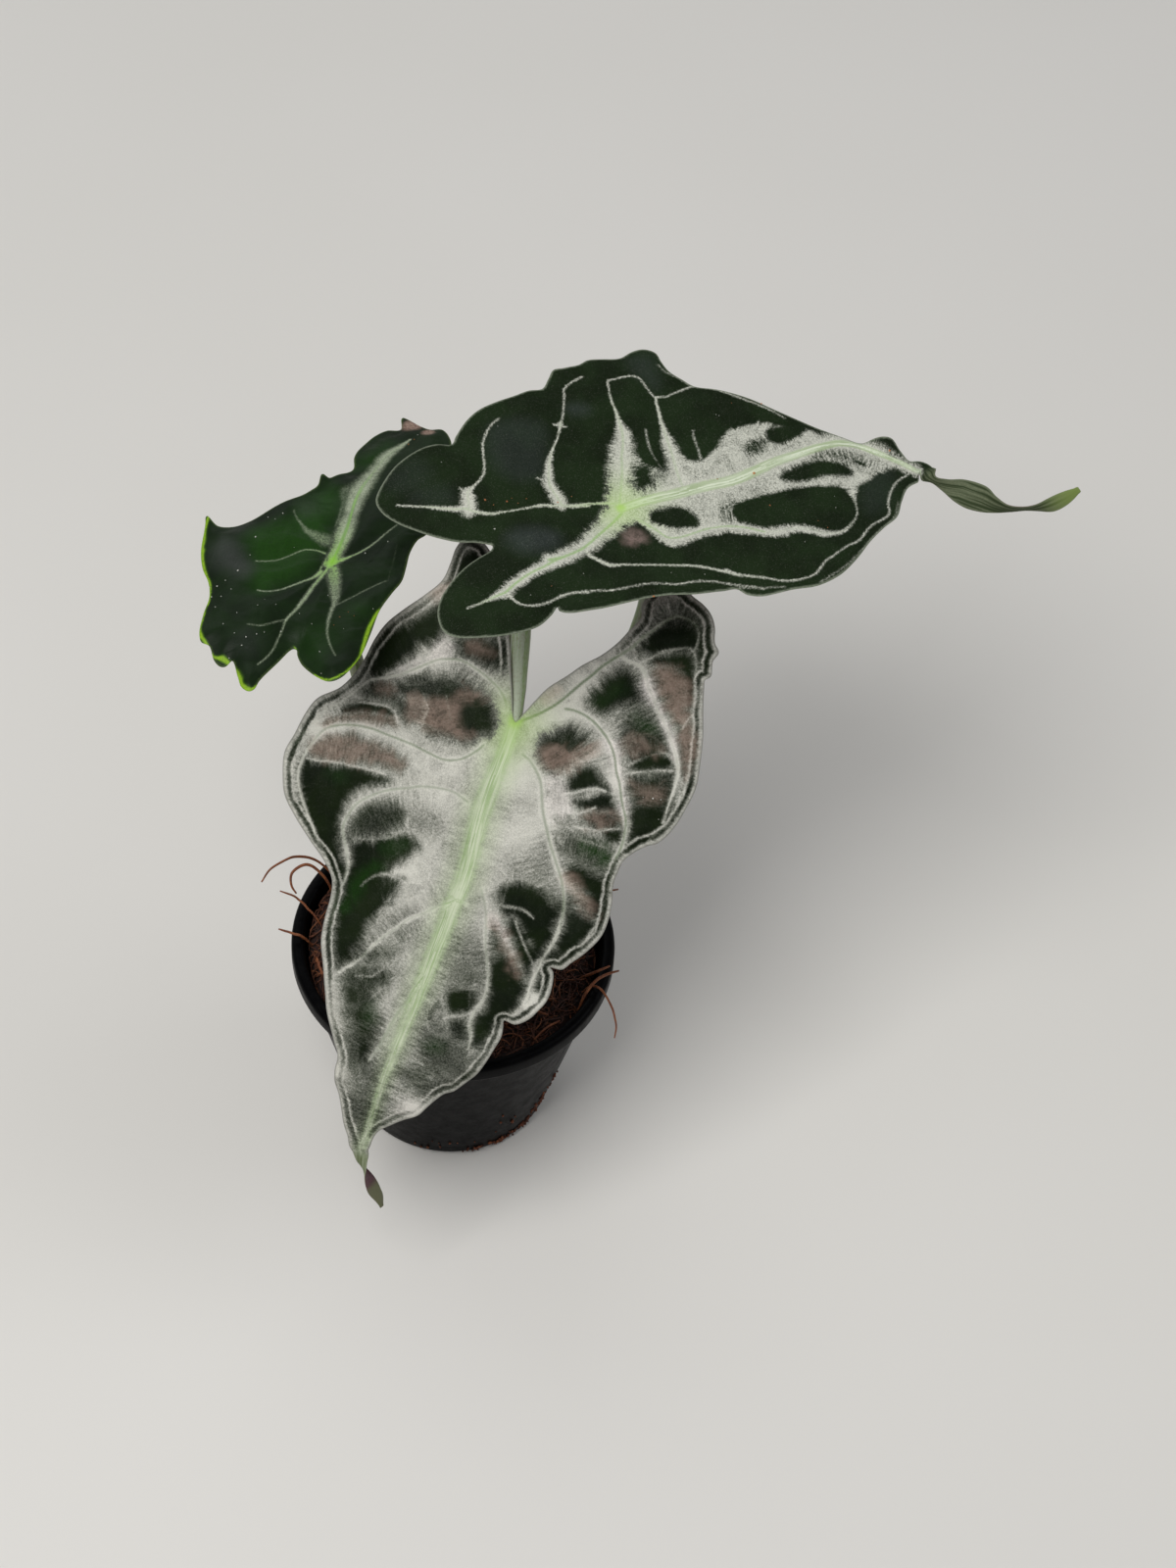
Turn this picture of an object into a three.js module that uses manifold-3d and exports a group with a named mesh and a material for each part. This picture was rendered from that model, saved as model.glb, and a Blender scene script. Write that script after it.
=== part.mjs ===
// Young alocasia in a nursery pot: three leaves on arching stalks, a short crown,
// papery sheaths, a coir plug with loose fibres, and a thin tapered pot.
// Millimetres, +Z up. The origin is the centre of the pot's flat underside.
// +X is to the right and +Y to the back when the big hanging leaf is seen from the front.

import * as THREE from 'three';
import Module from 'manifold-3d';
import { mergeVertices } from 'three/addons/utils/BufferGeometryUtils.js';

// ---------------------------------------------------------------- driving dimensions
const RIM_DIAMETER = 70;          // over the rolled rim
const POT_HEIGHT = 50;
const BASE_DIAMETER = 45;         // over the foot
const WALL = 1.1;                 // pot wall
const FLOOR = 1.4;                // pot floor
const DRAIN_HOLES = 6;
const DRAIN_DIAMETER = 5;
const DRAIN_CIRCLE_RADIUS = 14.5;
const COIR_LEVEL = 44.6;          // mean height of the coir surface
const COIR_ROUGHNESS = 0.8;       // height of its lumps
const CROWN_RADIUS = 6.2;
const CROWN_BOTTOM = 33;
const CROWN_TOP = 46.2;
const GAP = 0.35;                 // between touching pieces
const LEAF_THICKNESS = 0.8;
const LEAF_GRID = 6.2;            // spacing of points inside a blade
const MARGIN_STEP = 5.0;          // longest stretch between points on a margin
const MARGIN_BOW = 0.12;
const FIBRE_DIAMETER = 0.8;

const RIM_R = RIM_DIAMETER / 2;
const BASE_R = BASE_DIAMETER / 2;

// ---------------------------------------------------------------- colours
const material = (color, roughness) =>
  new THREE.MeshStandardMaterial({ color, roughness, metalness: 0 });
const POT_BLACK = 0x101012;
const COIR_BROWN = 0x4a2617;
const FIBRE_ORANGE = 0xa35f36;
const CROWN_GREEN = 0x6f8a52;
const STALK_GREEN = 0x9db58a;
const SHEATH_TAN = 0xb49a78;
const LEAF_SILVER = 0x9fb08f;
const LEAF_DARK = 0x1c3320;
const LEAF_GLOSS = 0x24480f;

const root = new THREE.Group();
function add(name, geometry, color, roughness) {
  const mesh = new THREE.Mesh(geometry, material(color, roughness));
  mesh.name = name;
  root.add(mesh);
  return mesh;
}

// ---------------------------------------------------------------- helpers
const V = (x, y, z) => new THREE.Vector3(x, y, z);

// repeatable pseudo-random numbers in 0..1
function seeded(seed) {
  let s = seed >>> 0;
  return () => {
    s = (Math.imul(s, 1664525) + 1013904223) >>> 0;
    return s / 4294967296;
  };
}

function solidFromLists(positions, triangles) {
  const g = new THREE.BufferGeometry();
  g.setAttribute('position', new THREE.BufferAttribute(new Float32Array(positions), 3));
  g.setIndex(triangles);
  g.computeVertexNormals();
  return g;
}

// a round bar along a smooth curve through the points, its radius eased from r0 to r1,
// with closed ends and an optional oval section
function taperedBar(points, r0, r1, steps, sides, easing = (t) => t) {
  const curve = new THREE.CatmullRomCurve3(points.map((p) => V(...p)), false, 'centripetal');
  const frames = curve.computeFrenetFrames(steps, false);
  const pos = [];
  const tri = [];
  for (let i = 0; i <= steps; i++) {
    const c = curve.getPointAt(i / steps);
    const r = r0 + (r1 - r0) * easing(i / steps);
    for (let j = 0; j < sides; j++) {
      const a = (2 * Math.PI * j) / sides;
      const p = c.clone()
        .addScaledVector(frames.normals[i], r * Math.cos(a))
        .addScaledVector(frames.binormals[i], r * Math.sin(a));
      pos.push(p.x, p.y, p.z);
    }
  }
  for (let i = 0; i < steps; i++) {
    for (let j = 0; j < sides; j++) {
      const a = i * sides + j;
      const b = i * sides + ((j + 1) % sides);
      tri.push(a, b, b + sides, a, b + sides, a + sides);
    }
  }
  const first = pos.length / 3;
  const s = curve.getPointAt(0);
  const e = curve.getPointAt(1);
  pos.push(s.x, s.y, s.z, e.x, e.y, e.z);
  for (let j = 0; j < sides; j++) {
    const k = (j + 1) % sides;
    tri.push(first, k, j);
    tri.push(first + 1, steps * sides + j, steps * sides + k);
  }
  return solidFromLists(pos, tri);
}

// a loose fibre: a fine bar of constant section swept along a curve
function fibreGeometry(points, diameter = FIBRE_DIAMETER, steps = 9) {
  const section = new THREE.Shape();
  const sides = 6;
  for (let j = 0; j < sides; j++) {
    const a = (2 * Math.PI * j) / sides;
    const x = (diameter / 2) * Math.cos(a);
    const y = (diameter / 2) * Math.sin(a);
    if (j === 0) section.moveTo(x, y); else section.lineTo(x, y);
  }
  section.closePath();
  const path = new THREE.CatmullRomCurve3(points.map((p) => V(...p)), false, 'centripetal');
  return new THREE.ExtrudeGeometry(section, { steps, bevelEnabled: false, extrudePath: path });
}

// ---------------------------------------------------------------- pot
function latheZ(profile, segments) {
  const g = new THREE.LatheGeometry(profile.map(([r, z]) => new THREE.Vector2(r, z)), segments);
  g.rotateX(Math.PI / 2);
  return g;
}

const wasm = await Module();
wasm.setup();
function toManifold(geometry) {
  const g = geometry.clone();
  for (const name of Object.keys(g.attributes)) if (name !== 'position') g.deleteAttribute(name);
  const m = mergeVertices(g, 1e-4);
  // faces that collapsed to a line where the profile meets the axis are dropped
  const idx = m.index.array;
  const tri = [];
  for (let i = 0; i < idx.length; i += 3) {
    const [a, b, c] = [idx[i], idx[i + 1], idx[i + 2]];
    if (a !== b && b !== c && a !== c) tri.push(a, b, c);
  }
  return new wasm.Manifold(new wasm.Mesh({
    numProp: 3,
    vertProperties: new Float32Array(m.attributes.position.array),
    triVerts: new Uint32Array(tri),
  }));
}
function fromManifold(solid) {
  const mesh = solid.getMesh();
  const g = new THREE.BufferGeometry();
  g.setAttribute('position', new THREE.BufferAttribute(new Float32Array(mesh.vertProperties), 3));
  g.setIndex(Array.from(mesh.triVerts));
  g.computeVertexNormals();
  return g;
}
// orientation is settled by the signed volume, so a turned-in solid is turned out
function facingOut(geometry) {
  const p = geometry.attributes.position;
  const idx = geometry.index ? Array.from(geometry.index.array) : [...Array(p.count).keys()];
  let vol = 0;
  const a = V(0, 0, 0), b = V(0, 0, 0), c = V(0, 0, 0);
  for (let i = 0; i < idx.length; i += 3) {
    a.fromBufferAttribute(p, idx[i]);
    b.fromBufferAttribute(p, idx[i + 1]);
    c.fromBufferAttribute(p, idx[i + 2]);
    vol += a.dot(b.clone().cross(c));
  }
  if (vol < 0) {
    for (let i = 0; i < idx.length; i += 3) [idx[i + 1], idx[i + 2]] = [idx[i + 2], idx[i + 1]];
  }
  geometry.setIndex(idx);
  return geometry;
}

// outer wall radius at a height, and inner wall radius at a height
const WALL_TOP_R = RIM_R - 2.1;
const outerR = (z) => BASE_R + ((WALL_TOP_R - BASE_R) * (z - 1)) / (POT_HEIGHT - 5);
const innerR = (z) => outerR(z) - WALL;

const potProfile = [
  [0, 0],
  [BASE_R - 1.0, 0],
  [BASE_R, 1.0],
  [outerR(3.2), 3.2],
  [outerR(POT_HEIGHT - 4.2), POT_HEIGHT - 4.2],
  [RIM_R - 0.7, POT_HEIGHT - 3.9],
  [RIM_R, POT_HEIGHT - 3.2],
  [RIM_R, POT_HEIGHT - 0.9],
  [RIM_R - 0.5, POT_HEIGHT - 0.2],
  [RIM_R - 1.2, POT_HEIGHT],
  [RIM_R - 2.3, POT_HEIGHT - 0.3],
  [RIM_R - 2.9, POT_HEIGHT - 1.2],
  [innerR(POT_HEIGHT - 4.2), POT_HEIGHT - 4.2],
  [innerR(FLOOR + 1.2), FLOOR + 1.2],
  [innerR(FLOOR) - 1.0, FLOOR],
  [0, FLOOR],
];
let pot = toManifold(facingOut(latheZ(potProfile, 56)));
for (let i = 0; i < DRAIN_HOLES; i++) {
  const a = (2 * Math.PI * i) / DRAIN_HOLES + Math.PI / 6;
  const drill = new THREE.CylinderGeometry(DRAIN_DIAMETER / 2, DRAIN_DIAMETER / 2, 4 * FLOOR, 14);
  drill.rotateX(Math.PI / 2);
  drill.translate(DRAIN_CIRCLE_RADIUS * Math.cos(a), DRAIN_CIRCLE_RADIUS * Math.sin(a), FLOOR / 2);
  pot = pot.subtract(toManifold(drill));
}
add('pot', fromManifold(pot), POT_BLACK, 0.42);

// ---------------------------------------------------------------- coir plug
// fills the pot, with a socket in the middle that the crown sits in
const socketR = CROWN_RADIUS + GAP;
const coirProfile = [
  [0, FLOOR + GAP],
  [innerR(FLOOR) - 1.0 - GAP, FLOOR + GAP],
  [innerR(FLOOR + 1.2) - GAP, FLOOR + 1.2 + GAP],
  [innerR(20) - GAP, 20],
  [innerR(COIR_LEVEL - 1.4) - GAP, COIR_LEVEL - 1.4],
  [innerR(COIR_LEVEL - 1.4) - 2.0, COIR_LEVEL - 0.2],
  [27, COIR_LEVEL],
  [23, COIR_LEVEL],
  [19, COIR_LEVEL + 0.1],
  [15, COIR_LEVEL + 0.2],
  [11, COIR_LEVEL + 0.3],
  [socketR + 0.8, COIR_LEVEL + 0.3],
  [socketR, COIR_LEVEL - 0.5],
  [socketR, CROWN_BOTTOM - GAP + 0.8],
  [0, CROWN_BOTTOM - GAP],
];
{
  const g = facingOut(latheZ(coirProfile, 40));
  const p = g.attributes.position;
  for (let i = 0; i < p.count; i++) {
    const x = p.getX(i), y = p.getY(i), z = p.getZ(i);
    const r = Math.hypot(x, y);
    if (z > COIR_LEVEL - 0.3 && r > socketR + 1.5 && r < innerR(COIR_LEVEL) - 1.2) {
      const lump = Math.sin(0.55 * x + 1.3) * Math.cos(0.47 * y - 0.4)
        + 0.6 * Math.sin(0.9 * y + 0.31 * x) + 0.4 * Math.cos(1.1 * x - 0.8 * y);
      p.setZ(i, z + COIR_ROUGHNESS * 0.5 * lump);
    }
  }
  g.computeVertexNormals();
  add('coir_plug', g, COIR_BROWN, 0.95);
}

// ---------------------------------------------------------------- crown
const crownProfile = [
  [0, CROWN_BOTTOM],
  [3.6, CROWN_BOTTOM + 0.6],
  [5.4, CROWN_BOTTOM + 2.6],
  [CROWN_RADIUS, CROWN_BOTTOM + 6],
  [CROWN_RADIUS, CROWN_TOP - 3.4],
  [CROWN_RADIUS - 0.3, CROWN_TOP - 0.8],
  [CROWN_RADIUS - 1.2, CROWN_TOP],
  [0, CROWN_TOP],
];
add('crown', facingOut(latheZ(crownProfile, 24)), CROWN_GREEN, 0.6);

// ---------------------------------------------------------------- leaf blades
// Each blade is drawn flat, as a margin in millimetres: a runs from where the stalk joins
// towards the tip, b across. It is laid on a frame (join point, tip direction, upper side)
// and bent by an arch along a, a fold and a droop across b. Past tipStart the blade
// becomes a narrow ribbon that follows its own twisting path.
const LEAVES = {
  leaf_front: {
    origin: [11.07, 7.73, 115.0],
    along: [-0.26754, -0.61047, -0.74549],
    up: [-0.05091, -0.76365, 0.64362],
    height: (a, b) => 0.0020 * a * (99.4 - a) - 0.0022 * b * b,
    tipStart: 97.7,
    tipShift: -0.37,
    tail: [
      [-15.4, -51.6, 42.0, 0.98, -0.17, 0.10, 3.4], [-15.1, -52.2, 38.5, 0.75, -0.62, 0.21, 2.6],
      [-14.4, -52.4, 36.0, 0.07, -0.99, 0.14, 2.6], [-13.3, -52.8, 33.0, -0.53, -0.84, -0.09, 2.8],
      [-12.3, -53.1, 30.0, -0.76, -0.60, -0.23, 2.8], [-11.3, -53.3, 27.5, -0.75, -0.64, -0.15, 2.2],
      [-10.7, -53.9, 25.5, -0.54, -0.83, 0.11, 0.8],
    ],
    margin: [
      [92.4, 4.0], [85.1, 8.3], [78.6, 11.9], [77.3, 13.7], [72.2, 16.9], [62.8, 19.1], [59.2, 20.0],
      [57.3, 22.6], [54.8, 24.4], [49.8, 25.5], [45.6, 25.4], [36.2, 31.3], [33.1, 31.7], [25.2, 30.1],
      [19.5, 30.5], [17.4, 31.8], [13.9, 35.9], [10.1, 37.9], [5.3, 38.9], [0.7, 39.4], [-3.8, 38.6],
      [-12.0, 36.0], [-20.2, 33.8], [-26.2, 34.0], [-32.9, 30.2], [-36.1, 23.1], [-36.3, 20.0],
      [-34.3, 17.6], [-30.4, 16.4], [-27.7, 17.0], [-21.6, 14.4], [-8.5, 4.4], [-1.0, 0.4],
      [-20.7, -9.8], [-26.5, -13.7], [-30.4, -17.4], [-31.6, -20.4], [-30.6, -22.6], [-28.4, -23.5],
      [-21.4, -23.9], [-9.4, -31.7], [3.0, -34.6], [6.2, -36.3], [9.9, -40.0], [13.6, -41.2],
      [22.4, -42.6], [30.7, -39.6], [40.4, -27.4], [43.4, -24.6], [56.5, -22.5], [70.5, -16.5],
      [78.6, -11.4], [84.1, -10.0], [92.4, -5.0],
    ],
  },
  leaf_top: {
    origin: [29.41, 34.04, 152.0],
    along: [0.94644, 0.31025, -0.08936],
    up: [0.12259, -0.08928, 0.98843],
    height: (a, b) => 0.16 * (Math.sqrt(b * b + 9) - 3) - 0.0026 * b * b
      + (a > 0 ? 0.0010 * a * (66 - a) : -0.0012 * a * a),
    tipStart: 66.7,
    tipShift: 1.9,
    tail: [
      [91.9, 56.6, 146.2, 0.65, 0.73, -0.20, 4.2], [93.6, 54.9, 145.6, 0.13, -0.29, 0.95, 2.6],
      [95.7, 54.3, 145.0, 0.25, 0.07, 0.97, 3.0], [98.6, 53.6, 144.4, 0.28, 0.53, 0.80, 4.8],
      [101.3, 52.8, 144.0, 0.28, 0.67, 0.69, 5.6], [103.9, 52.0, 143.8, 0.25, 0.51, 0.82, 5.4],
      [106.6, 50.6, 143.8, 0.0, 0.08, 1.0, 4.2], [109.3, 49.7, 144.0, -0.20, -0.36, 0.91, 3.4],
      [112.5, 49.4, 144.6, -0.24, -0.52, 0.82, 3.2], [115.2, 49.2, 145.4, -0.33, -0.28, 0.90, 3.0],
      [117.5, 49.2, 146.4, -0.45, 0.33, 0.83, 3.0], [119.5, 49.6, 147.6, -0.54, 0.59, 0.61, 3.0],
      [121.4, 50.1, 149.0, -0.61, 0.56, 0.56, 2.4], [122.8, 50.3, 150.4, -0.62, 0.56, 0.55, 0.8],
    ],
    margin: [
      [63.6, 4.6], [61.4, 9.4], [59.0, 10.4], [54.3, 9.6], [45.9, 13.7], [33.1, 22.6], [27.0, 25.6],
      [22.5, 27.0], [18.1, 31.7], [16.6, 36.7], [14.3, 38.2], [9.0, 36.5], [2.2, 37.1], [-0.1, 36.1],
      [-5.6, 35.4], [-9.0, 31.4], [-11.9, 30.7], [-23.0, 27.5], [-26.2, 25.2], [-30.6, 20.2],
      [-34.0, 20.0], [-37.8, 19.4], [-42.3, 17.1], [-45.9, 13.5], [-48.3, 9.4], [-47.5, 6.5],
      [-41.6, 1.2], [-34.3, -3.0], [-28.0, -5.8], [-35.0, -10.3], [-38.6, -13.7], [-41.2, -17.0],
      [-42.6, -20.7], [-42.4, -24.7], [-40.3, -26.6], [-34.9, -27.6], [-28.8, -27.8], [-24.1, -27.0],
      [-19.1, -23.8], [-16.6, -24.8], [-6.0, -23.6], [3.4, -23.4], [17.6, -24.5], [22.2, -26.7],
      [34.3, -25.6], [39.3, -23.7], [56.3, -9.8], [61.5, -2.0],
    ],
  },
  leaf_left: {
    origin: [-28.29, 29.51, 135.0],
    along: [0.21776, 0.97234, -0.08444],
    up: [-0.10139, 0.10859, 0.98890],
    height: (a, b) => 0.10 * (Math.sqrt(b * b + 4) - 2) - 0.004 * b * b
      + (a > 0 ? 0.0022 * a * (48 - a) : -0.004 * a * a),
    tipStart: 1e9,
    tipShift: 0,
    tail: null,
    margin: [
      [48.4, 0.3], [43.9, 1.0], [40.0, 3.9], [35.6, 5.3], [32.0, 5.6], [28.1, 5.2], [24.6, 9.6],
      [19.3, 11.4], [7.9, 20.9], [6.1, 23.6], [6.4, 27.3], [7.6, 29.8], [0.0, 28.6], [-14.6, 21.7],
      [-24.3, 20.5], [-31.1, 13.9], [-31.4, 11.6], [-34.9, 8.1], [-35.4, 6.5], [-34.8, 5.7],
      [-24.3, 0.4], [-28.0, -2.7], [-29.9, -6.0], [-30.7, -9.0], [-29.4, -11.0], [-23.2, -13.5],
      [-11.8, -13.7], [-3.0, -15.5], [5.5, -14.8], [11.4, -16.3], [19.1, -16.7], [30.0, -14.8],
      [41.2, -12.7], [45.2, -9.4], [46.6, -4.0],
    ],
  },
};

// position on a blade's middle surface
function bladePoint(leaf, a, b) {
  const O = V(...leaf.origin);
  const E = V(...leaf.along).normalize();
  const N = V(...leaf.up).addScaledVector(E, -V(...leaf.up).dot(E)).normalize();
  const W = N.clone().cross(E);
  const flat = O.addScaledVector(E, a).addScaledVector(W, b).addScaledVector(N, leaf.height(a, b));
  if (!leaf.tail || a <= leaf.tipStart - 3) return flat;
  const path = leaf.tailCurve;
  const s = Math.max(0, a - leaf.tipStart) / leaf.tailLength;
  const t = Math.min(1, s);
  const centre = path.getPointAt(t);
  const wide = leaf.tailWide.getPoint(path.getUtoTmapping(t, 0)).normalize();
  const ribbon = centre.addScaledVector(wide, b - leaf.tipShift * (1 - Math.min(1, 4 * s)));
  if (a < leaf.tipStart) {
    const first = leaf.tail[0];
    const back = V(first[3], first[4], first[5]).normalize();
    const ahead = path.getTangentAt(0);
    const early = path.getPointAt(0).addScaledVector(ahead, a - leaf.tipStart)
      .addScaledVector(back, b - leaf.tipShift);
    const w = (a - leaf.tipStart + 3) / 3;
    return flat.lerp(early, w * w * (3 - 2 * w));
  }
  return ribbon;
}
function bladeNormal(leaf, a, b) {
  const e = 0.25;
  const da = bladePoint(leaf, a + e, b).sub(bladePoint(leaf, a - e, b));
  const db = bladePoint(leaf, a, b + e).sub(bladePoint(leaf, a, b - e));
  return da.cross(db).normalize();
}

// closed margin with the ribbon tail added and long stretches divided
function fullMargin(leaf) {
  const loop = leaf.margin.map((p) => [...p]);
  if (leaf.tail) {
    leaf.tailCurve = new THREE.CatmullRomCurve3(
      leaf.tail.map((k) => V(k[0], k[1], k[2])), false, 'centripetal');
    leaf.tailWide = new THREE.CatmullRomCurve3(
      leaf.tail.map((k) => V(k[3], k[4], k[5])), false, 'centripetal');
    leaf.tailLength = leaf.tailCurve.getLength();
    const widths = leaf.tail.map((k) => k[6]);
    const stations = Math.round(leaf.tailLength / 2.4);
    const right = [];
    const left = [];
    for (let i = 0; i <= stations; i++) {
      const t = i / stations;
      const f = t * (widths.length - 1);
      const k = Math.min(widths.length - 2, Math.floor(f));
      const w = widths[k] + (widths[k + 1] - widths[k]) * (f - k);
      const shift = leaf.tipShift * (1 - Math.min(1, 4 * t));
      const a = leaf.tipStart + t * leaf.tailLength;
      right.push([a, shift + w / 2]);
      left.push([a, shift - w / 2]);
    }
    // the margin list starts just after the tip on the +b side and ends on the -b side
    loop.push(...left, ...right.reverse());
  }
  const out = [];
  for (let i = 0; i < loop.length; i++) {
    const [a0, b0] = loop[i];
    const [a1, b1] = loop[(i + 1) % loop.length];
    const length = Math.hypot(a1 - a0, b1 - b0);
    const n = Math.max(1, Math.round(length / MARGIN_STEP));
    for (let k = 0; k < n; k++) {
      // a divided stretch bows out a little, as a living margin does
      const bow = MARGIN_BOW * Math.sin((Math.PI * k) / n);
      out.push([
        a0 + ((a1 - a0) * k) / n + (bow * (b1 - b0)) / length,
        b0 + ((b1 - b0) * k) / n - (bow * (a1 - a0)) / length,
      ]);
    }
  }
  return out;
}
function insideLoop(loop, x, y) {
  let c = false;
  for (let i = 0, j = loop.length - 1; i < loop.length; j = i++) {
    const [xi, yi] = loop[i];
    const [xj, yj] = loop[j];
    if ((yi > y) !== (yj > y) && x < ((xj - xi) * (y - yi)) / (yj - yi) + xi) c = !c;
  }
  return c;
}
function distanceToLoop(loop, x, y) {
  let best = 1e9;
  for (let i = 0; i < loop.length; i++) {
    const [x0, y0] = loop[i];
    const [x1, y1] = loop[(i + 1) % loop.length];
    const dx = x1 - x0, dy = y1 - y0;
    const t = Math.max(0, Math.min(1, ((x - x0) * dx + (y - y0) * dy) / (dx * dx + dy * dy)));
    best = Math.min(best, Math.hypot(x - x0 - t * dx, y - y0 - t * dy));
  }
  return best;
}
// triangulates a loop with inner points: each edge of the loop is kept, and edges are
// flipped until no triangle's circle holds a neighbour
function triangulate(loop, inner) {
  const pts = [...loop, ...inner];
  let tris = THREE.ShapeUtils.triangulateShape(loop.map(([x, y]) => new THREE.Vector2(x, y)), []);
  const cross = (a, b, c) => (pts[b][0] - pts[a][0]) * (pts[c][1] - pts[a][1])
    - (pts[b][1] - pts[a][1]) * (pts[c][0] - pts[a][0]);
  tris = tris.map(([a, b, c]) => (cross(a, b, c) > 0 ? [a, b, c] : [a, c, b]));
  for (let k = loop.length; k < pts.length; k++) {
    const hit = tris.findIndex(([a, b, c]) =>
      cross(a, b, k) > 1e-9 && cross(b, c, k) > 1e-9 && cross(c, a, k) > 1e-9);
    if (hit < 0) continue;
    const [a, b, c] = tris[hit];
    tris.splice(hit, 1, [a, b, k], [b, c, k], [c, a, k]);
    flip(tris, pts, cross, loop.length);
  }
  return tris;
}
function flip(tris, pts, cross, count) {
  for (let pass = 0; pass < 60; pass++) {
    const owner = new Map();
    tris.forEach((t, i) => {
      for (let e = 0; e < 3; e++) owner.set(t[e] * 100000 + t[(e + 1) % 3], i);
    });
    let changed = false;
    const used = new Set();
    for (let i = 0; i < tris.length; i++) {
      if (used.has(i)) continue;
      for (let e = 0; e < 3; e++) {
        const t = tris[i];
        const a = t[e], b = t[(e + 1) % 3], c = t[(e + 2) % 3];
        const j = owner.get(b * 100000 + a);
        if (j === undefined || used.has(j) || j === i) continue;
        const u = tris[j];
        const d = u.find((q) => q !== a && q !== b);
        const [ax, ay] = [pts[a][0] - pts[d][0], pts[a][1] - pts[d][1]];
        const [bx, by] = [pts[b][0] - pts[d][0], pts[b][1] - pts[d][1]];
        const [cx, cy] = [pts[c][0] - pts[d][0], pts[c][1] - pts[d][1]];
        const det = (ax * ax + ay * ay) * (bx * cy - cx * by)
          - (bx * bx + by * by) * (ax * cy - cx * ay)
          + (cx * cx + cy * cy) * (ax * by - bx * ay);
        if (det > 1e-6 && cross(c, a, d) > 1e-6 && cross(d, b, c) > 1e-6) {
          tris[i] = [c, a, d];
          tris[j] = [d, b, c];
          used.add(i);
          used.add(j);
          changed = true;
          break;
        }
      }
    }
    if (!changed) break;
  }
}

function bladeGeometry(leaf) {
  const loop = fullMargin(leaf);
  const inner = [];
  const row = (LEAF_GRID * Math.sqrt(3)) / 2;
  let shift = 0;
  for (let a = -60; a < 140; a += row) {
    shift = LEAF_GRID / 2 - shift;
    for (let b = -60 + shift; b < 60; b += LEAF_GRID) {
      if (insideLoop(loop, a, b) && distanceToLoop(loop, a, b) > LEAF_GRID * 0.45) inner.push([a, b]);
    }
  }
  const tris = triangulate(loop, inner);
  const flat = [...loop, ...inner];
  const pos = [];
  const top = [];
  const bottom = [];
  for (const [a, b] of flat) {
    const p = bladePoint(leaf, a, b);
    const n = bladeNormal(leaf, a, b);
    top.push(p.clone().addScaledVector(n, LEAF_THICKNESS / 2));
    bottom.push(p.clone().addScaledVector(n, -LEAF_THICKNESS / 2));
  }
  for (const p of top) pos.push(p.x, p.y, p.z);
  for (const p of bottom) pos.push(p.x, p.y, p.z);
  const m = flat.length;
  const tri = [];
  for (const [a, b, c] of tris) {
    tri.push(a, b, c);
    tri.push(m + a, m + c, m + b);
  }
  // edge band: its winding follows the triangles that own the margin edges
  const owner = new Set();
  for (const [a, b, c] of tris) {
    owner.add(a * 100000 + b);
    owner.add(b * 100000 + c);
    owner.add(c * 100000 + a);
  }
  for (let i = 0; i < loop.length; i++) {
    const j = (i + 1) % loop.length;
    const [p, q] = owner.has(i * 100000 + j) ? [i, j] : [j, i];
    tri.push(q, p, m + p, q, m + p, m + q);
  }
  return facingOut(solidFromLists(pos, tri));
}
add('leaf_front', bladeGeometry(LEAVES.leaf_front), LEAF_SILVER, 0.55);
add('leaf_top', bladeGeometry(LEAVES.leaf_top), LEAF_DARK, 0.55);
add('leaf_left', bladeGeometry(LEAVES.leaf_left), LEAF_GLOSS, 0.38);

// ---------------------------------------------------------------- stalks
// each rises from the crown and ends just under its blade
const STALKS = {
  petiole_front: {
    points: [[0.7, 3.1, 46.8], [0.9, 3.7, 51], [3.0, 14, 75], [6.2, 27.5, 100], [8.6, 33.2, 115],
      [9.9, 32.4, 123.8], [10.5, 28.6, 126.6], [10.9, 23.6, 124.6], [10.9, 17.0, 118.5],
      [11.0, 11.8, 114.5], [10.3, 7.5, 110.9]],
    r0: 2.7, r1: 1.95, steps: 30,
  },
  petiole_top: {
    points: [[3.0, -2.0, 46.8], [3.5, -1.5, 53], [10.4, 5.6, 67], [24, 19.5, 90], [33.5, 31.5, 111], [36.8, 37.5, 124],
      [35.6, 39.5, 137], [31.6, 36.6, 146.4], [29.9, 34.6, 150.2]],
    r0: 2.6, r1: 1.9, steps: 26,
  },
  petiole_left: {
    points: [[-2.8, -1.6, 46.8], [-3.2, -1.0, 51], [-9.0, 9.0, 67], [-17.5, 20.5, 88], [-24.2, 29.0, 108],
      [-27.6, 30.4, 123], [-28.15, 29.5, 133.4]],
    r0: 2.3, r1: 1.4, steps: 24,
  },
};
for (const [name, s] of Object.entries(STALKS)) {
  add(name, facingOut(taperedBar(s.points, s.r0, s.r1, s.steps, 10)), STALK_GREEN, 0.5);
}

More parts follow.
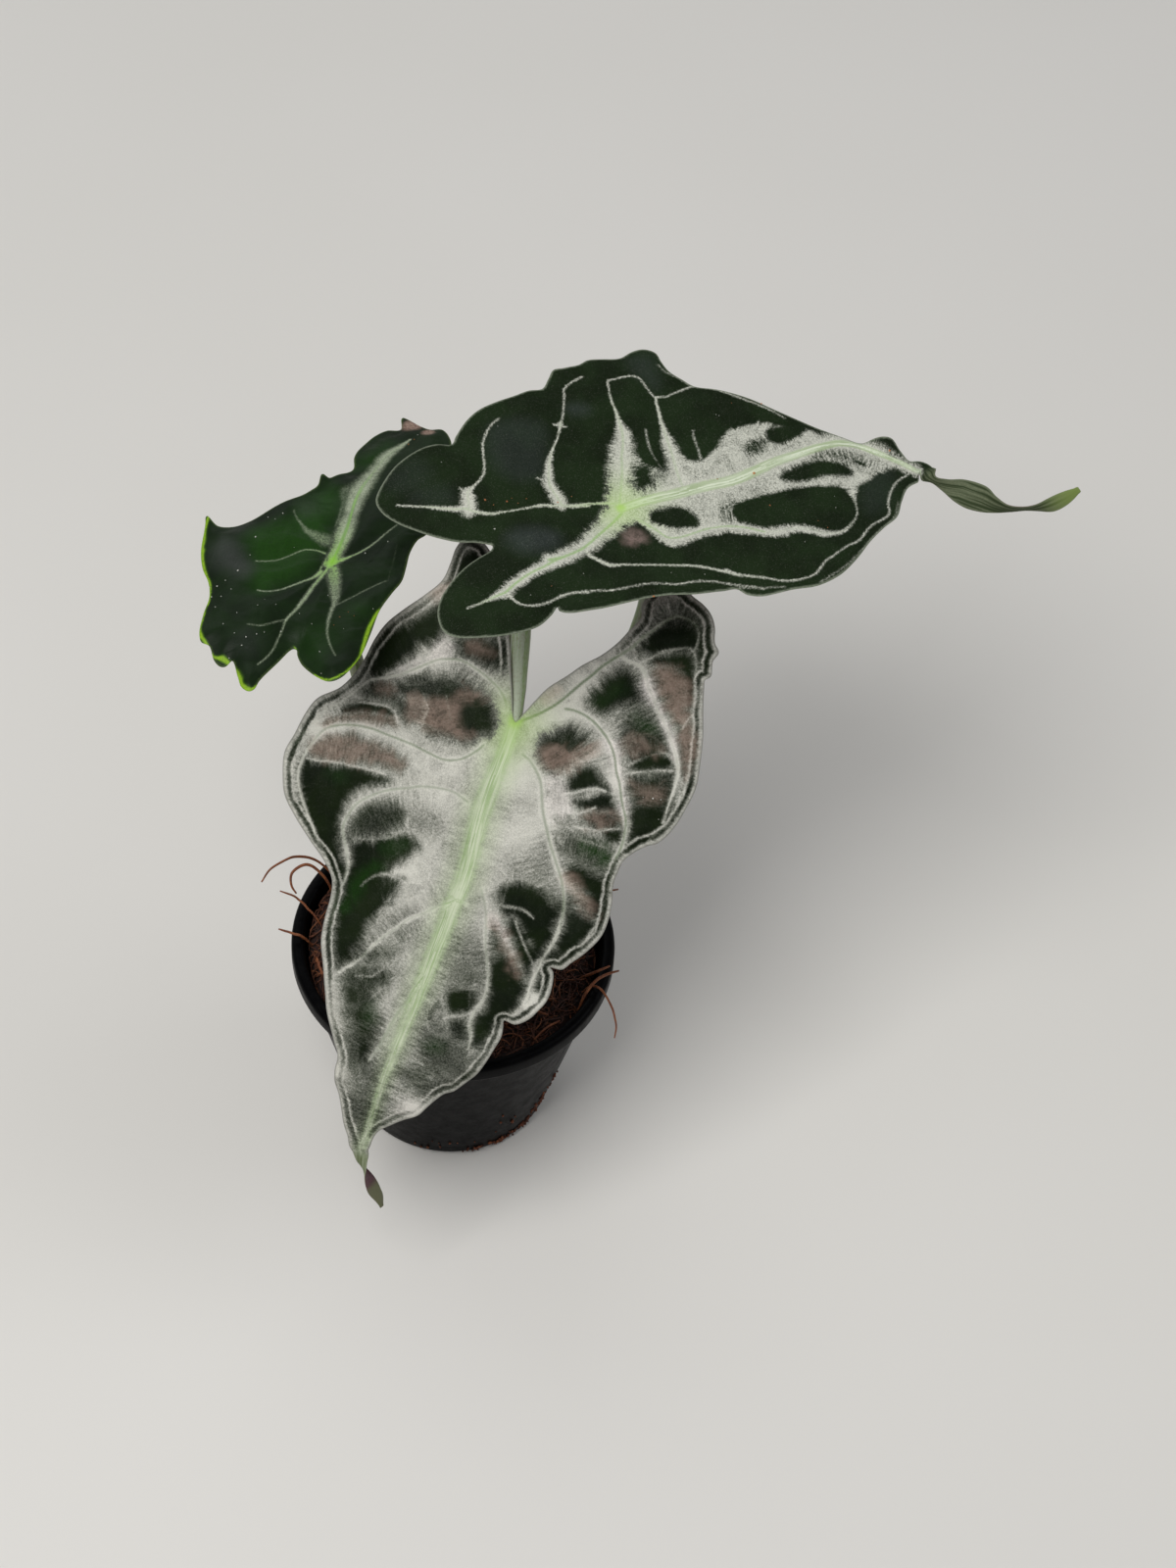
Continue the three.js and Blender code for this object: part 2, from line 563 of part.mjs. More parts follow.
// ---------------------------------------------------------------- papery sheaths
// a thin curved scale that hugs the foot of the stalks and narrows to a point
function sheathGeometry(azimuth, spread, height, lean) {
  const rows = 7;
  const cols = 8;
  const inner = CROWN_RADIUS + GAP + 0.05;
  const thick = 0.55;
  const base = COIR_LEVEL + 1.5;
  const pos = [];
  const at = (i, j, out) => {
    const t = i / rows;
    const half = (spread / 2) * Math.pow(1 - t, 0.6) + 0.03;
    const ang = azimuth + half * ((2 * j) / cols - 1);
    const r = inner + 0.15 + out * thick + lean * t * t;
    return [r * Math.cos(ang), r * Math.sin(ang), base + height * t];
  };
  for (const out of [0, 1]) {
    for (let i = 0; i <= rows; i++) for (let j = 0; j <= cols; j++) pos.push(...at(i, j, out));
  }
  const n = (rows + 1) * (cols + 1);
  const id = (i, j, out) => out * n + i * (cols + 1) + j;
  const tri = [];
  const quad = (a, b, c, d) => tri.push(a, b, c, a, c, d);
  for (let i = 0; i < rows; i++) {
    for (let j = 0; j < cols; j++) {
      quad(id(i, j, 1), id(i, j + 1, 1), id(i + 1, j + 1, 1), id(i + 1, j, 1));
      quad(id(i, j, 0), id(i + 1, j, 0), id(i + 1, j + 1, 0), id(i, j + 1, 0));
    }
    quad(id(i, 0, 0), id(i, 0, 1), id(i + 1, 0, 1), id(i + 1, 0, 0));
    quad(id(i, cols, 0), id(i + 1, cols, 0), id(i + 1, cols, 1), id(i, cols, 1));
  }
  for (let j = 0; j < cols; j++) {
    quad(id(0, j, 0), id(0, j + 1, 0), id(0, j + 1, 1), id(0, j, 1));
    quad(id(rows, j, 0), id(rows, j, 1), id(rows, j + 1, 1), id(rows, j + 1, 0));
  }
  return facingOut(solidFromLists(pos, tri));
}
add('sheath_right', sheathGeometry(-1.0, 1.5, 14, 2.6), SHEATH_TAN, 0.8);
add('sheath_left', sheathGeometry(-2.75, 1.5, 10, 2.2), SHEATH_TAN, 0.8);

// ---------------------------------------------------------------- loose coir fibres
const FIBRES = [
  // over the left rim
  [[-26.6, 15.3, 47.4], [-29.1, 15.4, 52.0], [-32.3, 15.0, 55.6], [-36.1, 13.0, 58.2], [-38.6, 10.3, 59.2],
    [-40.7, 8.3, 59.0], [-42.2, 6.0, 57.6]],
  [[-27.4, 12.2, 47.2], [-29.2, 12.6, 52.2], [-33.2, 12.8, 56.2], [-36.1, 10.4, 55.8], [-36.0, 8.2, 54.2],
    [-34.9, 7.4, 52.6]],
  [[-38.2, 5.6, 55.4], [-34.8, 5.6, 53.6], [-32.4, 4.6, 51.8], [-30.2, 3.6, 49.4], [-28.6, 2.8, 46.9]],
  [[-37.7, -2.6, 52.6], [-35.2, -2.9, 52.0], [-32.8, -3.0, 51.2], [-30.4, -1.8, 46.9]],
  [[-29.4, -4.6, 46.7], [-28.6, -7.2, 47.2], [-27.3, -9.8, 46.6]],
  // over the right rim
  [[28.6, -9.0, 46.7], [30.6, -10.2, 50.2], [32.6, -12.2, 52.0], [34.6, -15.2, 51.7], [35.8, -17.4, 50.6],
    [36.4, -19.6, 48.8], [36.2, -21.2, 47.0]],
  [[27.8, -5.4, 46.7], [29.8, -6.6, 49.4], [31.9, -7.0, 51.6], [34.2, -6.3, 52.6]],
  [[36.2, -8.2, 53.7], [34.0, -9.0, 53.4], [31.3, -10.4, 52.2], [29.2, -12.4, 49.6], [28.0, -14.0, 46.9]],
  // on the coir
  [[19.0, -22.3, 46.6], [21.6, -19.9, 47.2], [24.3, -16.8, 46.6]],
  [[18.6, -14.5, 46.6], [20.4, -17.0, 48.4], [21.6, -17.8, 49.0]],
  [[-8.0, 22.6, 46.6], [-12.4, 24.6, 48.2], [-17.6, 24.0, 46.7]],
  [[12.0, 20.4, 46.7], [17.4, 22.2, 48.6], [23.0, 20.2, 46.6]],
  [[22.4, 9.6, 46.6], [26.4, 12.8, 48.6], [30.6, 14.2, 51.4], [35.0, 15.0, 52.2]],
  [[-12.4, -18.4, 46.6], [-16.6, -20.4, 47.9], [-20.4, -18.2, 46.6]],
];
FIBRES.forEach((points, i) => {
  add(`coir_fibre_${String(i + 1).padStart(2, '0')}`,
    fibreGeometry(points, FIBRE_DIAMETER, Math.max(6, 2 * points.length)), FIBRE_ORANGE, 0.8);
});

export default root;
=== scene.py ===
"""Young potted alocasia: three leaves on arching stalks, a short crown with papery
sheaths, loose coir and a thin black nursery pot. Shapes are laid out in millimetres in
the frame of the CAD part and turned into metres when each mesh is made."""

import math

import bpy
import numpy as np
from mathutils import Matrix, Vector
from mathutils.geometry import delaunay_2d_cdt


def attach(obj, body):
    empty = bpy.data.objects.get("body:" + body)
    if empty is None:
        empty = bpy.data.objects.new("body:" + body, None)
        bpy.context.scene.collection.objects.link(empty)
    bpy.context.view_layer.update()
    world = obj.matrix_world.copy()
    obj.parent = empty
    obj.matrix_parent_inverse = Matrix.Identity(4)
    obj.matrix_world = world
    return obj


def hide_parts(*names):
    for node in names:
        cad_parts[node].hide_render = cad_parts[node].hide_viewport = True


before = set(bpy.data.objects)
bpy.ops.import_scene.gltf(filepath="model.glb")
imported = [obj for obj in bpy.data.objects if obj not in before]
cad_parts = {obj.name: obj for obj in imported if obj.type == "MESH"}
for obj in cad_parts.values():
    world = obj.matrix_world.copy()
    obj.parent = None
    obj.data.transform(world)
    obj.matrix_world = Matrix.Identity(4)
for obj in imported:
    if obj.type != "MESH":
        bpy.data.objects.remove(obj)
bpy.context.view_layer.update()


# ------------------------------------------------------------------ sizes, in mm
RIM_R = 35.0
POT_HEIGHT = 50.0
BASE_R = 22.5
WALL = 1.1
FLOOR = 1.4
DRAIN_HOLES = 6
DRAIN_R = 2.5
DRAIN_CIRCLE = 14.5
COIR_LEVEL = 44.6


# ------------------------------------------------------------------ noise
def _hash(ix, iy, iz, seed):
    n = ix.astype(np.uint64) * np.uint64(374761393)
    n = n + iy.astype(np.uint64) * np.uint64(668265263)
    n = n + iz.astype(np.uint64) * np.uint64(1442695041)
    n = n + np.uint64(seed * 974634777 + 12345)
    n = n & np.uint64(0xFFFFFFFF)
    n = ((n ^ (n >> np.uint64(13))) * np.uint64(1274126177)) & np.uint64(0xFFFFFFFF)
    n = n ^ (n >> np.uint64(16))
    return (n & np.uint64(0xFFFFFF)).astype(float) / float(0xFFFFFF)


def noise3(x, y, z, seed=0):
    """Smooth value noise, -1 to 1."""
    x, y, z = np.broadcast_arrays(*(np.asarray(v, float) + 4096.0 for v in (x, y, z)))
    fx, fy, fz = np.floor(x), np.floor(y), np.floor(z)
    tx, ty, tz = x - fx, y - fy, z - fz
    tx, ty, tz = (t * t * (3 - 2 * t) for t in (tx, ty, tz))
    ix, iy, iz = (v.astype(np.int64) for v in (fx, fy, fz))
    total = 0.0
    for dx in (0, 1):
        wx = tx if dx else 1 - tx
        for dy in (0, 1):
            wy = ty if dy else 1 - ty
            for dz in (0, 1):
                wz = tz if dz else 1 - tz
                total = total + wx * wy * wz * _hash(ix + dx, iy + dy, iz + dz, seed)
    return total * 2 - 1


def fractal(x, y, z=0.0, seed=0, octaves=3):
    total, gain, freq, norm = 0.0, 1.0, 1.0, 0.0
    for k in range(octaves):
        total = total + gain * noise3(
            np.asarray(x) * freq, np.asarray(y) * freq, np.asarray(z) * freq, seed + 17 * k
        )
        norm += gain
        gain *= 0.5
        freq *= 2.03
    return total / norm


def smooth(x, lo, hi):
    t = np.clip((np.asarray(x, float) - lo) / (hi - lo), 0, 1)
    return t * t * (3 - 2 * t)


# ------------------------------------------------------------------ curves
def catmull(points, step, closed=False):
    """Centripetal Catmull-Rom curve through the points, about step apart. Extra columns
    (widths) are carried along."""
    p = np.array(points, float)
    dims = min(3, p.shape[1])
    if closed:
        p = np.vstack([p[-1:], p, p[:2]])
    else:
        p = np.vstack([2 * p[:1] - p[1:2], p, 2 * p[-1:] - p[-2:-1]])
    out = []
    for i in range(1, len(p) - 2):
        p0, p1, p2, p3 = p[i - 1 : i + 3]
        d = [max(1e-6, np.linalg.norm((b - a)[:dims])) ** 0.5 for a, b in ((p0, p1), (p1, p2), (p2, p3))]
        t0, t1 = 0.0, d[0]
        t2, t3 = t1 + d[1], t1 + d[1] + d[2]
        n = max(1, int(round(np.linalg.norm((p2 - p1)[:dims]) / step)))
        t = (t1 + (t2 - t1) * np.arange(n) / n)[:, None]
        a1 = (t1 - t) / (t1 - t0) * p0 + (t - t0) / (t1 - t0) * p1
        a2 = (t2 - t) / (t2 - t1) * p1 + (t - t1) / (t2 - t1) * p2
        a3 = (t3 - t) / (t3 - t2) * p2 + (t - t2) / (t3 - t2) * p3
        b1 = (t2 - t) / (t2 - t0) * a1 + (t - t0) / (t2 - t0) * a2
        b2 = (t3 - t) / (t3 - t1) * a2 + (t - t1) / (t3 - t1) * a3
        out.append((t2 - t) / (t2 - t1) * b1 + (t - t1) / (t2 - t1) * b2)
    if not closed:
        out.append(p[-2:-1])
    return np.vstack(out)


def resample(points, count):
    """Points at equal spacing along a polyline."""
    p = np.array(points, float)
    s = np.concatenate([[0], np.cumsum(np.linalg.norm(np.diff(p[:, :3], axis=0), axis=1))])
    u = np.linspace(0, s[-1], count)
    return np.stack([np.interp(u, s, p[:, k]) for k in range(p.shape[1])], 1)


def to_segments(points, line, reach, closed=False):
    """For 2-D points: distance to a polyline, length along it there, side, and the
    interpolated extra columns. Points further than reach from its box get 1e3."""
    line = np.array(line, float)
    if closed:
        line = np.vstack([line, line[:1]])
    a, b = line[:-1], line[1:]
    seg = b[:, :2] - a[:, :2]
    length = np.linalg.norm(seg, axis=1)
    start = np.concatenate([[0], np.cumsum(length)])[:-1]
    lo, hi = line[:, :2].min(0) - reach, line[:, :2].max(0) + reach
    near = np.where(((points >= lo) & (points <= hi)).all(1))[0]
    dist = np.full(len(points), 1e3)
    along = np.zeros(len(points))
    side = np.ones(len(points))
    extra = np.zeros((len(points), max(0, line.shape[1] - 2)))
    sq = np.maximum(length**2, 1e-12)
    for c in range(0, len(near), 4000):
        idx = near[c : c + 4000]
        p = points[idx]
        rel = p[:, None, :] - a[None, :, :2]
        t = np.clip((rel * seg[None]).sum(2) / sq[None], 0, 1)
        off = rel - t[:, :, None] * seg[None]
        d2 = (off**2).sum(2)
        k = d2.argmin(1)
        r = np.arange(len(idx))
        dist[idx] = np.sqrt(d2[r, k])
        along[idx] = start[k] + t[r, k] * length[k]
        cross = seg[k, 0] * rel[r, k, 1] - seg[k, 1] * rel[r, k, 0]
        side[idx] = np.where(cross >= 0, 1.0, -1.0)
        if line.shape[1] > 2:
            tt = t[r, k][:, None]
            extra[idx] = a[k, 2:] * (1 - tt) + b[k, 2:] * tt
    return dist, along, side, extra


def inside(points, loop):
    """Which 2-D points lie inside a closed loop."""
    loop = np.array(loop, float)
    x, y = points[:, 0], points[:, 1]
    res = np.zeros(len(points), bool)
    lo, hi = loop.min(0), loop.max(0)
    near = np.where((x >= lo[0]) & (x <= hi[0]) & (y >= lo[1]) & (y <= hi[1]))[0]
    px, py = x[near], y[near]
    r = np.zeros(len(near), bool)
    j = len(loop) - 1
    for i in range(len(loop)):
        xi, yi = loop[i]
        xj, yj = loop[j]
        if yi != yj:
            hit = ((yi > py) != (yj > py)) & (px < (xj - xi) * (py - yi) / (yj - yi) + xi)
            r ^= hit
        j = i
    res[near] = r
    return res


def signed(points, loop, reach=4.0):
    """Distance to a closed loop, positive inside."""
    loop = catmull(loop, 0.8, closed=True)[:, :2]
    d, _, _, _ = to_segments(points, loop, reach, closed=True)
    return np.where(inside(points, loop), np.minimum(d, 50), -d)


# ------------------------------------------------------------------ meshes
def make_mesh(name, verts, faces, materials, face_material=None, attributes=None, uv=None, flat=False):
    """verts in mm. attributes: {name: array of 1 or 4 columns per vertex}. uv per vertex."""
    mesh = bpy.data.meshes.new(name)
    mesh.from_pydata((np.asarray(verts, float) * 0.001).tolist(), [], [tuple(int(i) for i in f) for f in faces])
    mesh.update()
    for m in materials:
        mesh.materials.append(m)
    if face_material is not None:
        mesh.polygons.foreach_set("material_index", np.asarray(face_material, np.int32))
    mesh.polygons.foreach_set("use_smooth", np.full(len(mesh.polygons), not flat, bool))
    for key, value in (attributes or {}).items():
        value = np.asarray(value, np.float32)
        if value.ndim == 1:
            mesh.attributes.new(key, "FLOAT", "POINT").data.foreach_set("value", value)
        else:
            if value.shape[1] == 3:
                value = np.hstack([value, np.ones((len(value), 1), np.float32)])
            mesh.attributes.new(key, "FLOAT_COLOR", "POINT").data.foreach_set("color", value.ravel())
    if uv is not None:
        layer = mesh.uv_layers.new(name="OFBake")
        loops = np.zeros(len(mesh.loops), np.int32)
        mesh.loops.foreach_get("vertex_index", loops)
        layer.data.foreach_set("uv", np.asarray(uv, np.float32)[loops].ravel())
    mesh.validate()
    obj = bpy.data.objects.new(name, mesh)
    bpy.context.scene.collection.objects.link(obj)
    return obj


def frames_along(path):
    """Tangent and two steady side directions at each point of a path."""
    t = np.gradient(path, axis=0)
    t /= np.linalg.norm(t, axis=1)[:, None]
    n = np.zeros_like(t)
    first = np.cross(t[0], [0.3, 0.8, 0.5])
    n[0] = first / np.linalg.norm(first)
    for i in range(1, len(t)):
        v = n[i - 1] - t[i] * (n[i - 1] @ t[i])
        n[i] = v / np.linalg.norm(v)
    return t, n, np.cross(t, n)


def tube(path, radius, sides, ripple=None):
    """Closed tube. radius: one value or one per point. ripple(angle, i) scales it."""
    path = np.asarray(path, float)
    radius = np.broadcast_to(np.asarray(radius, float), (len(path),))
    t, n, b = frames_along(path)
    ang = 2 * np.pi * np.arange(sides) / sides
    verts = []
    for i in range(len(path)):
        r = radius[i] * (ripple(ang, i) if ripple else np.ones(sides))
        verts.append(path[i] + np.outer(np.cos(ang) * r, n[i]) + np.outer(np.sin(ang) * r, b[i]))
    verts = np.vstack(verts)
    faces = []
    for i in range(len(path) - 1):
        for j in range(sides):
            k = (j + 1) % sides
            faces.append((i * sides + j, i * sides + k, (i + 1) * sides + k, (i + 1) * sides + j))
    s = len(verts)
    verts = np.vstack([verts, path[:1] - t[:1] * radius[0] * 0.25, path[-1:] + t[-1:] * radius[-1] * 0.4])
    last = (len(path) - 1) * sides
    for j in range(sides):
        k = (j + 1) % sides
        faces.append((s, k, j))
        faces.append((s + 1, last + j, last + k))
    return verts, faces


def joined(parts):
    verts, faces, base = [], [], 0
    for v, f in parts:
        verts.append(np.asarray(v, float))
        faces.extend([tuple(i + base for i in q) for q in f])
        base += len(v)
    return np.vstack(verts), faces


# ------------------------------------------------------------------ materials
def lin(hexa):
    """sRGB hex to a linear colour."""
    c = [int(hexa[i : i + 2], 16) / 255 for i in (1, 3, 5)]
    c = [v / 12.92 if v <= 0.04045 else ((v + 0.055) / 1.055) ** 2.4 for v in c]
    return (*c, 1.0)


class Nodes:
    """Short spellings for a material's nodes."""

    def __init__(self, name):
        self.mat = bpy.data.materials.new(name)
        self.mat.use_nodes = True
        self.t = self.mat.node_tree
        self.t.nodes.clear()
        self.out = self.t.nodes.new("ShaderNodeOutputMaterial")
        self.bsdf = self.t.nodes.new("ShaderNodeBsdfPrincipled")
        self.t.links.new(self.bsdf.outputs[0], self.out.inputs[0])

    def put(self, socket, value):
        if isinstance(value, bpy.types.NodeSocket):
            self.t.links.new(value, socket)
        else:
            socket.default_value = value

    def set(self, **kw):
        for k, v in kw.items():
            self.put(self.bsdf.inputs[k.replace("_", " ")], v)

    def attr(self, name):
        n = self.t.nodes.new("ShaderNodeAttribute")
        n.attribute_name = name
        return n

    def split(self, name):
        a = self.attr(name)
        s = self.t.nodes.new("ShaderNodeSeparateColor")
        self.t.links.new(a.outputs["Color"], s.inputs[0])
        return s.outputs[0], s.outputs[1], s.outputs[2]

    def coords(self, scale=(1000, 1000, 1000)):
        c = self.t.nodes.new("ShaderNodeTexCoord")
        m = self.t.nodes.new("ShaderNodeMapping")
        m.inputs["Scale"].default_value = scale
        self.t.links.new(c.outputs["Object"], m.inputs[0])
        return m.outputs[0]

    def noise(self, vector, scale=1.0, detail=2.0, rough=0.5, distortion=0.0):
        n = self.t.nodes.new("ShaderNodeTexNoise")
        self.t.links.new(vector, n.inputs["Vector"])
        n.inputs["Scale"].default_value = scale
        n.inputs["Detail"].default_value = detail
        n.inputs["Roughness"].default_value = rough
        n.inputs["Distortion"].default_value = distortion
        return n.outputs["Fac"]

    def voronoi(self, vector, scale=1.0, feature="F1", randomness=1.0):
        n = self.t.nodes.new("ShaderNodeTexVoronoi")
        n.feature = feature
        self.t.links.new(vector, n.inputs["Vector"])
        n.inputs["Scale"].default_value = scale
        n.inputs["Randomness"].default_value = randomness
        return n.outputs["Distance"]

    def math(self, op, a, b=0.0, c=None, clamp=False):
        n = self.t.nodes.new("ShaderNodeMath")
        n.operation = op
        n.use_clamp = clamp
        self.put(n.inputs[0], a)
        self.put(n.inputs[1], b)
        if c is not None:
            self.put(n.inputs[2], c)
        return n.outputs[0]

    def ramp(self, value, lo, hi, to_lo=0.0, to_hi=1.0, kind="SMOOTHSTEP"):
        n = self.t.nodes.new("ShaderNodeMapRange")
        n.interpolation_type = kind
        self.put(n.inputs["Value"], value)
        n.inputs["From Min"].default_value = lo
        n.inputs["From Max"].default_value = hi
        n.inputs["To Min"].default_value = to_lo
        n.inputs["To Max"].default_value = to_hi
        return n.outputs["Result"]

    def mix(self, fac, a, b, mode="MIX"):
        n = self.t.nodes.new("ShaderNodeMix")
        n.data_type = "RGBA"
        n.blend_type = mode
        self.put(n.inputs["Factor"], fac)
        self.put(n.inputs[6], lin(a) if isinstance(a, str) else a)
        self.put(n.inputs[7], lin(b) if isinstance(b, str) else b)
        return n.outputs[2]

    def combine(self, x, y, z):
        n = self.t.nodes.new("ShaderNodeCombineXYZ")
        for i, v in enumerate((x, y, z)):
            self.put(n.inputs[i], v)
        return n.outputs[0]

    def bump(self, height, strength=0.3, distance=0.0002):
        n = self.t.nodes.new("ShaderNodeBump")
        n.inputs["Strength"].default_value = strength
        n.inputs["Distance"].default_value = distance
        self.put(n.inputs["Height"], height)
        return n.outputs[0]


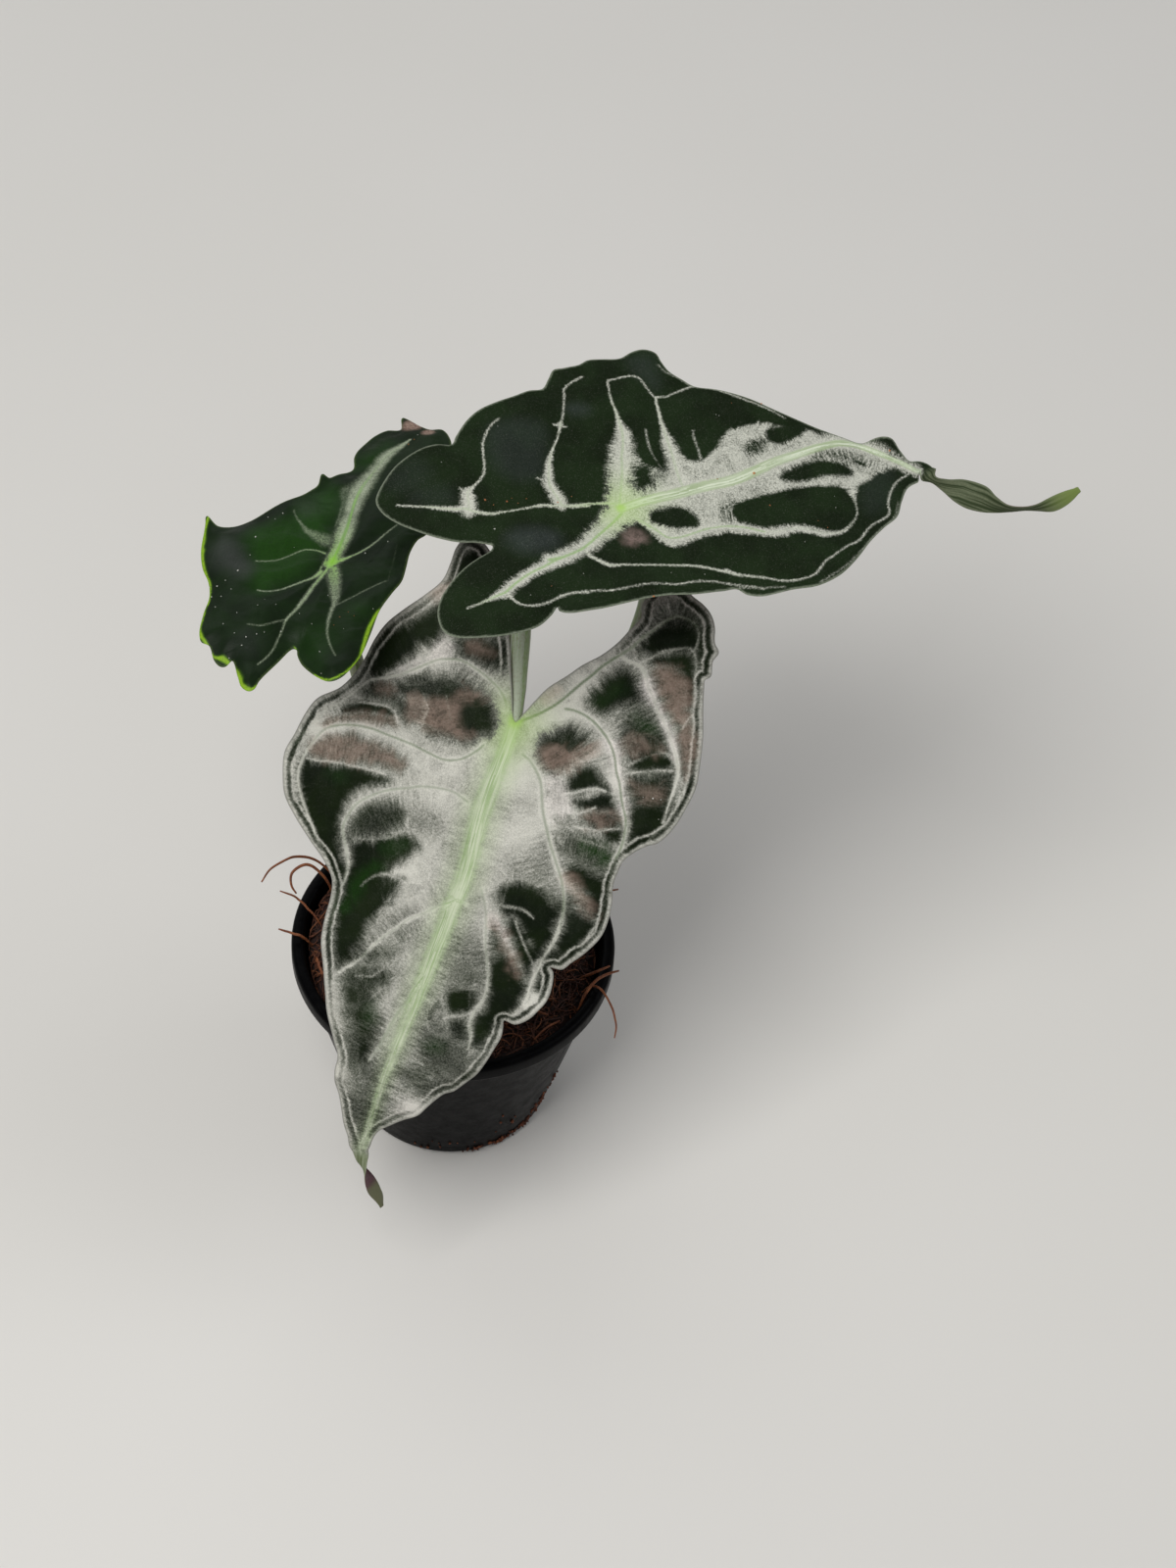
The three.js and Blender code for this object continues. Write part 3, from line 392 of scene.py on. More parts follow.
# ------------------------------------------------------------------ blade outlines and markings
# For each blade, in mm on the flat blade: hills (a, b, height, radius); the margin; veins
# (name, points with half-width, green core, core half-width, raggedness, strength); and
# patches, islands and tinted zones as loops with a strength and an edge softness. Of the
# tinted zones, the pink ones are a pink-brown tint with painted warm sheen in it, the bright
# ones are painted highlights and the grey ones are painted sheen.
LEAF_MARKS = {
    "leaf_front": {
        "hills": [(59.55, 18.6, -1.2, 4), (56.42, 23.07, 1.3, 5), (45.81, 24.28, -1.3, 4), (38.86, 29.28, 1.1, 6), (26.64, 30.89, -0.8, 5), (12.4, 37.23, 1.2, 8), (-1.83, 38.86, 0.8, 7), (-15.52, 34.7, -1, 6), (-25.53, 33.58, 1.5, 7), (-35.2, 24.03, -0.6, 8), (75.88, 14.28, -0.9, 5), (68.56, 18.04, 1, 5), (81.38, 10.07, 0.8, 5), (25.1, -39.66, 1.2, 9), (44.15, -24.79, -1.3, 7), (61.23, -20.46, 0.7, 7), (71.74, -15.64, -0.5, 6), (78.76, -11.37, 0.9, 4), (83.59, -10.68, -0.7, 4), (3.25, -34.11, -0.9, 7), (10.01, -39.7, 0.9, 6), (-16.6, -26.81, 0.7, 8), (-8.66, -31.4, -0.6, 6), (-31.3, -19.45, 1, 7), (-25.77, 16.87, 0.6, 6)],
        "outline": [(-0,0),(-6.38,-3.21),(-13.6,-6.32),(-20.66,-9.81),(-26.55,-13.73),(-30.51,-17.33),(-31.71,-20.37),(-30.69,-22.58),(-28.48,-23.48),(-25.13,-23.51),(-21.49,-23.85),(-17.28,-26.34),(-13.52,-29.08),(-9.33,-31.7),(-5.52,-32.9),(-0.85,-33.56),(3.16,-34.69),(6.22,-36.31),(9.75,-39.9),(13.41,-41.17),(18.14,-41.86),(22.2,-42.54),(26.63,-41.35),(30.49,-39.57),(33.79,-36.25),(37.33,-31.79),(40.58,-27.47),(43.73,-24.69),(47.03,-23.73),(51.56,-23.36),(56.38,-22.49),(60.85,-20.49),(66.18,-18.33),(70.6,-16.51),(75.77,-13.21),(78.36,-11.41),(81.9,-11.02),(84.31,-10.31),(86.61,-8.65),(89.84,-6.92),(92.41,-5.66),(96.26,-3.35),(99.08,-1.37),(99.26,0),(96.5,0.87),(93.57,1.03),(91.42,1.65),(89.25,3.56),(87.29,5.53),(84.97,8.27),(82.86,9.34),(80.58,10.52),(78.6,11.95),(77.42,13.66),(75.32,15.09),(72.12,16.9),(68.58,17.91),(65.5,18.55),(62.82,19.06),(60.81,18.75),(59.35,18.46),(59.23,20.83),(57,23.15),(54.57,24.43),(52.39,25.34),(49.86,25.47),(46.41,24.62),(45.62,23.7),(45.14,26.12),(42.88,27.53),(39.85,29.49),(36.04,31.31),(33.01,31.69),(28.63,31.14),(25.31,30.16),(22.68,30.09),(19.47,30.45),(17.26,31.79),(14.98,33.96),(13.68,35.84),(9.86,37.85),(5.16,38.89),(0.59,39.35),(-3.95,38.54),(-9.43,37.15),(-13.97,35.46),(-18.58,34),(-20.2,33.63),(-21.36,34.49),(-24.36,33.84),(-26.4,34.37),(-27.98,32.93),(-30.84,31.85),(-32.92,30.22),(-34.21,28.02),(-34.91,25.83),(-36.04,23.06),(-36.27,19.99),(-34.23,17.55),(-30.4,16.44),(-27.74,17.02),(-25.09,15.88),(-21.66,14.37),(-18.13,12.05),(-15.06,9.14),(-11.99,6.87),(-8.53,4.1),(-4.77,2.29),(-2.08,1.15)],
        "veins": [
            ("mid", [(-0,0,2.78),(4.6,-0,3.98),(9.3,-0.2,4.78),(14.4,-0.3,5.2),(19.7,-0.3,5.41),(32.8,0.8,5.25),(39.6,0.6,5.07),(46.6,0.5,4.9),(58,0.1,4.54),(66.2,-0.2,3.74),(71.8,-0.5,3.35),(80.4,-0.8,2.75),(87.4,-0.7,2.13),(95.1,-0.4,1.51),(98.8,-0.1,0.65)], 1, 2.4, 0.6, 1),
            ("V1", [(-2.6,-2.8,1.06),(-4.8,-5.1,1.49),(-6.3,-8.3,1.63),(-7.2,-11.4,1.63),(-7.7,-14.2,1.7),(-7.1,-17.1,1.63),(-6.3,-19.1,1.56),(-4.3,-21.4,1.28),(-2.2,-23.7,0.93),(-0.2,-26.1,0.72),(1,-28,0.54),(2.4,-30.6,0.43),(3.7,-31.7,0.43),(5.7,-32.9,0.43),(7.7,-34.4,0.35),(10,-36.2,0.39),(12.1,-38.1,0.39),(14.8,-39.2,0.36),(17.1,-40.2,0.4),(19.6,-40.8,0.36)], 0.55, 0.26, 0.9, 1),
            ("V1glow", [(-11.8,-18.8,0.89),(-10.3,-19,1.6),(-8.1,-19.7,2.49),(-5.3,-22.2,1.78),(-2.3,-25.3,1.43),(0.3,-28.2,0.57)], 0, 0, 1, 0.8),
            ("V2", [(6.6,-4.4,1.98),(8.4,-5.5,1.98),(10.9,-7.8,2.32),(12.2,-10.9,2.32),(12,-14.5,2.06),(11.6,-18.2,1.99),(11.5,-23.6,1.99),(11.5,-27.3,1.66),(12.1,-30.6,1.39),(13.2,-33.8,1.13),(14.7,-36.1,0.87),(16.6,-37.2,0.73),(18.5,-37.8,0.66),(20.5,-38.3,0.53),(23,-38.6,0.43),(26.1,-38.2,0.4),(28.7,-36.8,0.41),(31,-35.1,0.41),(32.9,-33.5,0.37),(35.1,-31.6,0.37),(36.8,-30.3,0.31),(38.3,-28.5,0.31),(40.2,-26.8,0.31),(42.2,-25.1,0.31),(44.1,-23.5,0.34)], 0.7, 0.24, 0.9, 1),
            ("V3", [(18.6,-3.6,1.99),(17.7,-7.1,1.66),(18.1,-10.6,1.66),(19,-13.8,1.66),(20.5,-16.8,1.67),(22,-19.8,1.67),(24.2,-22.6,1.54),(26.5,-24.7,1.41),(29.3,-25.8,1.28),(32.2,-26.1,1.08),(34.7,-25,0.89),(37.1,-23.5,0.75),(39.3,-22.6,0.62),(41.7,-22.1,0.52),(44,-22.3,0.44),(45.5,-22.6,0.41),(47.7,-22.6,0.4),(50.3,-22.1,0.4),(53.3,-21.6,0.4),(55.9,-20.9,0.41)], 0.5, 0.26, 0.9, 1),
            ("V3b", [(27.3,-12.2,1),(29.6,-15,0.6),(31.4,-17.2,0.34),(32.5,-19.7,0.24),(33.6,-22.2,0.2),(33.9,-23.9,0.17),(34.9,-26.8,0.1)], 0, 0, 0.9, 0.6),
            ("V3c", [(38,-10.9,1.01),(38,-13.4,0.47),(38.6,-15.4,0.3),(40,-17.1,0.2),(41.4,-18,0.14),(42.5,-18.4,0.07)], 0, 0, 0.9, 0.55),
            ("V4", [(38.3,0.7,2.33),(40.3,-1.5,1.55),(43,-4.2,1.32),(45.7,-7,1.17),(48.5,-8.9,1.17),(50.8,-10.6,1.18),(53.5,-12.1,1.1),(56.1,-13.3,0.86),(58.3,-14.6,0.71),(60.1,-16.1,0.63),(61.2,-16.9,0.56)], 0.3, 0.22, 0.9, 1),
            ("V5", [(55.7,0.1,1.57),(58.6,-0.9,1.34),(62.9,-1.9,1.35),(66.3,-2.9,1.35),(69.5,-3.4,1.2),(72.2,-3.8,1.04),(74.6,-4.2,0.8),(77.1,-5,0.56)], 0.45, 0.36, 0.8, 1),
            ("V5b", [(53.8,-6.3,1.18),(55.9,-7.2,0.47),(57.2,-8.4,0.32),(58.5,-9.6,0.24),(59.5,-10.1,0.2),(59.9,-12,0.2),(60.8,-13.4,0.16)], 0, 0, 0.9, 0.7),
            ("V5c", [(60.4,-5.7,0.95),(61,-7.1,0.32),(62.7,-8.2,0.24),(63.7,-8.7,0.16)], 0, 0, 0.9, 0.7),
            ("R1", [(0.2,0.2,1.42),(-1.7,2.6,1.49),(-4.1,5.1,1.56),(-6.7,7.2,1.63),(-9,8.6,1.63),(-11.4,10,1.63),(-13.7,11.5,1.56),(-16.1,12.9,1.42),(-18.1,14.4,1.21),(-19.4,15.5,0.92),(-21.2,17.1,0.78),(-23.9,18.4,0.78),(-25.9,19.9,0.7),(-28.7,21.9,0.6),(-30.2,23.6,0.53),(-30.5,26.1,0.42),(-29.8,28.3,0.35),(-28.7,29.3,0.31),(-26.6,29.7,0.28),(-24.8,29.6,0.28)], 0.9, 0.3, 0.9, 1),
            ("R1d", [(-19.4,15.5,0.78),(-18.9,17.9,0.71),(-18.6,20.3,0.92),(-17.3,21.9,1.63),(-15.4,23,2.13),(-13.7,24.7,1.91),(-11.4,26.7,1.56),(-8.9,29.2,1.41),(-6.9,31,1.27),(-4.3,33.1,0.99),(-1.5,34.7,0.71),(1.3,35.2,0.61),(4.3,35.3,0.5),(6.9,35.3,0.43),(9.5,35.4,0.35)], 0.25, 0.3, 1, 1.08),
            ("R1e", [(-19.2,20.1,0.5),(-21.1,21.7,0.43),(-23,23.6,0.35),(-24.6,26.5,0.32),(-25.4,28.8,0.35),(-24.5,29.9,0.35),(-22.3,31.1,0.29),(-19.7,31.5,0.25),(-16.3,32.7,0.25),(-12.9,33.8,0.25),(-8.8,35.7,0.28),(-5.6,37,0.32),(-2.5,37.6,0.32),(1,37.4,0.32),(4.5,36.8,0.32),(7.1,36.9,0.32),(10,36.1,0.39),(12.3,34.7,0.43),(15.1,33.4,0.43)], 0.25, 0.2, 0.5, 0.9),
            ("R2", [(-5.7,8.7,1.42),(-6,10.5,1.49),(-5.8,12.8,1.7),(-5,15.4,1.98),(-3.6,17.8,2.34),(-1.8,20,2.56),(0.3,21.6,2.63),(2.9,22.9,2.35),(5,24.4,1.92),(7.6,25.7,1.64),(9.4,26.8,1.5),(11.3,28,1.14),(14,28.8,0.93),(17,29.1,1.01),(19.4,28.8,1.09)], 0.8, 0.26, 0.9, 1.06),
            ("R2b", [(11.4,29.1,0.86),(14.5,29.3,0.87),(17.3,29.3,0.74),(19.3,28.6,0.74),(21.9,28.6,0.61),(24.9,29.3,0.41),(28,29.7,0.33),(30.7,29.8,0.3),(33.2,29.7,0.3),(35.4,29.1,0.3),(38.1,28.5,0.37),(40.4,28.1,0.48)], 0.2, 0.2, 0.7, 0.9),
            ("R2s1", [(-2.3,33.9,0.57),(-3.9,31,0.5),(-2.8,28.7,0.43),(-1.2,26.7,0.5),(0.9,24.4,0.71)], 0, 0, 1, 0.75),
            ("R2s2", [(-0.9,33.6,0.36),(-0.2,30.9,0.28),(0.7,28.9,0.32),(1.8,26.2,0.57),(2.7,24.7,0.92)], 0, 0, 1, 0.9),
            ("R3", [(5.8,3.6,1.32),(6.3,5.2,1.45),(7.7,7.1,1.65),(9.6,8.9,2.12),(12.6,10.3,2.52),(15.6,11.7,2.79),(18.5,13.5,2.66),(20.8,15,2.33),(23.6,17.1,2),(26.4,19.2,1.6),(28.8,20.7,1.34),(31.2,21.8,1.07),(33.8,22.5,0.87),(36.6,22.8,0.74),(39.5,22.7,0.58),(42,22.2,0.52),(44.4,21.6,0.48),(47,21.4,0.47),(49.2,21.2,0.46),(51.6,21.3,0.4),(53.2,21.6,0.4)], 0.55, 0.3, 0.9, 1.05),
            ("R3s1", [(10.7,13.8,0.99),(9.5,16.2,0.6),(8.4,17.9,0.46),(7.3,20,0.33),(7.2,22.1,0.2)], 0, 0, 1, 0.9),
            ("R3s2", [(14.4,15.2,1.33),(13.5,17.7,0.73),(12.3,19.7,0.33),(10.9,21.3,0.2)], 0, 0, 1, 0.9),
            ("R3s3", [(16,18.6,0.8),(15.5,21.2,0.46),(15.3,23.3,0.4),(14.6,24.8,0.4),(13.9,26.3,0.2),(13.5,27.9,0.2)], 0, 0, 1, 0.95),
            ("R3s4", [(18.6,17.4,1.33),(18.3,20.1,0.8),(17.8,22.7,0.47),(17.9,25.6,0.27),(17.5,27.6,0.27)], 0, 0, 1, 0.7),
            ("R3t", [(36.2,9.6,0.34),(36,11.3,0.34),(35.5,13.6,0.3),(35.8,15.8,0.24),(36.5,17.1,0.13)], 0, 0, 0.8, 0.75),
            ("R3u", [(38.2,13.7,0.16),(42.4,17.2,0.2),(44.7,19.2,0.24),(47,21,0.46),(48.1,21.6,0.46)], 0, 0, 0.6, 0.8),
            ("R4", [(34.6,5.1,2.32),(37.7,7,1.94),(41.3,8.4,1.71),(45.1,9.6,1.33),(48.3,11.1,1.02),(52,12.6,0.78),(55.2,13.1,0.79),(58,12.6,0.87),(59.9,12,0.95),(62.4,12.2,0.87),(64.9,13.3,0.63),(67.4,13.6,0.48)], 0.35, 0.26, 0.9, 1),
            ("R4b", [(58,12.6,0.55),(60.5,10.8,0.47),(61.5,8.7,0.63),(62.7,6.6,1.03)], 0, 0, 0.8, 0.9),
            ("R4c", [(53.2,9.1,0.16),(55.5,9.9,0.24),(57.9,10.5,0.2),(59.8,11.2,0.32)], 0, 0, 0.8, 0.4),
            ("R5", [(48.2,21.2,1.15),(45.5,20.7,1.02),(43.3,22,0.64),(42.4,22.2,0.4)], 0, 0, 0.6, 0.9),
            ("R5b", [(48.2,21.2,0.99),(50.6,21.3,0.84),(53,21.4,0.69),(55.8,20.7,0.64),(58.2,19.4,0.65)], 0, 0, 0.6, 0.9),
            ("S1", [(2.1,-19,0.28),(3.5,-17.7,0.25),(5.7,-17.7,0.29),(8,-17.6,0.36)], 0, 0, 0.8, 0.65),
            ("S2", [(-0.1,-15,0.18),(2.3,-13.6,0.18),(3.9,-12.6,0.18)], 0, 0, 0.8, 0.5),
            ("S3", [(7.5,-31.8,0.14),(6.7,-29,0.18),(6.1,-25.7,0.18),(6.5,-23.9,0.36),(7.6,-22.8,0.93),(9.1,-21.8,1.29)], 0, 0, 0.8, 0.85),
            ("S4", [(21.8,-37.8,0.17),(21.1,-34.8,0.23),(20.1,-31.3,0.23),(19.8,-28.5,0.27),(19.4,-25.8,0.33),(18.9,-21.7,0.6)], 0, 0, 0.8, 0.85),
            ("S5", [(-12.9,33.9,0.14),(-11.6,33.1,0.14),(-9.7,32.7,0.14)], 0, 0, 0.5, 0.9),
        ],
        "patches": [
        ],
        "islands": [
            ([(36.97,12.03),(38.81,15.44),(41,17.92),(43.67,20.53),(44.73,21.51),(46.61,21.11),(48.49,20.51),(47.62,19.15),(45.05,16.99),(41.61,14.3),(39.43,12.47)], 0.96, 0.9),
            ([(41.41,9.33),(40.49,10.07),(41.9,11.63),(44.22,13.72),(46.16,15.68),(47.86,17.12),(48.64,16.11),(47.1,13.02),(45.16,11.06),(43.16,9.94)], 0.6, 0.8),
            ([(48.02,21.4),(46.74,22.2),(45.46,22.81),(46.67,23.86),(48.95,23.85),(50.95,23.32),(50.82,22.42)], 0.9, 0.6),
            ([(43.45,21.93),(41.31,23.34),(39.66,25.79),(38.36,27.48),(40.61,27.41),(43.37,25.31),(45.08,23.31)], 0.85, 0.6),
            ([(25.37,-18.64),(24.05,-13.95),(23.77,-9.75),(24.72,-7.69),(27.14,-9.61),(29.14,-13.85),(28.48,-16.67)], 0.3, 1.4),
            ([(0.82,-11.67),(-0.9,-10.37),(-1.66,-7.66),(-0.31,-5.02),(2.65,-3.93),(5.3,-4.89),(6.18,-7.34),(4.32,-9.74)], 0.9, 1),
            ([(-0.66,-24.72),(-3.06,-22.8),(-3.74,-19.81),(-2.73,-16.85),(-0.11,-17.17),(2.25,-20.17),(2.14,-23.24)], 0.75, 1.2),
            ([(21.95,-38.11),(21.65,-35.7),(21.29,-32.98),(20.41,-30.08),(19.88,-27.05),(19.96,-24.16),(20.33,-20.44),(21.67,-23.54),(23.07,-25.19),(24.69,-26.4),(27.04,-26.99),(30.03,-27.36),(32.72,-27.33),(35.28,-26.45),(37.88,-24.61),(39.94,-23.27),(43,-22.6),(44.48,-23.11),(43.01,-24.42),(41.69,-25.77),(39.48,-27.74),(37.94,-29.51),(36.29,-30.95),(34.03,-32.63),(32.15,-34.35),(30.43,-35.54),(28.35,-36.72),(25.19,-37.83)], 1, 0.9),
            ([(29.43,-24.35),(26.83,-23.12),(25.25,-20.82),(24.38,-17.55),(25.27,-14.73),(27.89,-15.58),(29.86,-17.02),(32.32,-19.74),(32.98,-22.38),(31.44,-24)], 0.82, 1.1),
            ([(34.57,-22.96),(33.48,-20.73),(32.15,-18.39),(30.54,-15.29),(29.66,-12.37),(30.38,-10.82),(32.77,-11.48),(35.13,-12.58),(37.43,-13.5),(38.57,-11.37),(40.78,-11.46),(43.82,-12.56),(46.68,-13.73),(49.85,-14.58),(53.21,-15.35),(56.49,-15.94),(59.39,-16.66),(60.07,-17.29),(57.7,-19.19),(54.84,-20.2),(51.11,-21.12),(47.72,-21.71),(44.63,-22.04),(42.43,-22.05),(38.7,-22.22)], 1, 1),
            ([(60.93,-14.97),(59.59,-12.51),(58.45,-10.53),(57.67,-7.41),(59.06,-6.53),(61.39,-8.25),(63.99,-8.24),(66.93,-6.82),(68.99,-5.7),(72.07,-5.54),(74.34,-5.98),(77.52,-6.15),(78.48,-7.51),(76.23,-8.68),(73.14,-9.31),(70.38,-11.12),(68.68,-12.34),(66.97,-12.67),(65.18,-14.01),(63.27,-15.01)], 0.8, 1.3),
            ([(63.46,-14.89),(62.33,-13.11),(63.3,-11.49),(65.52,-10.76),(66.86,-11.84),(66.17,-13.58)], 0.9, 0.8),
            ([(73.9,-8.4),(72.84,-6.8),(73.75,-5.63),(76.13,-5.92),(77.99,-6.6),(77.24,-7.7)], 0.9, 0.8),
            ([(1.5,6.42),(-0.82,8.04),(-2.36,10.32),(-2.51,12.93),(-2.03,14.81),(-1.26,15.28),(0.41,14.75),(2.65,13.67),(5.01,12.26),(6.38,10.48),(6.08,8.09),(4.32,6.69),(2.6,6.25)], 0.93, 1.2),
            ([(6.38,15.1),(4.19,16.41),(3.55,18.29),(4.67,20.11),(6.53,21.84),(7.4,22.33),(7.12,20.29),(8.38,17.93),(9.33,15.64),(8.25,14.72),(7.16,14.85)], 1, 0.9),
            ([(11.24,17.21),(9.92,19.55),(8.46,20.78),(7.87,23.03),(8.79,24.42),(10.24,25.3),(10.62,23.68),(11.41,21.85),(11.48,20.11),(11.72,18.09)], 0.95, 0.7),
            ([(13.52,19.79),(11.47,22.93),(10.97,25.21),(12.03,27.19),(13.35,26.43),(14.79,23.07),(14.55,20.87)], 0.8, 0.8),
            ([(12.3,22.35),(11.44,23.62),(11.8,24.81),(13.06,24.21),(13.08,22.63)], 1, 0.6),
            ([(14.94,24.89),(14.13,26.71),(14.11,28.29),(15.57,28.65),(16.18,26.4)], 0.9, 0.7),
            ([(18.74,20.97),(17.73,23.43),(17.97,26.33),(19.18,28),(21.75,27.33),(21.54,25.49),(20.57,23.39),(19.95,21.58)], 0.75, 1.2),
            ([(24.59,20.96),(24.06,23.58),(24.21,26.44),(24.96,28.63),(26.64,29.57),(29.3,30),(31.29,29.68),(32.6,28.76),(31.11,27.51),(29.02,26.4),(27.73,24.89),(26.76,23.49),(25.75,21.72)], 1, 1),
            ([(34.98,23.27),(33.38,24.81),(32.95,27.13),(33.37,29.04),(32.51,30.13),(35,29.29),(37.5,28.08),(40,27.2),(41.76,25.66),(42.47,23.93),(40.3,23.56),(37.3,23.75)], 1, 0.9),
            ([(33.56,8.99),(32.22,9.22),(30.75,11.88),(30.51,14.61),(31.12,16.95),(32.17,19.08),(33.12,20.48),(34.93,21.41),(37.29,21.82),(39.53,21.63),(41.97,21.05),(43.62,20.62),(43.25,19.45),(41.28,17.71),(39.15,15.55),(38.3,13.84),(37.36,12.45),(36.52,10.74),(35.2,9.4)], 1, 1),
            ([(46.97,12.47),(45.77,13.48),(46.01,15.2),(47.06,16.99),(49.74,18.95),(51.38,20.15),(54.19,20.34),(56.82,19.36),(58.89,17.95),(60.6,17.11),(62.28,16.29),(63.84,15.23),(65.21,14.28),(63.67,13.32),(61.29,12.9),(58.44,13.76),(55.73,14.07),(52.49,13.57),(49.85,12.66)], 1, 1),
            ([(62.11,12.98),(60.76,14.54),(60.96,16.63),(62.53,16.79),(64.93,15.62),(65.7,14.66),(64.42,13.59)], 0.9, 0.7),
            ([(57.34,6.03),(55.67,7.1),(54.88,9.29),(55.49,11.13),(57.78,11.91),(59.82,10.98),(60.61,8.79),(59.62,6.81)], 0.97, 0.9),
            ([(62.79,8.71),(61.93,10.47),(62.93,11.84),(65.29,11.83),(65.71,10.12),(64.45,8.87)], 0.85, 0.9),
            ([(68.28,4.4),(66.88,6.4),(67.55,8.68),(70.68,9.72),(73.26,9.34),(73.45,6.95),(71.12,4.94)], 0.62, 1.6),
            ([(51.62,7.75),(51.09,9.21),(52.78,10.4),(54.62,10.01),(55.09,8.13),(53.52,7.18)], 0.55, 1.2),
            ([(46.32,2.64),(44.89,5.42),(46.71,8.51),(51.14,10.25),(54.75,9.65),(55.67,7.1),(52.81,4.48),(49.57,2.95)], 0.42, 1.8),
            ([(47.22,-11.02),(45.1,-7.63),(46.27,-5.17),(49.28,-5.36),(51.13,-8.02),(50.47,-10.72)], 0.34, 1.8),
            ([(54.28,-11.88),(52.43,-9.22),(52.35,-6.77),(54.12,-6.99),(55.98,-9.65),(56.43,-11.97)], 0.45, 1.4),
            ([(27,7.37),(23.9,10.14),(23.22,14.13),(25.09,16.91),(28.78,17.53),(30.41,13.87),(31.41,10)], 0.36, 2),
            ([(46.33,3.56),(44.66,6.17),(48.08,8.78),(53.4,10.26),(55.51,8.51),(52.93,5.49)], 0.4, 1.8),
            ([(14.64,2.38),(12.91,5.29),(14.65,8.31),(19.65,10.11),(22.5,8.03),(20.25,4.4)], 0.16, 2),
            ([(76.82,1.47),(75.31,4.28),(75.39,7.6),(77.18,7.39),(78.2,3.59)], 0.4, 1.2),
            ([(78.49,6.19),(76.67,8.86),(76.74,11.31),(79.08,10.51),(80.74,8.2)], 0.55, 1.2),
            ([(86.51,-6.17),(85.66,-5.19),(87.42,-3.99),(89.38,-4.4),(88.56,-5.71)], 0.4, 1),
            ([(-9.53,12.24),(-11.71,13.72),(-14.05,15.13),(-16.45,17.29),(-16.59,19.89),(-14.94,21.64),(-12.85,22.03),(-11.06,20.03),(-8.99,17.75),(-7.65,15.97),(-7.62,13.71)], 1, 1.2),
            ([(-7.19,20.69),(-9.31,22.57),(-9.44,25.18),(-8.12,27.94),(-6.58,30.02),(-4.72,31.09),(-3.78,31.05),(-3.14,27.49),(-1.68,25.36),(-0.89,24.13),(-3.27,22.32),(-5.09,21.08)], 0.72, 1.3),
            ([(-0.17,24.78),(-1.52,26.56),(-2.88,29.48),(-3.35,31.97),(-2.15,33.36),(-0.97,32.08),(0.35,28.76),(1.15,26.4),(0.83,25.14)], 1, 0.8),
            ([(2.66,25.81),(1.18,29.07),(-0.44,33.8),(0.78,34.63),(2.56,34.9),(5.06,34.67),(6.46,33.29),(7.06,30.46),(7.42,28.31),(5.77,26.57),(3.83,25.67)], 0.8, 1),
            ([(8.47,29.07),(7.16,31.26),(7.17,33.93),(8.04,35.2),(10.26,35.25),(12.11,34.22),(14.27,33.48),(16.35,31.94),(17.12,30.88),(14.34,30.07),(11.53,29.43)], 1, 0.9),
            ([(-24.01,19.83),(-26.64,21.12),(-28.18,23.59),(-28.45,26.54),(-28.13,28.77),(-26.26,29.66),(-25.38,27.69),(-24.2,25.07),(-22.77,22.56),(-21.58,20.34),(-21.91,19.08)], 1, 0.9),
            ([(-20.37,22.3),(-22.1,24.33),(-23.28,27.32),(-23.55,29.33),(-21.32,30.52),(-18.23,31.63),(-15.45,32.44),(-13.23,32.49),(-15.13,31.42),(-17.95,30.78),(-20.45,29.12),(-21.09,26.6),(-20.61,24.11)], 1, 0.7),
            ([(-18.61,23.71),(-20.29,25.37),(-20.44,27.98),(-18.52,30.19),(-15.91,31.51),(-12.52,32.56),(-10.19,32.1),(-10.97,29.92),(-12.63,28.17),(-14.85,25.84),(-16.51,24.1)], 0.75, 1.2),
            ([(-9.48,32.17),(-10.73,33.8),(-7,35.76),(-4.45,36.89),(-1.47,36.85),(-0.47,36.08),(-3.72,34.69),(-6.82,32.97)], 0.78, 0.8),
            ([(-28.75,29.49),(-26.97,31.69),(-24.79,32.88),(-22.31,33.4),(-21.62,32.5),(-24.2,31.18),(-26.76,30.05)], 0.95, 0.7),
            ([(-2.09,38.71),(0.53,38.72),(4.11,38.12),(6.39,38.01),(5.89,37.26),(2.88,37.3),(-0.7,37.89)], 0.8, 0.5),
            ([(-5.27,-32.29),(-7.55,-31.2),(-9.59,-28.82),(-11.97,-26.57),(-14.31,-24.34),(-16.42,-22.63),(-13.97,-21.14),(-12.32,-20.53),(-9.27,-21.71),(-7.27,-24.06),(-4.86,-25.49),(-1.79,-26.67),(0.85,-29.61),(1.05,-31.1),(-1.52,-32.25)], 1, 1.1),
            ([(-12,-16.2),(-12.31,-13.25),(-13.85,-10),(-15.13,-7.42),(-12.57,-6.28),(-9.44,-5.68),(-9.1,-8.23),(-9.4,-11.02),(-9.74,-14.21),(-10.36,-15.59)], 0.88, 1.3),
            ([(1.16,-25.57),(-0.78,-22.41),(-2.69,-19.26),(-4.09,-15.94),(-3.92,-12.81),(-3.41,-9.56),(-1.99,-6.74),(0.41,-5.1),(3.23,-4.63),(5.26,-5.6),(6.49,-7.44),(7.29,-11.74),(7.53,-15.48),(6.5,-17.79),(2.42,-18.91),(3.02,-22.54),(2.8,-24.95)], 0.86, 1.1),
            ([(10.47,-34.49),(8.32,-32.62),(6.96,-30.43),(6.4,-27.51),(6.27,-25.21),(7.2,-23.7),(8.03,-26.89),(9,-30.42),(10.07,-32.34)], 0.95, 0.5),
            ([(14.05,-36.63),(11.53,-34.86),(9.78,-32.06),(8.39,-28.32),(7.88,-25),(8.52,-23.21),(10,-26.15),(11.21,-30.36),(12.61,-33.7),(14.17,-35.43)], 0.75, 0.8),
            ([(2.69,-30.49),(2.22,-28.3),(2.08,-26.01),(2.94,-23.35),(1.76,-19.15),(5.84,-18.03),(7.3,-20.96),(6.08,-23.73),(5.22,-26.39),(5.63,-29.37),(5.5,-30.99)], 0.72, 0.9),
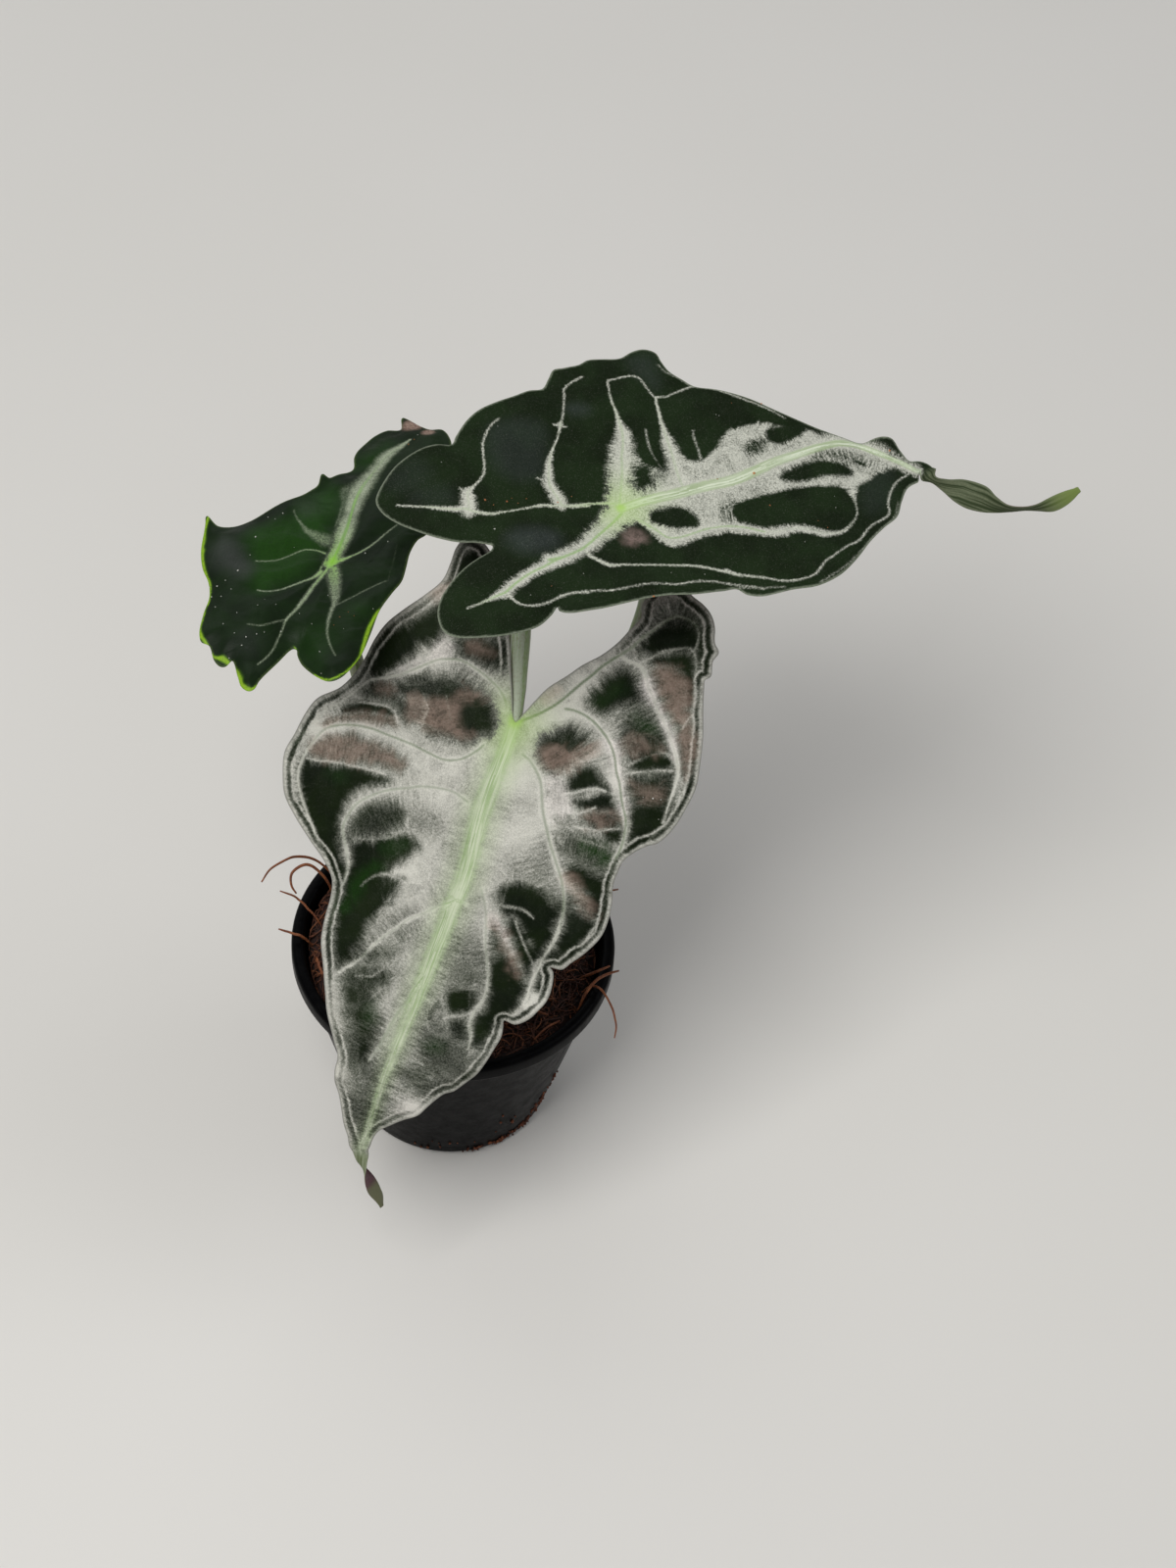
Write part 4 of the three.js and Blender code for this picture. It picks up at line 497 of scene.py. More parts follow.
            ([(17.84,-37.84),(15.86,-35.33),(14.32,-31.6),(13.88,-28.53),(13.78,-24.98),(14.37,-21.89),(15.4,-19.01),(16.52,-18.24),(17.08,-21.62),(18.42,-26.15),(19.6,-30.74),(20.67,-34.63),(20.72,-37.13),(19.25,-37.86)], 0.7, 0.9),
            ([(-26.51,-22.41),(-29.03,-20.64),(-30.09,-18.73),(-29.43,-16.39),(-26.79,-17.51),(-24.5,-19.73),(-22.25,-20.81),(-23.19,-22.31)], 1, 0.7),
        ],
        "pink_tint_and_sheen": [
            ([(17.84,-37.84),(15.86,-35.33),(14.32,-31.6),(13.88,-28.53),(13.78,-24.98),(14.37,-21.89),(15.4,-19.01),(16.52,-18.24),(17.08,-21.62),(18.42,-26.15),(19.6,-30.74),(20.67,-34.63),(20.72,-37.13),(19.25,-37.86)], 1),
            ([(2.92,-22.52),(1.16,-17.77),(-0.64,-14.57),(-2.61,-13.15),(-3.34,-9.99),(-2.49,-7.11),(-1.51,-8.67),(-0.51,-10.87),(0.82,-11.67),(3.18,-11.23),(4.82,-9.98),(5.69,-7.73),(6.75,-9.49),(7.45,-15.45),(6.76,-20.45)], 1),
            ([(14.05,-36.63),(11.53,-34.86),(9.78,-32.06),(8.39,-28.32),(7.88,-25),(8.52,-23.21),(10,-26.15),(11.21,-30.36),(12.61,-33.7)], 1),
            ([(3.27,-29.09),(2.28,-27.5),(2.6,-25.42),(3.91,-24.93),(4.57,-26.63)], 1),
            ([(-11.71,-14.94),(-12.59,-11.44),(-11.55,-9.14),(-10.06,-11.26),(-10.19,-13.99)], 0.7),
            ([(-18.44,-26.28),(-21.73,-23.3),(-22.7,-20.59),(-19.04,-21.51),(-17.1,-23.84)], 1),
            ([(3.99,6.57),(2.06,8.9),(1.56,12.52),(0.2,14.29),(-1.39,16.75),(0.38,18.15),(2.4,16.61),(5.55,13.97),(6.71,10.6),(6.2,7.76)], 1),
            ([(-18.83,23.25),(-20.62,25.25),(-20.77,27.86),(-18.64,30.53),(-13.34,32.83),(-9.75,33.02),(-10.31,30.16),(-13.63,26.67)], 1),
            ([(-9.43,32),(-10.83,34.14),(-7.11,36.1),(-3.85,37.31),(-0.7,36.75),(-4.32,34.28)], 1),
            ([(-0.55,23.12),(-5.66,22.77),(-5.23,25.96),(-4.81,29.15),(-3.72,30.31),(-2.02,26.38)], 0.6),
            ([(3.89,25.5),(3.18,29.8),(3.02,33.55),(5.8,33.04),(6.3,29.42),(5.77,26.57)], 0.7),
            ([(13.2,19.68),(11.47,22.93),(11.78,26.92),(13.46,26.12),(14.96,21.73)], 0.8),
            ([(25.49,19.87),(26.44,22.32),(28.05,25),(30.08,27.48),(32.45,28.7),(32.54,27.33),(30.25,24.74),(28.45,21.63)], 1),
            ([(39.12,8.71),(40.19,11.53),(43.27,14.65),(46.5,17.4),(49.18,18.14),(47.5,15.72),(43.66,12.34),(41.34,9.49)], 0.9),
            ([(-5.61,3.05),(-8.74,4.56),(-9.88,6.8),(-7.44,6.18),(-5.3,4.3)], 0.9),
        ],
        "vivid": [
            ([(38.88,-18.9),(36.83,-17.44),(36.98,-15.95),(39.64,-17.18),(42.34,-18.43),(45.35,-19.56),(48.19,-20.36),(48.44,-21),(45.57,-20.95),(41.92,-20.04)], 1),
            ([(43.11,-19.57),(42.65,-18.47),(45.81,-19.03),(48.42,-19.36),(49.22,-20.33),(46.42,-20.51)], 0.9),
            ([(18.74,20.97),(17.73,23.43),(17.97,26.33),(19.29,27.69),(21.43,27.21),(21.05,24.62),(20.1,22.17)], 1),
            ([(-9.2,22.23),(-9.44,25.18),(-8.12,27.94),(-6.79,26.15),(-7.32,23.3)], 0.7),
            ([(21.91,-32.75),(20.99,-30.23),(22.93,-28.81),(24.17,-31.22)], 0.5),
            ([(68.28,4.4),(67.05,7.69),(69.63,8.97),(70.72,6.04)], 0.6),
            ([(65.17,-9.03),(64.46,-7.2),(68.29,-5.91),(70.08,-8.23)], 0.6),
            ([(-8.87,12.49),(-11.34,15.37),(-14.24,17.34),(-14.04,18.93),(-10.48,17.21),(-7.68,14.44)], 0.35),
            ([(33.41,-17.91),(30.25,-13.31),(31.27,-12.24),(34.59,-15.35)], 0.5),
        ],
        "painted_highlight": [
            ([(-9.64,-20.69),(-10.95,-18.11),(-9.34,-16.36),(-7.29,-17.9),(-4.82,-21.6),(-2.75,-23.14),(-0.48,-26.18),(-2.9,-24.75),(-5.81,-21.96)], 0.8),
            ([(-16.27,21.15),(-17.06,23.52),(-14.08,25.75),(-10.65,28.9),(-7.36,32.39),(-4.2,33.94),(-3.86,32.93),(-7.9,29.53),(-11.21,26.04),(-13.07,22.7)], 1),
            ([(-2.74,18.53),(-2.87,21.13),(0.89,23.27),(4,25.16),(6.44,26.81),(10.32,28.61),(10.45,27.13),(7.13,24.78),(3.58,21.97),(0.47,20.08)], 0.9),
            ([(7.8,9.98),(7.96,13.56),(10.85,15.31),(14.06,17.18),(16.05,16.49),(15.67,13.53),(12.36,10.93)], 0.8),
            ([(38.75,8.58),(39.21,10.78),(41.9,13.76),(44.5,15.9),(43.89,14.05),(41.93,11.33)], 0.8),
            ([(83.09,3.55),(81.48,6.37),(82.45,8.36),(85.29,5.93),(86.18,3.72)], 0.5),
        ],
        "painted_sheen": [
        ],
        "lime": [
        ],
        "tone": [(10.44, 2.53, 5, 0.28), (21.18, 8.11, 6, 0.26), (28.77, 10.83, 5, 0.2), (32.43, 15.74, 4, -0.05), (15.39, 15.59, 5, 0.06), (39.06, -8.62, 6, 0.04), (-1.99, 9.28, 4, 0.45), (-10.27, 11.54, 3, 0.35), (5.66, 22.47, 2.5, 0.4), (31.42, -13.04, 3.5, 0.35), (35.48, -20.26, 2.5, 0.2), (39.9, -13.72, 3, 0.25), (15.56, -37.33, 3, 0.35), (11.57, -28.21, 4, 0.25), (-1.02, -20.95, 5, 0.3), (15.55, -11.64, 4, 0.18), (44.48, -15.37, 2.5, 0.2), (48.09, 4.18, 3, 0.1), (81.65, -10.44, 1.6, 0.5), (83.64, 7.41, 2.2, 0.45), (80.71, 9.49, 1.6, 0.3), (-10.12, -13.16, 4, -0.4), (0.65, -10.02, 4, -0.3), (33.5, -25.28, 2.5, -0.45), (41.51, -23.03, 2.5, -0.3), (56.22, -13.45, 3, -0.45), (19.28, 18.48, 4, -0.5), (22.18, 23.77, 3.5, -0.4), (32.38, 22.1, 3, -0.6), (30.8, 26.85, 3, -0.4), (23.85, 28.59, 2, -0.4), (-3.29, 27.28, 3, -0.4), (-10.4, 23.61, 4, -0.35), (7.86, 31.37, 4, -0.3), (6.57, 35.15, 3, -0.4), (66.07, 4.97, 5, -0.25), (68.96, 12.4, 5, -0.35), (74.28, 14.11, 5, -0.3), (66.71, 18.13, 3, -0.3), (78.93, -4.79, 5, -0.35), (86.4, -3.01, 5, -0.28), (78.9, 18.91, 6, -0.2), (76.59, 27.82, 5, -0.25), (43.32, 20.2, 2.6, -0.4), (37.09, -13.19, 3, 0.45), (91.18, -0.17, 6, -0.4), (53.67, 23.26, 2, 0.7), (12.93, -34.19, 2.5, 0.3), (16.2, -36.23, 2.5, 0.3), (76.9, 6.45, 4, -0.25), (47.05, 11.3, 3, -0.3), (51.62, 13.95, 4, -0.25), (57.39, 4.17, 4, -0.12), (74.93, -11.09, 3, -0.3), (31.76, -34.98, 2, -0.2), (-19.75, 29.75, 4, -0.4), (81.18, 1.37, 6, -0.1), (-28.32, 24.45, 7, -0.4), (-29.94, 29.19, 6, -0.35), (-25.84, 16.87, 5, -0.2), (14.85, 26.45, 2.5, -0.4), (13.18, 31.18, 3, -0.3), (-2.12, 28.13, 3, -0.3), (10.11, 3.48, 4, 0.12), (4.51, -38.48, 7, -0.2), (13.94, -41.43, 6, -0.15), (-23.26, -14.21, 6, -0.2)],
        "dried": [],
        "dust": [(10.32, -22.38, 0.16, 2), (8.94, -16.09, 0.34, 2), (5.25, 31.68, 0.3, 1), (5.11, 33.34, 0.24, 1), (5.65, 29.91, 0.18, 1), (9.12, 34.39, 0.2, 1), (9.6, 10.95, 0.12, 0), (5.09, 15.47, 0.1, 0)],
    },
    "leaf_top": {
        "hills": [(-3.52, 35.18, 0.8, 4), (-7.77, 30.71, -0.9, 4), (14.4, 37.87, 1.3, 5), (9.52, 36.17, -0.6, 4), (20.87, 27.95, -0.7, 5), (-29.3, 21.31, -1.1, 4), (-43.66, 16.41, -1, 8), (-32.84, 19.96, 0.9, 5), (59.37, 10.44, 2.2, 3.6), (55.76, 9.26, -0.9, 4), (63.84, 4.42, 1.1, 2.6), (14.61, -24.55, -0.8, 5), (-19.07, -23.68, -1.1, 4), (18.14, -24.35, -1, 4), (-27.83, -5.35, -0.9, 4), (-37.12, -24.77, 0.6, 8), (-19.63, -5.51, 0.9, 8), (37.82, -24.31, 0.6, 6), (53.46, -11.68, -0.6, 6)],
        "outline": [(-48.21,9.61),(-45.63,14.13),(-42.06,17.75),(-37.71,19.73),(-34.07,20.1),(-30.58,19.98),(-29,22.26),(-26.12,25.37),(-22.99,27.51),(-18.97,28.92),(-15.02,29.91),(-11.81,30.99),(-8.72,31.46),(-7.06,33.44),(-5.7,35.11),(-3.65,35.12),(-0.28,35.79),(2.18,37.02),(5.34,36.95),(9.06,36.67),(11.44,37.36),(13.84,37.28),(16.27,35.99),(16.92,34.13),(18.1,31.81),(20.56,29.53),(22.75,27.41),(27.09,25.71),(33.07,22.64),(37.55,19.4),(42.06,16.24),(45.9,13.69),(50.66,11.2),(54.47,9.71),(57.09,9.88),(58.96,9.55),(60.78,8.84),(61.87,6.66),(63.18,3.74),(65.02,3.94),(67.01,3.35),(67.33,1.27),(67.67,-0.5),(64.15,1.11),(61.5,-1.91),(58.79,-5.48),(56.46,-9.44),(52.88,-11.94),(48.61,-15.57),(44.15,-20.04),(38.99,-24.14),(34.13,-25.89),(28.99,-25.97),(22.32,-26.48),(19.92,-25.34),(18.11,-23.29),(14.77,-23.4),(8.92,-23.95),(3.36,-23.41),(-0.89,-23.44),(-5.51,-24.04),(-11.12,-24.68),(-16.34,-24.36),(-18.58,-23.21),(-18.76,-22.27),(-20.65,-24.2),(-24.03,-26.91),(-28.86,-27.93),(-35,-27.95),(-40.41,-26.87),(-42.48,-24.93),(-42.71,-20.9),(-41.23,-17.14),(-38.65,-13.78),(-35.04,-10.32),(-31.46,-7.98),(-28.08,-5.89),(-27.64,-4.92),(-29.98,-3.78),(-34.24,-3),(-37.81,-1.25),(-41.63,1.24),(-45.06,3.79),(-47.46,6.59)],
        "veins": [
            ("mid", [(0.1,-0.3,2.06),(3.3,0.5,2.45),(6.5,1,2.68),(12,1.6,2.83),(18,2.5,2.91),(24,3.1,2.83),(32,5.6,2.68)], 1, 1.28, 0.5, 1),
            ("mid2", [(31.7,5.6,2.66),(34,6.4,2.46),(39.5,7.8,2.37),(45.1,9.1,2.17),(49.4,9.7,1.99),(53.6,9,1.88),(57,6.7,1.61),(60.5,4.3,1.32),(64,1.6,1.03),(66.7,-0.3,0.8),(67.8,-1,0.47)], 1, 1.08, 0.5, 1),
            ("LLa", [(-6.4,1.5,0.56),(-10.9,1.9,0.56),(-14.8,2.6,0.52),(-16.4,2.7,0.61),(-18.9,2.5,0.35),(-22.9,2.4,0.43),(-26.1,2.4,0.59),(-28.3,3,0.59),(-29.8,3.7,0.71),(-31.2,4.5,0.88),(-33.1,4.7,0.75),(-35.4,5.3,0.67),(-38,6.1,0.59),(-40.2,6.7,0.38),(-42.4,7.3,0.21),(-44.4,7.9,0.09)], 0.5, 0.18, 0.8, 1),
            ("LLa2", [(-14.4,2.4,0.57),(-10,2.1,0.49),(-6.9,2,0.48),(-3.2,1.7,0.57),(-1,1.4,0.89)], 0.5, 0.18, 0.8, 1),
            ("A", [(-30.5,4,1.46),(-30.2,6.1,1.34),(-30,7.9,1.17),(-28.6,9.2,0.59),(-27.1,10.4,0.38),(-26,11.6,0.42),(-25.3,13.6,0.34),(-24.9,16.4,0.35),(-24.3,19.2,0.35),(-23,21.6,0.26),(-21.4,23.5,0.22),(-19.7,24.6,0.09)], 0.2, 0.16, 0.9, 1),
            ("Asp", [(-29.9,8.3,0.59),(-30.7,8.7,0.33),(-31.4,9.1,0.08)], 0, 0, 1, 1),
            ("B", [(-11.8,2.4,1.13),(-12.5,4.8,1.2),(-13.2,7.2,1.11),(-12.9,9.5,0.94),(-12.3,11.7,0.81),(-11.5,13.9,0.69),(-10.3,16.1,0.48),(-8.9,18.3,0.35),(-8,20.4,0.48),(-7.7,21.2,0.79),(-7,22.5,0.27),(-5.8,25.9,0.18),(-4.8,29.2,0.18),(-4.6,30.2,0.34),(-4,31,0.13),(-2.2,31.8,0.13),(-0.3,32.6,0.09)], 0.3, 0.18, 0.9, 1),
            ("Bsp", [(-13.5,8.4,0.68),(-14.6,8.7,0.34),(-15.5,9.1,0.09)], 0, 0, 1, 1),
            ("Bnode", [(-9,21.5,0.13),(-8.5,21.2,0.35),(-7.8,21,0.53),(-7.1,20.7,0.35),(-6.6,20.5,0.09)], 0, 0, 1, 1),
            ("C", [(0,0.9,2.27),(0.7,3,2.22),(1.6,5.8,2.38),(2.5,9.1,2.47),(3,11.7,2.25),(4.1,15,1.78),(4.6,17.6,1.3),(4.6,20.3,0.74),(4.5,23.1,0.54),(4.3,25.5,0.37),(4.4,27.8,0.29),(4.7,30.6,0.26),(4.7,31,0.34),(5,31,0.21),(7.1,31.3,0.17),(9.5,31.6,0.21),(11.2,30.9,0.21),(12.2,28.6,0.13),(13.2,25.6,0.21)], 0.35, 0.24, 1, 1),
            ("D", [(13.9,3.1,2.81),(13.6,5.8,2.24),(13.5,8.4,1.69),(13.5,11,1.37),(13.4,13.7,1.22),(13.3,16.3,0.82),(13.2,19.1,0.62),(13.3,21.8,0.54),(13.4,24.1,0.51),(13.6,25.3,0.51),(15.6,25.2,0.26),(18.2,26.2,0.27),(20.1,26.9,0.22),(21.6,27.4,0.21),(23.3,27.5,0.21),(25.4,26.5,0.21),(27.4,25.4,0.21),(30.7,23.3,0.21),(35.8,20,0.21)], 0.25, 0.22, 0.9, 1),
            ("Dm", [(29.8,23.7,0.22),(33.8,21.4,0.22),(37.3,18.8,0.22),(39.3,16.8,0.16)], 0, 0, 0.3, 0.8),
            ("Dm2", [(16.1,33.2,0.12),(17.2,31.5,0.16),(19.4,30.4,0.17),(21.6,28.2,0.21)], 0, 0, 0.3, 0.7),
            ("s1", [(9.4,17.4,0.12),(9.2,16,0.29),(9.1,14.5,0.2),(9.2,12.1,0.12),(10,8.9,0.2),(10.5,7.7,0.16)], 0, 0, 0.6, 0.8),
            ("s2", [(19.1,15.8,0.12),(18.8,14.7,0.25),(18.9,12.9,0.16),(19,11.1,0.2),(19,8.9,0.24)], 0, 0, 0.6, 0.8),
            ("Lt", [(2.2,-2.6,0.51),(4.1,-5.2,0.85),(5.8,-7.2,1.19),(7.1,-9.1,1.52),(8.9,-9.6,1.78),(12,-9.2,1.44),(15.3,-8.4,1.54),(18.8,-8.2,1.2),(22.5,-8.8,1.2),(27.2,-10.9,1.12)], 0.6, 0.22, 0.9, 1),
            ("Lt2", [(27.2,-10.9,1.12),(30.5,-11.1,1.35),(33.6,-10.7,1.02),(36.5,-11.4,1.02),(40.1,-12.9,0.91),(43.2,-12.8,0.69),(45.9,-10.9,0.58),(48,-8.3,0.46),(48.6,-5.1,0.52),(48.6,-2.5,0.92)], 0.1, 0.16, 0.9, 1),
            ("Lo", [(-0.2,-1.4,2.71),(-3.6,-4.3,2.14),(-6.5,-6.5,1.88),(-9.4,-8.8,1.69),(-12.1,-10.2,1.51),(-15,-11.2,1.32),(-18.1,-11.6,1.21)], 0.8, 0.28, 0.8, 1),
            ("Lo2", [(-14.3,-11.1,1.5),(-17,-12,1.3),(-19.6,-13.1,1.16),(-22.2,-14.1,1.07),(-24.5,-15.2,1.12),(-26.8,-16.7,1.21),(-28.3,-17.9,1.18),(-30.4,-18.6,0.88),(-32.6,-19.4,0.57),(-34.7,-20.1,0.31),(-36.8,-20.6,0.13)], 0.8, 0.24, 0.8, 1),
            ("Lb1", [(-10.3,-10,0.59),(-9.1,-11.9,0.63),(-7.6,-13.3,0.63),(-6.4,-14.4,0.67),(-3.8,-14.7,0.5),(-0.2,-15.2,0.46),(5.2,-16.2,0.46),(9.8,-17.1,0.5),(13.3,-18.2,0.52),(16.1,-19.3,0.5),(19.2,-20.6,0.49),(23.9,-22.4,0.36)], 0.25, 0.18, 0.6, 1),
            ("Lb1b", [(16.6,-19,0.51),(19.3,-20.5,0.44),(21.9,-21.6,0.46),(24.9,-22.9,0.43),(27.9,-23.9,0.38),(31.1,-24,0.32),(34.3,-23.2,0.32),(37.2,-20.4,0.34),(39.8,-18.8,0.29),(43,-16.8,0.4),(46,-15.5,0.29),(50.2,-11.5,0.35),(55,-8.8,0.34),(55.5,-6.4,0.34),(57,-3.3,0.35),(59.2,-0.6,0.29),(62.1,1.1,0.16)], 0, 0, 0.5, 0.95),
            ("Lb2", [(-28.3,-17.9,0.87),(-27.6,-20,0.56),(-26.4,-21.7,0.43),(-24.6,-22.3,0.35),(-22.1,-21.9,0.34),(-19.1,-20.9,0.32),(-16.7,-20.4,0.32),(-12.3,-20.9,0.3)], 0.1, 0.16, 0.6, 1),
            ("Lb2b", [(-17.9,-20.4,0.26),(-14.7,-20.5,0.27),(-10.7,-20.8,0.28),(-7,-21,0.29),(-3.6,-20.7,0.25),(0.7,-20.4,0.2),(5.6,-21.4,0.16),(10.6,-21.2,0.16),(14.7,-21.6,0.16),(18.7,-22.7,0.15),(23.1,-25.1,0.16)], 0, 0, 0.4, 0.8),
            ("Lb2c", [(18.7,-23.1,0.15),(22.1,-24.6,0.15),(27.2,-25.3,0.16)], 0, 0, 0.3, 0.6),
            ("mg", [(34.6,-25.4,0.16),(39.4,-23,0.17),(44.9,-18.9,0.17),(50,-14.3,0.18),(54.2,-11.2,0.17),(56.3,-9,0.17),(57.9,-5.9,0.17)], 0, 0, 0.3, 0.55),
            ("tipu", [(55.2,9.3,0.15),(57.7,7.5,0.24),(59.5,6.3,0.29),(61.2,5.1,0.25),(63.2,2.8,0.24),(65.6,1.3,0.22)], 0, 0, 0.3, 0.9),
        ],
        "patches": [
            ([(-1.34,1.49),(-0.62,5.29),(0.55,9.44),(0.96,11.98),(2.76,15.23),(5.53,17.48),(5.97,12.97),(7.2,10.16),(8.38,8.68),(11.14,7.42),(12.41,10.28),(14.92,13.45),(16.22,9.32),(18.68,8.34),(21.94,10.54),(24.1,12.92),(26.81,14.37),(30.28,15.63),(34.64,15.73),(31.9,5.23),(19.99,2.77),(8.24,1.8),(4.2,0.87)], 1, 0.35),
            ([(25.69,14.01),(29.12,15.36),(32.85,15.83),(37.84,15.12),(40.72,14.24),(43.67,13.55),(47.04,12.49),(50.99,11.45),(53.83,9.96),(56.29,7.68),(59.39,5.86),(61.46,3.95),(64.09,1.95),(65.47,0.91),(63.89,1.07),(61.16,2.7),(58.57,2.67),(55.53,1.27),(52.61,0.3),(50.21,-0.72),(49.17,-3.21),(48.3,-1.82),(42.4,-0.7),(37.17,-0.93),(31.8,-1.74),(26.52,-2.33),(21.22,-3.13)], 1, 0.4),
            ([(1.39,-1.21),(6.56,1.17),(11.92,1.25),(32.01,5.65),(29.93,-2.01),(25.61,-2.16),(22.59,-3.23),(21.51,-5.59),(22.4,-7.75),(27.5,-10.01),(26.93,-11.92),(21.55,-10.62),(14.7,-10.53),(10.67,-11.34),(7.52,-11.78),(6.35,-10.58),(5.57,-7.96),(3.95,-5.66),(2.55,-3.89)], 1, 0.3),
            ([(21.44,-2.37),(24.57,-2.05),(23.34,-3.64),(22.53,-5.52),(23.41,-7.64),(26.03,-9.01),(27.54,-9.89),(26.97,-11.76),(22.87,-11.16),(19.21,-9.95)], 0.95, 0.3),
        ],
        "islands": [
            ([(5.22,8.29),(7.27,8.85),(7.43,6.66),(7.35,4.1),(5.4,3.44),(4.16,5.44)], 0.85, 0.7),
            ([(7.3,10.58),(10.37,10.57),(11.24,7.84),(9.35,6.38),(7.34,7.54)], 0.35, 0.9),
            ([(34.55,13.47),(37.65,14.43),(42.63,13.59),(41.31,12.55),(38.48,11.31),(35.75,10.78),(34.38,11.85)], 1, 0.35),
            ([(28.8,10.16),(31.73,11.56),(33.23,11.4),(31.65,9.26),(29.76,8.9)], 0.55, 0.5),
            ([(35.18,3.06),(38.64,4.41),(41.96,5.22),(45.06,5.16),(47.51,4.54),(48.82,3.57),(49.5,2.24),(47.36,2.08),(43.27,2.35),(39.96,1.63),(36.92,1.83),(35.04,2.5)], 1, 0.45),
            ([(51.33,5.02),(52.59,4.78),(53.59,3.69),(52.07,3.91)], 0.8, 0.3),
            ([(43.09,7.52),(46.73,7.47),(50.72,6.64),(54.24,4.07),(53.46,3.22),(49.36,5.55),(45.92,6.4),(42.79,6.4)], 0.45, 0.7),
            ([(59.43,6.05),(61.22,5),(62.38,3.69),(60.97,3.97),(59.67,4.88)], 0.8, 0.3),
            ([(5.44,-3.02),(7.22,-2.09),(10.28,-2.02),(12.63,-3.16),(14.04,-4.9),(14.4,-6.58),(11.92,-6.97),(9.69,-6.79),(7.07,-5.32),(5.82,-4.39)], 1, 0.4),
            ([(23.4,-3.45),(26.94,-2.65),(31.81,-1.68),(37.15,-0.99),(42.23,-1.25),(46.14,-2.06),(48.01,-3.56),(48.15,-6.4),(47.23,-8.94),(45.43,-10.78),(42.92,-12.13),(40.31,-12.23),(37.59,-11.11),(34.9,-9.91),(32.35,-9.9),(29.33,-9.81),(26.13,-8.7),(23.51,-7.32),(22.59,-5.32)], 1, 0.35),
            ([(20.46,-3.91),(22.74,-2.74),(21.22,-6.56),(20.04,-5.36)], 0.4, 0.8),
        ],
        "pink_tint_and_sheen": [
            ([(-1.64,-6.71),(0.39,-6.25),(2.27,-7.61),(2.17,-9.33),(0.06,-10.17),(-1.93,-9.16)], 1),
        ],
        "vivid": [
        ],
        "painted_highlight": [
        ],
        "painted_sheen": [
            ([(-24.83,-4.03),(-21.85,-2.93),(-18.01,-3.43),(-14.56,-5.7),(-15.23,-8.24),(-19.61,-9.67),(-23.34,-8.85)], 1),
            ([(-5.24,25.22),(-3.22,25.65),(-1.2,24.45),(-1.91,23.13),(-4.48,23.68)], 1),
            ([(-22.34,22.69),(-16.42,23.74),(-11.35,21.08),(-12.68,13.62),(-14.9,9.26),(-19.79,9.02),(-23.65,13.32)], 0.55),
            ([(10.5,35.6),(14.92,35.22),(15.71,31.79),(14.6,27.34),(11.51,30.54)], 0.6),
            ([(-45.67,14.06),(-42.61,17.29),(-38.55,18.03),(-36.31,13.74),(-38.56,10.54),(-44.01,10.79)], 0.35),
            ([(-40.9,10.61),(-33.29,9.4),(-33.19,6.17),(-41.51,7.82)], 0.4),
            ([(53.64,2.02),(58.95,2.17),(55.25,-6.34),(50.39,-8.46),(50.44,-3.33)], 0.45),
        ],
        "lime": [
        ],
        "tone": [],
        "dried": [],
        "dust": [(-27, 5.45, 0.42, 0), (-22.77, 4.69, 0.36, 0), (-18.79, 4.58, 0.26, 0), (-12.59, 3.04, 0.3, 0), (35.6, 21.23, 0.34, 0), (30.1, -4.49, 0.36, 0), (40.61, -11.29, 0.24, 0), (59.54, 6.65, 0.36, 0), (21.43, 3.88, 0.28, 0), (29.38, 4.39, 0.62, 0), (-26.46, -1.55, 0.34, 1), (0.35, -23.37, 0.4, 0), (-33.64, 15.44, 0.18, 1), (11.89, -19.87, 0.2, 1), (5.32, -18.45, 0.16, 1), (-12.17, -16.29, 0.14, 1), (-19.24, -18.09, 0.2, 0), (25.45, 18.79, 0.15, 1), (-20.49, 22.37, 0.14, 1), (-23.87, -19.83, 0.14, 1), (-32.68, -19.97, 0.16, 1), (43.79, -6.51, 0.14, 1), (39.21, -9.55, 0.18, 0), (44.4, -3.27, 0.14, 1), (34.39, -14.88, 0.14, 1), (28.74, 21.63, 0.16, 0), (33.22, 21.61, 0.16, 0), (24.9, 19.1, 0.14, 1), (-9.35, 3.97, 0.2, 0), (-20.58, 4.02, 0.16, 0), (-25.35, 4.35, 0.18, 0), (-21.49, 5.36, 0.14, 0)],
    },
    "leaf_left": {
        "hills": [(8.04, 30.38, 2, 4), (-9.34, 24.64, -1, 5), (-24.77, 20.18, 1.1, 4), (-31.05, 13.69, -0.8, 3.5), (-35.24, 6.56, 1.3, 5), (-24.09, 0.57, -1.5, 5), (17.74, 8.28, -1.6, 4), (12.5, 15.78, 1, 6), (25.01, 10.25, 0.9, 3), (28.14, 4.59, -1.2, 4), (40.19, 3.33, -1.2, 5), (-5.1, -14.28, 0.6, 6), (-29.28, -10.39, 0.8, 6), (0.05, 21.27, 1, 7)],
